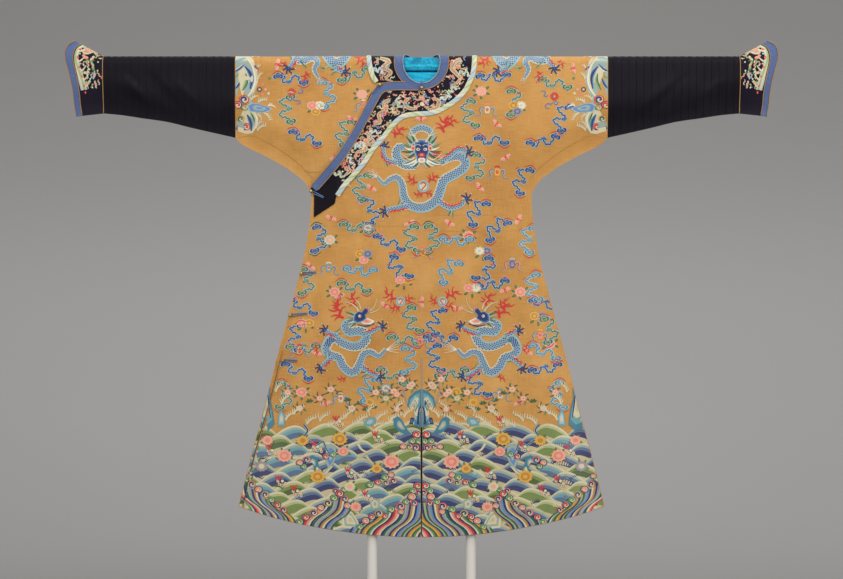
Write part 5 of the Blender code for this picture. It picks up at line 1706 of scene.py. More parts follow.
def profile_dragon(at):
    """One of the pair. The other is its mirror image about the centre seam."""
    flip = -1.0 if at is mirrored else 1.0
    dragon_body(at(PROFILE_BODY[0]), (6.5, 8.5, 8.5, 8.0), 4, flip)
    dragon_body(at(((341, 342), (336, 338), (330, 340), (327, 346))), (8.0, 8.0), 4, flip)
    dragon_body(at(PROFILE_BODY[1]), (8.0, 8.0, 8.0), 4, flip)
    dragon_body(at(PROFILE_BODY[2]), (8.0, 6.5, 5.0, 2.5), 5, flip)
    for number in range(5):
        hair = ((386, 349.5), (392, 345.0 + number * 1.6), (399, 339.0 + number * 3.4))
        stroke(at(hair), 0.8, "white", 5, (1.0, 0.3))
    for path, foot in (
        (((338, 336), (331, 333), (325, 330)), 200), (((364, 334), (373, 331), (382, 326)), -30),
        (((333, 357), (326, 362), (321, 368)), 130), (((362, 366), (371, 373), (380, 376)), 20),
    ):
        limb(at(path), 4.6, turned_as(at, foot), 6, 0.95)
    for number, tone in enumerate(
        ("pale_green", "leaf", "pale_blue", "green", "leaf", "white", "sea", "leaf")
    ):
        spike = (
            (357, 315 + number), (351, 311.5 + number * 2.2), (344.5 + number * 0.9, 308.5 + number * 3.0)
        )
        stroke(at(spike), 1.8, tone, 6, (1.0, 0.2))
    head = (
        (353, 321), (354, 314.5), (358, 311), (362, 312), (366, 307), (369.5, 307.5), (369, 311.5),
        (365.5, 315)
    )
    head += ((367, 318.5), (363, 321.5), (357, 323.5))
    patch(
        at(((361, 317), (368, 317.8), (375, 321.0), (371, 324.5), (364, 324), (359, 321))),
        ("white", "pink", "coral"), 7
    )
    stroke(at(((358, 324.5), (366, 326.0), (374.5, 323.5))), 1.3, "navy", 8, (0.6, 1.0, 0.6))
    patch(at(head), ("pale_blue", "blue", "navy"), 8, (1.0, 0.92, 0.76, 0.0))
    patch(at(round_shape(1.5, count=10) + (360.0, 316.0)), ("white", "white"), 9)
    patch(at(round_shape(0.7, count=8) + (360.4, 316.0)), ("ink",), 10)
    patch(at(round_shape(1.3, count=8) + (367.8, 308.3)), ("coral", "red"), 9)
    stroke(at(((370, 311), (374, 307), (376, 303), (377, 298))), 0.9, "cream", 8, (1.0, 0.4))
    stroke(at(((370, 313), (376, 311), (380, 308), (382, 304))), 0.9, "cream", 8, (1.0, 0.4))
    stroke(at(((359, 311), (355, 306), (350, 303), (345, 302))), 1.6, "cream", 8, (1.0, 0.3))
    stroke(at(((361, 309), (359, 303), (355, 299))), 1.4, "cream", 8, (1.0, 0.3))
    for place, turn, size in (
        ((357, 306), -112, 1.2), ((344, 318), -122, 1.5), ((339, 310), -95, 1.0), ((318, 352), -105, 0.7),
        ((346, 377), 165, 0.7), ((396.5, 298.5), -148, 1.2), ((405.0, 303.0), -38, 0.85),
        ((400.5, 305.5), 168, 1.0),
    ):
        flame(at(place), turned_as(at, turn), 3, size)
    patch(
        at(round_shape(4.8, count=16) + (400.7, 301.4)), ("pale_blue", "sea", "cream"), 6,
        (1.0, 0.82, 0.62, 0.0)
    )
    comma = ((398.9, 300.2), (400.7, 298.8), (402.6, 300.6), (401.2, 302.6), (399.8, 304.4))
    stroke(at(comma), 1.0, "red", 7, step=0.8)


profile_dragon(unturned)
profile_dragon(mirrored)

# The two dragons on the shoulders lie across the bar, so the front shows a bend of the body, two feet and
# the tail.
for at in (unturned, mirrored):
    flip = -1.0 if at is mirrored else 1.0
    dragon_body(at(((325, 53), (330, 60), (336, 65), (343, 61), (348, 53))), (9.0, 10.0, 9.0), 4, flip)
    dragon_body(
        at(((300, 53), (298, 60), (305, 61), (313, 58), (318, 63), (315, 70), (319, 79))),
        (8.0, 7.0, 6.0, 4.5, 2.0), 4, -flip
    )
    hairs(at((319, 78)), 70 if flip > 0 else 110, 5, 8.0, "cream", 5)
    for path, foot in ((((336, 68), (340, 71), (345, 72)), 20), (((297, 58), (293, 64), (289, 69)), 110)):
        limb(at(path), 5.0, turned_as(at, foot), 6)
    for number, tone in enumerate(("pale_green", "leaf", "pale_green")):
        stroke(at(((329, 66), (325, 68 + number), (321, 65 + 3.4 * number))), 1.8, tone, 5, (1.0, 0.2))
        stroke(at(((301, 61), (304, 65 + number), (307, 66 + 2.2 * number))), 1.8, tone, 5, (1.0, 0.2))
    for place, turn, size in (((355, 57), 40, 1.1), ((306, 72), 100, 0.9), ((286, 62), 140, 0.7)):
        flame(at(place), turned_as(at, turn), 3, size)

for entry in CLOUDS:
    cloud(*entry)
for x, y, turn in BATS:
    bat((x, y), turn, 1, 1.05)

SPRIGS = (
    ((362, 95), (("pink", "pink"),)),
    ((316, 108), (("pink", "coral"), ("white", "cream"), ("yellow", "ochre"))),
    ((481, 92), (("pink", "pink"),)),
    ((517, 108), (("yellow", "ochre"), ("cream", "white"), ("lilac", "slate"))),
    ((364, 256), (("yellow", "ochre"), ("lilac", "slate"), ("pink", "coral"))),
    ((306, 325), (("pink", "coral"), ("yellow", "ochre"))),
    ((483, 253), (("cream", "white"), ("lilac", "slate"))),
    ((538, 318), (("yellow", "ochre"), ("lilac", "slate"))),
    ((368, 228), (("lilac", "cream"),)),
    ((472, 290), (("pink", "coral"), ("cream", "white"))),
    ((302, 392), (("pink", "coral"),)),
    ((335, 292), (("pink", "coral"),)),
    ((404, 282), (("pink", "coral"), ("yellow", "ochre"))),
    ((520, 292), (("pink", "coral"),)),
    ((330, 240), (("cream", "pink"),)),
    ((468, 236), (("pink", "coral"),)),
    ((386, 388), (("lilac", "cream"),)),
    ((456, 392), (("yellow", "ochre"),)),
    ((550, 344), (("pink", "coral"),)),
)
SIDE_OPENING = (350.0, 526.0)
SIDE_STEP = 4.2
SEAMS = (
    (((238, 138), (252, 136), (268, 143), (286, 154), (301, 166), (313, 179)), 0.55),
    (((304, 171), (312, 172.5), (321, 172)), 0.6),
    (((322, 226), (360, 226.5), (418, 226)), 0.3),
    (((424, 231), (470, 231.5), (520, 231)), 0.3),
    (((424, 215), (470, 215.5), (508, 215)), 0.3),
    (((530, 179), (542, 166), (557, 154), (575, 143), (591, 136), (605, 138)), 0.55),
)
for path, width in SEAMS:
    stroke(path, width, "seam", 0, step=2.5)
side_y = np.linspace(*SIDE_OPENING, 24)
side_x = PATTERN_CENTRE - half_width((side_y - PATTERN_SHOULDER) * PATTERN_STEP) / PATTERN_STEP + SIDE_STEP
side_x += 0.5 * np.sin(side_y / 19.0)
# The ink line is a painted shadow standing for the gap of the side slit; the seam-coloured line beside it is
# its seam.
for aside, tone in ((-0.35, "ink"), (0.45, "seam")):
    stroke(np.stack([side_x + aside, side_y], axis=1), 0.8, tone, 40, (0.4, 1.0, 1.0), step=2.0)
for at, petals in SPRIGS:
    sprig(at, petals, 1)
ribbon_knot((292, 93), 2)
ribbon_knot((554, 97), 2, True)
TREASURES = (
    ((423, 252), ("yellow", "coral", "red")), ((420, 341), ("coral", "pink", "blue")),
    ((329, 268), ("sea", "cream", "blue")), ((512, 264), ("blue", "pale_blue", "red")),
    ((300, 350), ("yellow", "red", "slate")), ((540, 335), ("coral", "yellow", "blue")),
    ((341, 398), ("cream", "pink", "blue")), ((500, 394), ("cream", "sea", "slate")),
    ((497, 172), ("yellow", "red", "blue")), ((340, 176), ("yellow", "red", "leaf")),
    ((364, 106), ("coral", "cream", "slate")), ((487, 110), ("cream", "coral", "slate")),
)
for at, tones in TREASURES:
    treasure(at, tones, 2)


def comb(at, turn, layer, size=1.0, teeth=5, tone="cream", mirror=False):
    """A spray of foam: a curved strip with a row of hooked teeth on its outer side."""
    strip = ((0.0, 0.0), (3.4, -1.8), (7.4, -2.2), (11.0, -0.8))
    stroke(spot(strip, at, turn, size, mirror), 1.9 * size, tone, layer, (1.0, 1.0, 0.4), step=0.9)
    for number in range(teeth):
        root = (0.8 + 2.4 * number, -1.4 - 0.7 * math.sin(0.6 + 0.6 * number))
        hook = (root, (root[0] + 0.5, root[1] - 2.0), (root[0] + 1.5, root[1] - 3.4))
        stroke(spot(hook, at, turn, size, mirror), 1.45 * size, tone, layer + 1, (1.0, 0.3), step=0.8)


# The sleeve ends carry the crests of two more seas, which meet the dark sleeve at the seam.
CREST = (
    (233, 55), (247, 55), (254, 61), (257.6, 72), (258.5, 82), (255, 93), (250, 98.5), (253.5, 104),
    (256.5, 112), (258.6, 119), (257, 127), (253, 133.5), (246, 134), (233, 131),
)
for at in (unturned, mirrored):
    flip = at is mirrored
    patch(at(CREST), ("cream", "mist", "cream", "mist"), 1, (1.0, 0.86, 0.70, 0.35, 0.0))
    for path, edges, tones in (
        (
            ((248, 60), (253.4, 68), (255.6, 80), (253, 90), (247.5, 98)), (-2.4, -0.9, 0.6, 2.2),
            ("mist", "white", "cream")
        ),
        (
            ((245.5, 67), (250.2, 73), (252.4, 80), (250.8, 89.5)), (-2.4, -1.2, 1.1, 2.4),
            ("sky", "navy", "sky")
        ),
        (
            ((246.0, 74), (247.2, 80), (246, 85), (242.8, 91)), (-1.8, -0.5, 0.9, 1.8),
            ("pale_green", "green", "leaf")
        ),
        (((235, 90), (239.4, 85), (241.8, 79)), (-1.6, -0.7, 0.9, 1.8), ("sky", "navy", "pale_blue")),
        (((234, 73), (240, 69.6), (245, 65)), (-1.2, -0.4, 0.9, 1.6), ("sky", "navy", "white")),
        (((234, 63), (239, 60), (246, 58.4)), (-1.8, -0.4, 1.2), ("sea", "pale_blue")),
        (((234, 79), (238, 77), (240, 73)), (-1.0, 0.2, 1.2), ("pale_green", "olive")),
        (((251, 113), (253.4, 118), (254.6, 122.5)), (-1.4, -0.2, 1.2), ("pale_green", "leaf")),
        (((247.6, 115), (251, 122), (251.6, 131)), (-2.0, -0.7, 0.9, 2.0), ("teal", "navy", "sky")),
        (((254, 112), (257, 119), (256, 126.5), (252, 132.5)), (-1.3, 0.0, 1.3), ("cream", "white")),
    ):
        band(at(path), edges, tones, 3, (0.3, 1.0, 1.0, 0.4))
    for cx, cy, radius, tones in (
        (244.5, 100, 5.2, ("red", "cream", "navy", "blue")),
        (238, 105.5, 4.6, ("navy", "cream", "red", "ochre")),
        (245, 108, 3.8, ("leaf", "cream", "ochre", "green")),
        (246, 127, 4.6, ("red", "cream", "red", "navy")),
        (241, 119, 4.0, ("ochre", "cream", "leaf", "green")),
        (240, 128.5, 4.0, ("navy", "cream", "red", "navy")),
    ):
        curl(at((cx, cy)), radius, tones, 4)
    fin = (
        (247, 106), (252, 103.4), (259, 104), (266, 106.5), (271.5, 108.4), (272, 110.5), (266, 113.2),
        (258, 113), (250, 112)
    )
    patch(at(fin), ("pale_blue", "sky", "mist", "sky"), 5, (1.0, 0.88, 0.55, 0.25, 0.0))
    for place, turn, size, teeth in (
        ((251.5, 100.5), -22, 0.8, 3), ((258.5, 103.0), -8, 0.85, 5), ((268.5, 106.0), 20, 0.7, 2),
        ((257.0, 114.5), 55, 0.75, 3), ((264.0, 113.0), 58, 0.9, 5), ((257.0, 126.5), -28, 0.75, 4),
        ((257.5, 131.0), -22, 0.95, 5), ((257.0, 72.0), -50, 0.75, 4), ((258.5, 80.0), -48, 0.75, 4),
        ((252.0, 57.5), 5, 0.7, 4),
    ):
        comb(at(place), -turn if flip else turn, 3, size, teeth, "cream" if size > 0.72 else "white", flip)
    bat(at((256.5, 68.5)), turned_as(at, 40), 5, 0.5, ("blue", "navy"))
    patch(at(round_shape(2.4, count=12) + (260, 90)), ("ink", "lilac", "cream"), 4)
    for x, y, tone in (
        (263, 85, "coral"), (266, 90, "pink"), (269, 94, "cream"), (263, 95, "coral"), (270, 79, "green")
    ):
        patch(at(round_shape(1.4, 5, 0.2, count=15) + (x, y)), (tone,), 4)

# Below stands the sea: rows of rolling waves, rocks rising from it at the centre and the sides, and at the
# hem the deep water, in curving stripes under rolled heads.
WAVE_TOP = 424.0
WAVE_ROW = 9.2
WAVE_PITCH = 33.0
WAVE_HALF = 25.0
WAVE_FAMILIES = (
    ("cream", "mist", "haze", "deep_sea", "sand"), ("cream", "straw", "olive", "moss", "sand"),
    ("sand", "mist", "haze", "deep_sea", "sand"), ("cream", "mist", "sea", "haze", "straw"),
    ("cream", "straw", "olive", "olive", "sand"),
)
HEM_Y = PATTERN_SHOULDER + HEM_DEPTH / PATTERN_STEP
draw = np.random.default_rng(11)
for row in range(13):
    for number in range(-7, 8):
        middle = PATTERN_CENTRE + (number + (row % 2) / 2) * WAVE_PITCH + draw.uniform(-2.0, 2.0)
        crest = WAVE_TOP + row * WAVE_ROW + draw.uniform(-1.0, 1.0) + 0.05 * abs(middle - PATTERN_CENTRE)
        inward = -1.0 if middle > PATTERN_CENTRE else 1.0
        tall = draw.uniform(0.9, 1.15)
        family = WAVE_FAMILIES[draw.integers(0, len(WAVE_FAMILIES))]
        path = np.array(
            (
                (-WAVE_HALF, 9.0), (-17.0, 5.6), (-8.0, -1.2), (1.0, -5.4), (8.5, -6.0), (15.0, -2.6),
                (WAVE_HALF, 7.0)
            )
        )
        path = path * (inward, tall)
        line = smooth_line(path[:: int(inward)] + (middle, crest), 2.4)
        share = np.linspace(0.0, 1.0, len(line))
        swell = 0.30 + 0.70 * np.sin(math.pi * share) ** 0.8
        edges = [reach_out * swell + 0.2 * (reach_out > 0.0) for reach_out in (0.0, 1.9, 4.2, 7.2, 12.4)]
        edges = np.stack([*edges, 19.0 + 0 * swell], axis=1)
        points = np.repeat(line[:, None, :], edges.shape[1], axis=1)
        points[..., 1] += edges
        points[:, 1:5, 0] += inward * edges[:, 1:5] * 0.25
        lay(points, 1 + row, family, 0.3)
        if draw.random() < 0.42:
            root = (middle + draw.uniform(-8.0, 8.0), crest + 8.0)
            tone = ("deep_sea", "moss", "cream")[int(draw.integers(0, 3))]
            comb(root, 24.0 * inward, 1.5 + row, 0.8, 5, tone, inward < 0.0)


STRIPES = (
    "navy", "sky", "lilac", "leaf", "pale_green", "navy", "ochre", "yellow", "leaf", "green", "cream",
    "navy", "red", "coral", "cream", "navy", "leaf", "mist", "lilac", "navy", "ochre", "cream",
)
STRIPE_PATH = (
    (0.0, 2.0), (2.0, -3.5), (6.8, -8.5), (13.5, -13.0), (18.6, -18.5), (20.6, -26.0), (21.6, -34.0)
)
STRIPE_WIDTH = 2.05


def hem_at(x):
    """Height on the pattern of the curved hem."""
    return HEM_Y - HEM_RISE / PATTERN_STEP * ((x - PATTERN_CENTRE) * PATTERN_STEP / HEM_HALF_WIDTH) ** 2


def deep_water(first, last, crown, turn_over, offset, lean=1.0):
    """A block of curving stripes from the hem up to the line crown, which is given as its x and its y."""
    for number, foot in enumerate(np.arange(first, last, STRIPE_WIDTH)):
        tone = STRIPES[(number + offset) % len(STRIPES)]
        line = smooth_line(np.array(STRIPE_PATH) * (lean, 1.0) + (foot, hem_at(foot)), 2.1)
        points = np.stack([line, line + (STRIPE_WIDTH, 0.0)], axis=1)
        kept = (points[:, 0, 1] > np.interp(points[:, 0, 0], *crown)) & (points[:, 0, 0] < PATTERN_CENTRE)
        points[..., 0] = np.minimum(points[..., 0], PATTERN_CENTRE)
        if kept.sum() > 2:
            lay(turn_over(points[kept]), 18, (tone,), 0.0)


CENTRE_CROWN = (
    (356.0, 367.0, 380.0, 392.0, 402.0, 414.0, 421.5), (525.0, 519.0, 514.0, 508.0, 503.5, 498.0, 490.0)
)
MIDDLE_CROWN = ((298.0, 318.0, 330.0, 340.0, 346.0), (522.0, 511.0, 503.0, 496.0, 500.0))
CORNER_CROWN = ((232.0, 244.0, 258.0, 272.0, 284.0), (488.0, 482.0, 492.0, 501.0, 510.0))
RED_HEAD = ("navy", "cream", "red", "red")
BLUE_HEAD = ("red", "cream", "navy", "blue")
GREEN_HEAD = ("leaf", "cream", "green", "leaf")
OCHRE_HEAD = ("ochre", "cream", "navy", "ochre")
PINK_HEAD = ("navy", "cream", "coral", "red")
for at, offset in ((unturned, 0), (mirrored, 3)):
    for first, last, crown, ahead, lean in (
        (349.0, 421.0, CENTRE_CROWN, 0, 1.0), (289.0, 332.0, MIDDLE_CROWN, 5, 1.0), (
            252.0, 296.0, CORNER_CROWN, 9, -1.0
        ),
    ):
        deep_water(first, last, crown, at, offset + ahead, lean)
    for x, y, radius, tones in (
        (403, 446, 3.6, PINK_HEAD), (409, 446, 3.4, OCHRE_HEAD), (412, 440.5, 3.6, GREEN_HEAD),
        (415.5, 447, 4.0, BLUE_HEAD), (416.5, 434, 4.6, RED_HEAD), (418.5, 441, 3.6, GREEN_HEAD),
        (370, 484, 4.2, GREEN_HEAD), (378, 481.5, 3.6, RED_HEAD), (385, 476.5, 4.0, GREEN_HEAD),
        (386, 482, 3.4, OCHRE_HEAD), (391, 474, 3.6, PINK_HEAD), (393.5, 480, 3.8, BLUE_HEAD),
        (417.6, 485, 4.4, RED_HEAD), (413, 490, 3.8, GREEN_HEAD), (412.0, 496, 4.8, PINK_HEAD),
        (419, 492, 3.4, BLUE_HEAD), (406, 501, 3.6, GREEN_HEAD), (414, 502.5, 3.6, BLUE_HEAD),
        (400.5, 505.5, 4.6, BLUE_HEAD), (391, 508.5, 4.2, GREEN_HEAD), (401, 511, 3.6, PINK_HEAD),
        (385, 515.0, 3.4, RED_HEAD), (379, 512.5, 4.2, OCHRE_HEAD), (372, 516, 3.8, RED_HEAD),
        (366, 520.0, 4.4, PINK_HEAD), (360, 526, 3.6, GREEN_HEAD), (300, 521, 4.0, GREEN_HEAD),
        (306, 516.5, 4.0, RED_HEAD), (314, 512, 4.2, BLUE_HEAD), (321, 507, 4.0, PINK_HEAD),
        (328, 502.5, 4.2, OCHRE_HEAD), (334, 497.5, 4.0, GREEN_HEAD), (340, 493, 4.4, RED_HEAD),
        (345, 498, 3.8, BLUE_HEAD), (347.5, 505, 3.8, PINK_HEAD), (336, 490, 3.4, BLUE_HEAD),
        (344, 489, 3.2, GREEN_HEAD), (240, 483, 4.0, RED_HEAD), (246, 479, 4.2, GREEN_HEAD),
        (252, 484, 4.0, BLUE_HEAD), (259, 489, 4.2, PINK_HEAD), (266, 494, 4.0, OCHRE_HEAD),
        (272, 499, 3.8, GREEN_HEAD), (278, 504, 3.8, RED_HEAD), (284, 509, 3.6, BLUE_HEAD),
        (250, 476, 3.4, PINK_HEAD), (300, 462, 3.8, PINK_HEAD), (307, 459, 3.8, BLUE_HEAD),
        (304, 466, 3.4, GREEN_HEAD), (326, 456, 3.6, RED_HEAD), (333, 454, 3.6, GREEN_HEAD),
    ):
        curl(at((x, y)), radius, tones, 19)
    for x, y, radius, tones in (
        (391.5, 461.0, 7.8, ("pink", "coral", "pink")), (377.0, 468.0, 5.0, ("yellow", "ochre")),
        (340.0, 438.5, 7.2, ("yellow", "ochre", "yellow")), (343.5, 451.0, 5.4, ("pink", "coral", "pink")),
        (285.0, 455.0, 7.0, ("pink", "coral", "pink")), (318.0, 476.0, 7.0, ("yellow", "ochre", "yellow")),
        (356.0, 506.0, 5.4, ("pink", "coral")), (262.0, 466.0, 6.0, ("lilac", "cream")),
        (303.0, 440.0, 5.6, ("yellow", "ochre")), (350.0, 486.0, 5.4, ("cream", "pink")),
        (268.0, 440.0, 5.4, ("pink", "coral")),
    ):
        place = at((x, y))
        for leaf_turn in (20, 160, 250, 310):
            leaf(spot(((radius * 0.7, 0.0),), place, leaf_turn)[0], leaf_turn, 1.2, ("moss", "olive"), 19)
        blossom(place, radius, tones, 20, 11, 0.85)
    for x, y in (
        (379, 438), (369, 497), (318, 448), (283, 482), (352, 474), (340, 423), (298, 492), (273, 452)
    ):
        place = at((x, y))
        for dx, dy, tone in (
            (-3, 1.4, "red"), (0, -1.8, "white"), (2.8, 0.6, "yellow"), (-0.4, 2.2, "navy"),
            (3.6, 3.0, "red"), (-4.4, -1.6, "coral")
        ):
            patch(spot(round_shape(1.5, count=10), (place[0] + dx, place[1] + dy)), ("cream", tone), 19)
        for number in range(3):
            branch = ((0.0, 0.0), (-1.5 + number * 1.6, -3.0), (-3.0 + number * 3.2, -5.8))
            stroke(spot(branch, (place[0] - 4.0, place[1] - 2.0)), 1.3, "red", 19, (1.0, 0.7), step=1.2)

    # Rocks at the centre and beside the seam, and blossoming branches between them
    peak = (
        (421.4, 388.5), (415, 391), (409, 397), (407, 406), (411, 407), (413.5, 401), (417, 398),
        (419, 404), (415, 413), (413, 424), (421.4, 427)
    )
    patch(at(peak), ("teal", "sea", "cream", "sand"), 5)
    stroke(at(((420.6, 405), (418.6, 412), (418.0, 424))), 2.4, "navy", 6, (0.5, 1.0))
    stroke(at(((416, 396), (412, 402), (411, 405))), 1.6, "pale_blue", 6, (1.0, 0.4))
    for tones, shape in (
        (
            ("teal", "teal", "mist", "sand"),
            (
                (393.6, 425), (393.6, 418), (397.5, 415.5), (401.5, 418.5), (405, 425), (409.5, 432),
                (406, 434), (399, 431)
            )
        ),
        (("sea", "pale_blue"), ((364, 421), (369, 417), (376, 417), (376, 422), (371, 426), (364, 425))),
        (
            ("teal", "sea", "cream", "sand"),
            (
                (260, 428), (257, 414), (259, 398), (262, 386), (265.5, 377), (269, 386), (270, 398),
                (273, 410), (275, 424), (268, 431)
            )
        ),
        (("navy", "slate"), ((409, 424), (411, 417), (414, 417.5), (413, 424))),
        (("sea", "pale_blue", "cream"), ((278, 426), (279, 414), (282, 409), (285.5, 416), (285, 426))),
    ):
        patch(at(shape), tones, 9)
    for tones, shape in (
        (
            ("teal", "teal", "mist", "cream"),
            ((306, 464), (308, 457), (313, 454.5), (318, 458), (319, 466), (316, 470), (312, 462))
        ),
        (
            ("mist", "sky", "pale_blue"),
            ((326, 446), (331, 443), (336, 447), (337, 456), (333, 464), (329, 470), (326, 462))
        ),
        (
            ("cream", "mist", "cream", "sand"),
            ((343, 527), (342, 517), (347, 508), (353, 512), (358, 520), (362, 529))
        ),
        (("mist", "cream", "mist"), ((373, 509), (370, 502), (374, 497), (380, 500), (379, 508))),
        (
            ("cream", "mist", "cream"),
            ((314, 474), (317, 466), (322, 470), (334, 465), (327, 473), (318, 477))
        ),
    ):
        patch(at(shape), tones, 17)
    for path, tone in (
        (
            (
                (304, 424), (308, 430), (304, 437), (311, 441), (317, 445), (323, 441), (327, 449),
                (331, 455)
            ),
            "navy"
        ),
        (((358, 443), (362, 449), (368, 452)), "cream"),
        (((366, 455), (372, 462), (379, 468), (386, 470)), "sand"),
    ):
        stroke(at(path), 2.6, "pale_blue" if tone == "navy" else tone, 17, (1.0, 0.6))
        stroke(at(path), 1.3, tone, 18, (1.0, 0.6))
    for path, tone, width in (
        (((264, 386), (266, 398), (264, 412)), "pale_blue", 1.4),
        (((267.5, 392), (269, 404), (271, 418)), "navy", 1.5),
        (((261, 404), (261, 414), (263, 424)), "cream", 1.2),
    ):
        stroke(at(path), width, tone, 10, (0.6, 1.0, 0.5))
    for x, y, turn, size in (
        (404, 417, 35, 1.0), (412, 409, 50, 0.9), (389, 422, 25, 1.1), (396, 410, 40, 0.9),
        (377, 420, 30, 1.0), (358, 423, 28, 1.1), (345, 418, 35, 1.0), (335, 424, 25, 1.0),
        (294, 414, 30, 1.0), (307, 424, 28, 1.1), (282, 404, 42, 1.0), (320, 421, 32, 1.0),
        (286, 420, 35, 1.0), (417, 419, 60, 0.8), (368, 412, 35, 0.8), (276, 392, 45, 0.9),
        (352, 425, 8, 1.0), (402, 426, 5, 0.9), (328, 426, 10, 1.0), (374, 426, 8, 0.9),
    ):
        mirror = at is unturned
        comb(at((x, y)), -turn if mirror else turn, 4, size, 6, "cream", not mirror)
    for x, y, tone in (
        (402, 379, "pink"), (412, 384, "pink"), (394, 391, "pink"), (397, 394, "coral"),
        (410, 386, "cream"), (397, 409, "coral"), (386, 398, "pale_green"), (376, 392, "pink"),
        (352, 408, "cream"), (331, 389, "pink"), (320, 398, "coral"), (300, 408, "pink"),
        (288, 392, "coral")
    ):
        place = at((x, y))
        for leaf_turn in (20, 75, 140, 200, 250, 320):
            blade = ((1.5, 0.0), (4.2, -0.9), (7.4, 0.5))
            stroke(
                spot(blade, place, leaf_turn), 1.5, "leaf" if leaf_turn % 3 else "green", 2,
                (0.5, 1.0, 0.15)
            )
        blossom(place, 3.6, (tone, "cream" if tone != "cream" else "pink", "coral"), 4, 5)
    stroke(at(((407, 404), (405, 396), (403, 389), (404, 382))), 1.0, "lilac", 2)
    stroke(at(((405, 396), (399, 392), (394, 391))), 0.9, "lilac", 2)
    blossom(at((370, 402)), 4.4, ("yellow", "ochre"), 3, 8)
    for x, y in ((366, 410), (374, 408), (360, 404), (340, 394), (348, 401), (310, 402)):
        place = at((x, y))
        for leaf_turn in (200, 240, 290, 330):
            leaf(place, leaf_turn, 1.3, ("moss", "leaf"), 2)


# The collar and cuffs carry small tan dragons, clouds, bats and sea spray on the dark satin.
ground = "collar"


def small_dragon(path, width, layer, head_at=None):
    """A little dragon in tan silk with a pale belly line and dark scales."""
    width = width * 1.4
    edges = (-width / 2, -width * 0.36, width * 0.12, width / 2)
    band(path, edges, ("cream", "tan", "sand"), layer, (0.7, 1.0, 0.8, 0.25), step=0.9)
    line = smooth_line(path, 2.0)
    for point in line[1:-1]:
        patch(spot(round_shape(0.42, count=6), point), ("ink",), layer + 1)
    if head_at is not None:
        patch(
            spot(
                ((-2.6, -1.6), (0.0, -2.6), (2.6, -1.6), (2.8, 0.6), (1.2, 2.6), (-1.2, 2.6), (-2.8, 0.6)),
                head_at
            ),
            ("tan", "coral", "tan"), layer + 2
        )
        for side in (-1.0, 1.0):
            patch(
                spot(round_shape(0.6, count=8), (head_at[0] + side * 1.2, head_at[1] - 0.5)), ("white",),
                layer + 3
            )
            stroke(
                spot(((side * 1.2, -2.2), (side * 2.8, -4.0), (side * 4.6, -4.4)), head_at), 0.7, "cream",
                layer + 2, (1.0, 0.4)
            )
            stroke(
                spot(((side * 1.4, 1.2), (side * 4.0, 2.6), (side * 6.6, 1.4), (side * 8.6, 2.4)), head_at),
                0.8, "cream", layer + 1, (1.0, 0.4)
            )


COLLAR_MIDDLE = (
    (459, 59), (458, 72), (452, 86), (440, 97), (424, 102), (408, 104), (394, 107), (384, 118), (374, 132),
    (364, 148), (353, 166), (343, 182),
)
collar_line = smooth_line(COLLAR_MIDDLE, 1.0) - (1.6, 1.2)
collar_aside = sideways(collar_line)
WISPS = ("tan", "tan", "tan", "cream", "pale_blue", "pale_green", "coral", "tan", "sky", "tan", "pink")
draw = np.random.default_rng(4)
for number in range(150):
    station = int(draw.integers(0, len(collar_line) - 12))
    place = collar_line[station] + collar_aside[station] * draw.uniform(-11.0, 10.0)
    wisp = ((-2.6, 0.8), (-0.9, -0.9), (0.9, 0.7), (2.8, -0.6))
    tone = WISPS[int(draw.integers(0, len(WISPS)))]
    size = draw.uniform(0.7, 1.4)
    stroke(spot(wisp, place, draw.uniform(0.0, 360.0), size), 1.3, tone, 1, (0.7, 1.0, 0.5), step=0.9)
for number in range(230):
    station = int(draw.integers(0, len(collar_line) - 10))
    place = collar_line[station] + collar_aside[station] * draw.uniform(-11.5, 10.0)
    tone = ("tan", "white", "coral", "tan", "cream", "red", "pale_green")[int(draw.integers(0, 7))]
    patch(spot(round_shape(draw.uniform(0.4, 0.9), count=7), place), (tone,), 2)
shoulder_line = smooth_line(((381, 60), (383, 70), (387, 80)), 1.0)
for number in range(22):
    place = shoulder_line[int(draw.integers(0, len(shoulder_line)))] + (draw.uniform(-5.5, 7.5), 0.0)
    wisp = ((-2.6, 0.8), (-0.9, -0.9), (0.9, 0.7), (2.8, -0.6))
    tone = WISPS[int(draw.integers(0, len(WISPS)))]
    stroke(spot(wisp, place, draw.uniform(0.0, 360.0)), 1.15, tone, 1, (0.7, 1.0, 0.5), step=0.9)
small_dragon(((409, 99), (405, 103), (408, 108), (415, 109), (419, 104)), 3.0, 1)
small_dragon(((434, 99), (439, 102), (437, 108), (430, 110), (424, 107)), 3.0, 1, (421.5, 98.5))
patch(spot(round_shape(1.9, count=12), (422, 104.4)), ("white", "cream"), 3)
small_dragon(
    ((461, 60), (455, 63), (452, 69), (456, 74), (460, 79), (456, 84), (450, 86)), 3.4, 1, (458, 67)
)
small_dragon(((380, 59), (389, 62), (384, 68), (391, 73), (386, 79), (393, 82)), 3.2, 1)
small_dragon(((390, 100), (384, 104), (386, 111), (379, 115), (380, 122), (372, 127)), 3.2, 1, (386, 107))
small_dragon(((366, 133), (371, 138), (364, 144), (366, 150), (357, 153), (356, 160)), 3.2, 1, (366, 141))
small_dragon(((345, 168), (350, 171), (344, 177)), 2.8, 1)
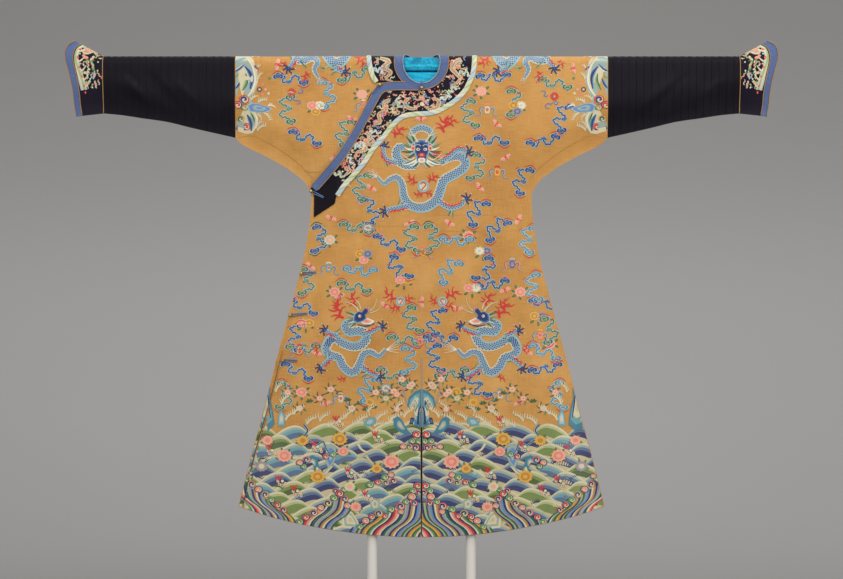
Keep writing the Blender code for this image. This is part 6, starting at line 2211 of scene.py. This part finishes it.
for x, y, shape, turn, tone in (
    (399, 104, 1, -20, "g"), (446, 98, 0, -30, "t"), (451, 92, 1, 40, "g"), (376, 133, 2, 10, "s"),
    (359, 146, 1, 70, "t"), (350, 160, 2, 60, "s"), (463, 74, 1, 90, "g"), (377, 71, 1, 90, "t"),
    (340, 176, 2, 20, "g"),
):
    family = CLOUD_TONES[tone]
    line = smooth_line(spot(CLOUD_PATHS[shape], (x, y), turn, 0.42), 0.6)
    line = line + sideways(line) * (0.4 * np.sin(np.arange(len(line)) * 1.3))[:, None]
    band(line, (-0.9, -0.3, 0.4, 0.9), ("white", family[1], "pale_blue"), 2, step=0.7)
    patch(spot(round_shape(1.4, 3, 0.2, count=12), line[0]), ("white", family[1]), 3)
for x, y, turn in (
    (395, 96, 10), (448, 105, 30), (362, 160, 60), (370, 119, 10), (453, 78, 60), (352, 171, 20),
    (388, 92, 0), (412, 94, 20), (431, 93, 0)
):
    bat((x, y), turn, 2, 0.42, ("pink", "pink"))
for x, y, tone in (
    (403, 97, "white"), (428, 101, "white"), (414, 104, "coral"), (441, 95, "white"), (444, 105, "cream"),
    (455, 70, "coral"), (392, 109, "white"), (376, 121, "coral"), (383, 127, "white"), (369, 150, "white"),
    (361, 138, "pale_green"), (355, 165, "white"), (347, 180, "coral"), (456, 96, "coral"),
    (459, 89, "white"), (463, 66, "pale_green"), (382, 67, "white"), (380, 76, "coral"),
    (373, 142, "coral"), (359, 154, "red"), (349, 164, "red"), (343, 172, "white"),
    (405, 106, "pale_green"), (437, 104, "pale_green"),
):
    patch(spot(round_shape(0.9, 4, 0.2, count=8), (x, y)), (tone,), 2)
for x, y, turn in ((342, 181, 30), (338, 172, 40), (346, 186, 20), (455, 100, 140), (392, 92, 200)):
    comb((x, y), turn, 2, 0.5, 3)


def cuff_motifs():
    """Sea spray along the outer gold cord, a tan dragon at the top, bats and flowers, on the upper two
    thirds. Drawn in 3 mm steps from the sleeve seam and the cuff's upper fold."""
    band(
        ((27.5, -3), (26.5, 6), (25.5, 14), (24.0, 22), (22.5, 30), (21.5, 36)),
        (-3.4, -1.6, 0.4, 2.2, 3.6), ("cream", "pale_green", "cream", "pale_blue"), 1
    )
    for y in (2, 8, 15, 22, 29, 34):
        stroke(
            ((24.5 - y * 0.12, y), (21.0 - y * 0.12, y - 1.6), (18.0 - y * 0.12, y - 4.4)), 1.5, "cream", 2,
            (1.0, 0.5)
        )
        stroke(((24.5 - y * 0.12, y + 1.6), (21.8 - y * 0.12, y + 1.2)), 1.2, "pale_blue", 2)
        patch(spot(round_shape(1.1, count=8), (23.6 - y * 0.1, y + 4.0)), ("red", "coral"), 3)
    small_dragon(
        (
            (22.5, 1.5), (19.0, 2.5), (18.5, 6.5), (14.5, 6.0), (13.0, 2.0), (9.0, 3.5), (6.5, 6.5),
            (3.5, 5.0)
        ),
        3.4, 2, (17.0, 3.5)
    )
    small_dragon(((17.5, -2.0), (12.0, -3.0), (7.0, -1.0), (3.0, -2.5)), 3.0, 2)
    for x, y, turn, tones in (
        (9.5, 11.5, 60, ("pale_green", "cream")), (16.5, 11.5, -20, ("pink", "coral")),
        (9.0, 17.0, 110, ("pale_green", "pale_green")), (16.0, 23.5, 10, ("cream", "cream")),
        (8.5, 25.5, 70, ("sea", "pale_blue")), (7.5, 32.0, 100, ("pale_blue", "pink")),
        (15.5, 31.0, 20, ("cream", "pale_green")),
    ):
        bat((x, y), turn, 2, 0.55, tones, "pink")
    draw = np.random.default_rng(9)
    for number in range(34):
        place = (draw.uniform(2.0, 22.0), draw.uniform(-6.0, 34.0))
        tone = ("tan", "cream", "pale_blue", "green", "coral", "pale_green")[int(draw.integers(0, 6))]
        wisp = ((-2.0, 0.7), (-0.7, -0.7), (0.7, 0.6), (2.2, -0.5))
        stroke(spot(wisp, place, draw.uniform(0.0, 360.0)), 1.0, tone, 1, (0.7, 1.0, 0.5), step=0.9)
    for x, y in (
        (13.0, 15.0), (12.6, 20.5), (13.0, 28.0), (11.5, 34.5), (5.0, 21.0), (4.5, 14.0), (17.6, 17.5)
    ):
        patch(spot(round_shape(0.7, count=8), (x, y)), ("white",), 2)


for ground in ("cuff_left", "cuff_right"):
    cuff_motifs()


# Everything drawn so far is laid on the cloth: the front as it is, the back as the same drawing turned half
# round.
HIDDEN_MARGIN = 0.004
EDGE_MARGIN = 0.0016
STITCH_LIMIT = 0.006
CUFF_REACH = 0.105
CUFF_HEIGHT = 0.165
embroidery_silk, source, shader = surface_material(
    "embroidery_silk", roughness=0.42, sheen_weight=0.18, sheen_roughness=0.4, specular_ior_level=0.42
)
thread_tone = source.node("ShaderNodeAttribute", {"attribute_name": "thread"})
stitch_map = source.on_map("stitch")
floss = stitch_map.stretched((1400.0, 60.0, 1.0))
strands = floss.noise(1.0, 2.0)
place = source.object_place()
faded = place.noise(60.0, 2.0)
shade = (strands * 0.35 + faded * 0.35 + 0.65).mix((0.0, 0.0, 0.0, 1.0), (1.0, 1.0, 1.0, 1.0))
lighter = thread_tone.times_colour(shade)
feed(
    shader, base_color=lighter, roughness=strands * 0.2 + 0.32,
    normal=bump_from(source, strands, 0.5, 0.0004)
)


def stitched_piece(name, points, maps, tones):
    """Mesh of loose stitched quads as triangles, each quad with its own cell of the baked map, and its
    thread's colour on its corners."""
    count = len(points)
    across = int(math.ceil(math.sqrt(count)))
    cell = np.stack([np.arange(count) % across, np.arange(count) // across], axis=1) / across
    inset = np.array(((0.3, 0.3), (0.3, 0.7), (0.7, 0.7), (0.7, 0.3))) / across
    layout = cell[:, None, :] + inset[None, :, :]
    corner = np.arange(count * 4).reshape(count, 4)
    triangles = np.concatenate([corner[:, (0, 1, 2)], corner[:, (0, 2, 3)]])
    flat = points.reshape(-1, 3)
    a, b, c = (flat[triangles[:, n]] for n in range(3))
    size = np.linalg.norm(np.cross(b - a, c - a), axis=1)
    triangles = triangles[size > 2e-9]
    used, new = np.unique(triangles, return_inverse=True)
    triangles = new.reshape(-1, 3)
    made = mesh_from(name, flat[used], triangles, smooth=False)
    mesh = made.data
    loops = used[triangles.ravel()]
    mesh.uv_layers.new(name="stitch").data.foreach_set("uv", maps.reshape(-1, 2)[loops].ravel())
    mesh.uv_layers.new(name="OFBake").data.foreach_set("uv", layout.reshape(-1, 2)[loops].ravel())
    colours = np.ones((len(loops), 4), dtype=np.float32)
    colours[:, :3] = np.repeat(tones, 4, axis=0)[loops]
    mesh.attributes.new("thread", "FLOAT_COLOR", "CORNER").data.foreach_set("color", colours.ravel())
    mesh.materials.append(embroidery_silk)
    on_root(made, "cream_embroidery")


def gathered(key):
    """All the stitching drawn on one ground: its quads, heights, maps and thread colours."""
    quads, levels, maps, tones = (np.concatenate(part) for part in zip(*worked[key]))
    return quads, levels, maps, tones


def turned_outwards(quads, maps, levels, sign=1.0):
    """Puts the corners of each quad in the order that makes it face out of the cloth."""
    first = quads[:, 2] - quads[:, 0]
    second = quads[:, 3] - quads[:, 1]
    wrong = (first[:, 0] * second[:, 1] - first[:, 1] * second[:, 0]) * sign > 0.0
    for array in (quads, maps, levels):
        array[wrong] = array[wrong][:, ::-1]
    return quads, maps, levels


def collar_covers(x, run):
    """True where the collar facing and its borders lie over the ground."""
    depth = depth_at(run)
    free = np.where(depth > 0.10, read_table(OVERLAP_EDGE, depth), -0.155) - HIDDEN_MARGIN
    front = (x < read_table(COLLAR_EDGE, depth) + HIDDEN_MARGIN) & (x > free) & (depth < COLLAR_EDGE[-1][0])
    back = np.hypot(x / (COLLAR_SIDE + HIDDEN_MARGIN), run / (COLLAR_BACK + HIDDEN_MARGIN)) < 1.0
    return np.where(run < 0.0, back, front)


def within_cloth(points, side):
    """Points held inside the cloth's edges: the side seams, the curved hem and the slit at the centre."""
    x = points[..., 0]
    run = points[..., 1]
    sign = np.where(run < 0.0, -1.0, 1.0)
    depth = depth_at(run)
    hem = HEM_DEPTH - HEM_RISE * np.minimum(np.abs(x) / HEM_HALF_WIDTH, 1.0) ** 2 - EDGE_MARGIN
    depth = np.minimum(depth, hem)
    inner = np.where((depth > 0.98) & (run > 0.0), vent_half_gap(depth) + 0.0008, 0.0)
    outer = half_width(depth) - EDGE_MARGIN
    held = np.clip(x * side, inner, outer) * side
    return np.stack([held, sign * run_at(depth)], axis=-1)


def quartered(array):
    """Each quad of a stack of corner values cut into four at the middles of its sides."""
    a, b, c, d = (array[:, n] for n in range(4))
    ab, bc, cd, da, middle = (a + b) / 2, (b + c) / 2, (c + d) / 2, (d + a) / 2, (a + b + c + d) / 4
    parts = (a, ab, middle, da), (ab, b, bc, middle), (middle, bc, c, cd), (da, middle, cd, d)
    return np.concatenate([np.stack(part, axis=1) for part in parts])


quads, levels, maps, tones = gathered("body")
quads = on_cloth(quads)
for turn in range(2):
    extent = np.ptp(quads, axis=1).max(axis=1)
    coarse = (extent > STITCH_LIMIT) & (np.abs(quads[..., 1]).min(axis=1) < ARC + 0.004)
    fine = [quartered(array[coarse]) for array in (quads, levels, maps)] + [np.tile(tones[coarse], (4, 1))]
    kept = (array[~coarse] for array in (quads, levels, maps, tones))
    quads, levels, maps, tones = (np.concatenate([old, new]) for old, new in zip(kept, fine))
quads = np.concatenate([quads, -quads])
keep_front = np.concatenate(
    [quads[: len(levels), :, 1].mean(axis=1) > 0.0, quads[len(levels) :, :, 1].mean(axis=1) < 0.0]
)
quads, levels, maps, tones = (
    array[keep_front] for array in (
        quads, np.tile(levels, (2, 1)), np.tile(maps, (2, 1, 1)), np.tile(tones, (2, 1))
    )
)
middle = quads.mean(axis=1)
shown = ~collar_covers(middle[:, 0], middle[:, 1]) & (np.abs(middle[:, 0]) < SLEEVE_SEAM_X)
quads, levels, maps, tones, middle = (array[shown] for array in (quads, levels, maps, tones, middle))
quads, maps, levels = turned_outwards(quads, maps, levels)
side = np.where(middle[:, 0] < 0.0, -1.0, 1.0)
crossing = (quads[..., 0].min(axis=1) < 0.0) & (quads[..., 0].max(axis=1) > 0.0)
quads, levels, maps, tones = (
    np.concatenate([array, array[crossing]]) for array in (quads, levels, maps, tones)
)
quads = within_cloth(quads, np.concatenate([side, -side[crossing]])[:, None])
middle = quads.mean(axis=1)
is_back = middle[:, 1] < 0.0
covered = on_overlap(middle[:, 0], depth_at(middle[:, 1])) & ~is_back
groups = (
    ("left_half_embroidery", "front", (middle[:, 0] >= 0.0)),
    ("right_half_embroidery", "right_front", (middle[:, 0] < 0.0) & ~covered),
    ("front_overlap_embroidery", "overlap", (middle[:, 0] < 0.0) & covered),
)
for name, panel, chosen in groups:
    points = lifted(on_panel(panel), quads[chosen][..., 0], quads[chosen][..., 1], levels[chosen])
    stitched_piece(name, points, maps[chosen], tones[chosen])

quads, levels, maps, tones = gathered("collar")
quads, maps, levels = turned_outwards(on_cloth(quads), maps, levels)
quads, maps, levels, tones = (
    array[quads[:, :, 1].min(axis=1) > 0.002] for array in (quads, maps, levels, tones)
)
x, run = quads[..., 0], quads[..., 1]

resting = levels + rest(x, run) + FACING
middle = quads.mean(axis=1)
depth = depth_at(middle[:, 1])
on_right = (middle[:, 0] < 0.0) & (middle[:, 0] < read_table(OVERLAP_EDGE, depth) + 0.02) & (depth < 0.08)
over_shoulder, over_front = (
    lifted(on_panel(panel), x, run, resting) for panel in ("right_front", "front_top")
)
points = np.where(on_right[:, None, None], over_shoulder, over_front)
stitched_piece("collar_embroidery", points, maps, tones)

for side, end in ((1.0, "left"), (-1.0, "right")):
    quads, levels, maps, tones = gathered(f"cuff_{end}")
    quads = quads * PATTERN_STEP / (CUFF_REACH, CUFF_HEIGHT)
    both = np.concatenate([quads, quads * (1.0, -1.0)])
    levels, maps, tones = np.tile(levels, (2, 1)), np.tile(maps, (2, 1, 1)), np.tile(tones, (2, 1))
    half = len(quads)
    middle = both.mean(axis=1)
    keep = np.where(np.arange(len(both)) < half, middle[:, 1] > 0.0, middle[:, 1] <= 0.0)
    both, levels, maps, tones = (array[keep] for array in (both, levels, maps, tones))
    both[..., 0] = np.clip(both[..., 0], 0.03, BAND_FROM - 0.045)
    both, maps, levels = turned_outwards(both, maps, levels, side)
    face = cuff_face(side)
    points = lifted(face, both[..., 0], both[..., 1], levels * side)
    stitched_piece(f"cuff_{end}_embroidery", points, maps, tones)


# The fastenings
# Six cast brass ball buttons, each on a shank, with a doubled cord loop sewn to the cloth and passed round
# it.
FASTENINGS = (
    ("neck", 0.0005, 0.096, 0.0005, 0.074), ("collarbone", -0.125, 0.087, -0.146, 0.112),
    ("underarm", -0.331, 0.405, -0.292, 0.423), ("side_upper", -0.3600, 0.651, -0.3160, 0.648),
    ("side_middle", -0.3940, 0.776, -0.3420, 0.771), ("side_lower", -0.4150, 0.912, -0.3720, 0.912),
)
BALL_PROFILE = (
    (0.0016, 0.0000), (0.0015, 0.0030), (0.0016, 0.0042), (0.0030, 0.0044), (0.0043, 0.0056),
    (0.0050, 0.0078), (0.0047, 0.0100), (0.0036, 0.0116), (0.0018, 0.0125), (0.0004, 0.0127),
)
BALL_SIDES = 24
LOOP_RADIUS = 0.0014
LOOP_HALF_WIDTH = 0.0034
SIDE_FASTENING_SLACK = 0.0006
BRASS = (0.60, 0.40, 0.14)
BRASS_DULL = (0.24, 0.15, 0.055)
CORD_BLUE = (0.080, 0.150, 0.300)

brass, source, shader = surface_material("old_brass", BRASS, 0.34, metallic=1.0)
place = source.object_place()
worn = place.noise(420.0, 4.0)
dull = worn.rising(0.42, 0.64)
feed(
    shader,
    base_color=dull.mix((*BRASS, 1.0), (*BRASS_DULL, 1.0)),
    roughness=dull * 0.3 + 0.26,
    normal=bump_from(source, worn, 0.25, 0.0004),
)

# The cord's blue darker and lighter along the twist: a painted shade and a painted highlight.
CORD_SHADE_AND_HIGHLIGHT = [[channel * share for channel in CORD_BLUE] for share in (0.55, 1.25)]
cord_silk = twisted_cord("loop_cord", CORD_BLUE, *CORD_SHADE_AND_HIGHLIGHT, 0.6, 0.0006, sheen_weight=0.3)


def stack_height(name, x, run):
    """Height above the crossing front at which a fastening lies, on the layers that are under it there."""
    layers = {"neck": 3, "collarbone": 2, "underarm": 1}.get(name, 0)
    if layers == 0:
        return np.full(np.shape(x), GAP + SIDE_FASTENING_SLACK)
    return rest(x, run) * (layers + 1) + FACING + BAND * (layers - 1)


def turned_ball(name, foot, tip):
    """The ball's profile turned about the line from its foot to its tip."""
    up = (tip - foot) / np.linalg.norm(tip - foot)
    side = np.cross(up, (0.0, 0.0, 1.0))
    side = side / np.linalg.norm(side)
    third = np.cross(up, side)
    radius, height = np.array(BALL_PROFILE).T
    angle = np.linspace(0.0, 2 * math.pi, BALL_SIDES, endpoint=False)
    ring = np.cos(angle)[None, :, None] * side + np.sin(angle)[None, :, None] * third
    points = foot + ring * radius[:, None, None] + up * height[:, None, None]
    made = mesh_from(name, points.reshape(-1, 3), grid_faces(len(radius), BALL_SIDES))
    close_tube(made, len(radius), BALL_SIDES)
    made.data.materials.append(brass)
    return made


overlap_face = on_panel("overlap")
for name, ball_x, ball_depth, strap_x, strap_depth in FASTENINGS:
    at = np.array([ball_x])
    at_run = run_at(np.array([ball_depth]))
    base = stack_height(name, at, at_run)
    foot = lifted(overlap_face, at, at_run, base)[0]
    tip = lifted(overlap_face, at, at_run, base + 0.01)[0]
    button = turned_ball(f"ball_{name}", foot, tip)
    on_root(button, "brass", f"button_{name}")

    eye = np.array([ball_x, at_run[0]])
    strap = np.array([strap_x, run_at(strap_depth)]) - eye
    length = float(np.hypot(*strap))
    ahead = strap / length
    aside = np.array([ahead[1], -ahead[0]])
    turn = np.linspace(-math.pi / 2, math.pi / 2, 13)[:, None]
    curve = eye - ahead * LOOP_HALF_WIDTH * np.cos(turn) + aside * LOOP_HALF_WIDTH * np.sin(turn)
    share = np.linspace(1.0, 0.08, 12)[:, None]
    out = eye + ahead * length * share - aside * LOOP_HALF_WIDTH * (1 - 0.5 * share)
    back = eye + ahead * length * share[::-1] + aside * LOOP_HALF_WIDTH * (1 - 0.5 * share[::-1])
    route = np.vstack([out, curve, back])
    centre = lifted(overlap_face, route[:, 0], route[:, 1], np.full(len(route), base[0] + LOOP_RADIUS))
    cord_loop = tube(f"cord_{name}", centre, LOOP_RADIUS, cord_silk)
    on_root(cord_loop, "cord", f"loop_{name}")


# The stand
# A bar padded and covered in turquoise cloth on two white painted steel posts, above a painted base plate.
BAR_SHADE = (0.0, 0.070, 0.150, 1.0)
BAR_UNDERSIDE_PAINTED_LIGHT = (0.060, 0.700, 0.950, 1.0)
BAR_MIDDLE = 1.749
white_paint, source, shader = surface_material(
    "white_paint", (0.60, 0.57, 0.51), 0.38, specular_ior_level=0.5
)
place = source.object_place()
orange_peel = place.noise(260.0, 2.0)
scuffs = place.noise(7.0, 6.0)
worn = scuffs.rising(0.60, 0.75)
feed(
    shader,
    base_color=worn.mix((0.62, 0.59, 0.53, 1.0), (0.50, 0.47, 0.42, 1.0)),
    roughness=worn * 0.2 + 0.34,
    normal=bump_from(source, orange_peel, 0.12, 0.0004),
)
bar_cloth, source, shader = surface_material("bar_cover", TURQUOISE, 0.34, specular_ior_level=0.14)
place = source.object_place()
pulled = place.stretched((38.0, 20.0, 26.0))
gathers = pulled.noise(1.0, 3.0, 1.2)
# Painted shade on the bar towards its ends, more than 45 mm from the middle, where the robe hides it.
beside = place.part(0)
beside = beside.math("ABSOLUTE", beside, 0.0)
shaded = beside.rising(0.045, 0.075, "SMOOTHSTEP")
# Painted highlights on the tops of the gathers.
glints = gathers.rising(0.38, 0.68, "SMOOTHSTEP")
painted_glint_colour = glints.mix((*deep_turquoise, 1.0), (*TURQUOISE_LIGHT, 1.0))
tone = source.node(
    "ShaderNodeMix", {"data_type": "RGBA"}, {0: shaded * 0.8, 6: painted_glint_colour, 7: BAR_SHADE}, give=2
)
height = place.part(2)
# Painted light on the bar's lower half, which hangs in shade.
painted_light_below = height.rising(BAR_MIDDLE, BAR_MIDDLE - 0.019)
tone = source.node("ShaderNodeMix", {"data_type": "RGBA"}, {0: painted_light_below, 6: tone, 7: BAR_UNDERSIDE_PAINTED_LIGHT}, give=2)
feed(shader, base_color=tone, roughness=gathers * 0.2 + 0.26, normal=bump_from(source, gathers, 1.0, 0.012))
for node, finish in (
    ("crossbar", bar_cloth), ("post_left", white_paint), ("post_right", white_paint),
    ("base_plate", white_paint),
):
    for slot in bpy.data.objects[node].material_slots:
        slot.material = finish


# The cloth as sheets
# How each piece of cloth was cut before it was sewn and hung.
SHEETS = [
    ("left_half", 0.560, 2.935, 1.30, "hung", "crossbar", ("left_half_embroidery", "vent_cord")),
    ("right_half", 0.560, 2.935, 1.30, "hung", "crossbar", ("right_half_embroidery",)),
    ("front_overlap", 0.555, 1.375, 0.56, "hung", "right_half_cloth", ("front_overlap_embroidery",)),
    ("sleeve_left", 0.516, 0.500, 0.221, "hung", "crossbar", ()),
    ("sleeve_right", 0.516, 0.500, 0.221, "hung", "crossbar", ()),
    (
        "collar_front", 0.440, 0.410, 0.058, "laid", "left_half_cloth",
        ("collar_embroidery", "rope_front_silk")
    ),
    ("collar_back_left", 0.158, 0.151, 0.020, "laid", "left_half_cloth", ()),
    ("collar_back_right", 0.158, 0.232, 0.030, "laid", "right_half_cloth", ("rope_back_silk",)),
    ("collar_end", 0.095, 0.155, 0.0084, "laid", "front_overlap_cloth", ()),
    (
        "neck_band", 0.022, 0.500, 0.011, "laid", "collar_back_left_cloth",
        ("outer_neck_cord", "inner_neck_cord")
    ),
    (
        "overlap_band", 0.022, 0.510, 0.0112, "laid", "collar_front_cloth",
        ("lower_band_cord", "upper_band_cord")
    ),
    ("neck_lining", 0.196, 0.115, 0.0225, "hung", "left_half_cloth", ()),
]
for end in ("left", "right"):
    sewn = (f"cuff_{end}_embroidery", f"seam_cord_{end}", f"inner_cord_{end}")
    SHEETS.append((f"cuff_{end}", 0.452, 0.111, 0.0435, "hung", f"sleeve_{end}_cloth", sewn))
    SHEETS.append(
        (f"cuff_band_{end}", 0.024, 0.452, 0.0103, "laid", f"cuff_{end}_cloth", (f"outer_cord_{end}",))
    )
made_pieces = bpy.data.objects
for name, width, length, area, held, under, joined in SHEETS:
    joined = [made_pieces[piece] for piece in joined]
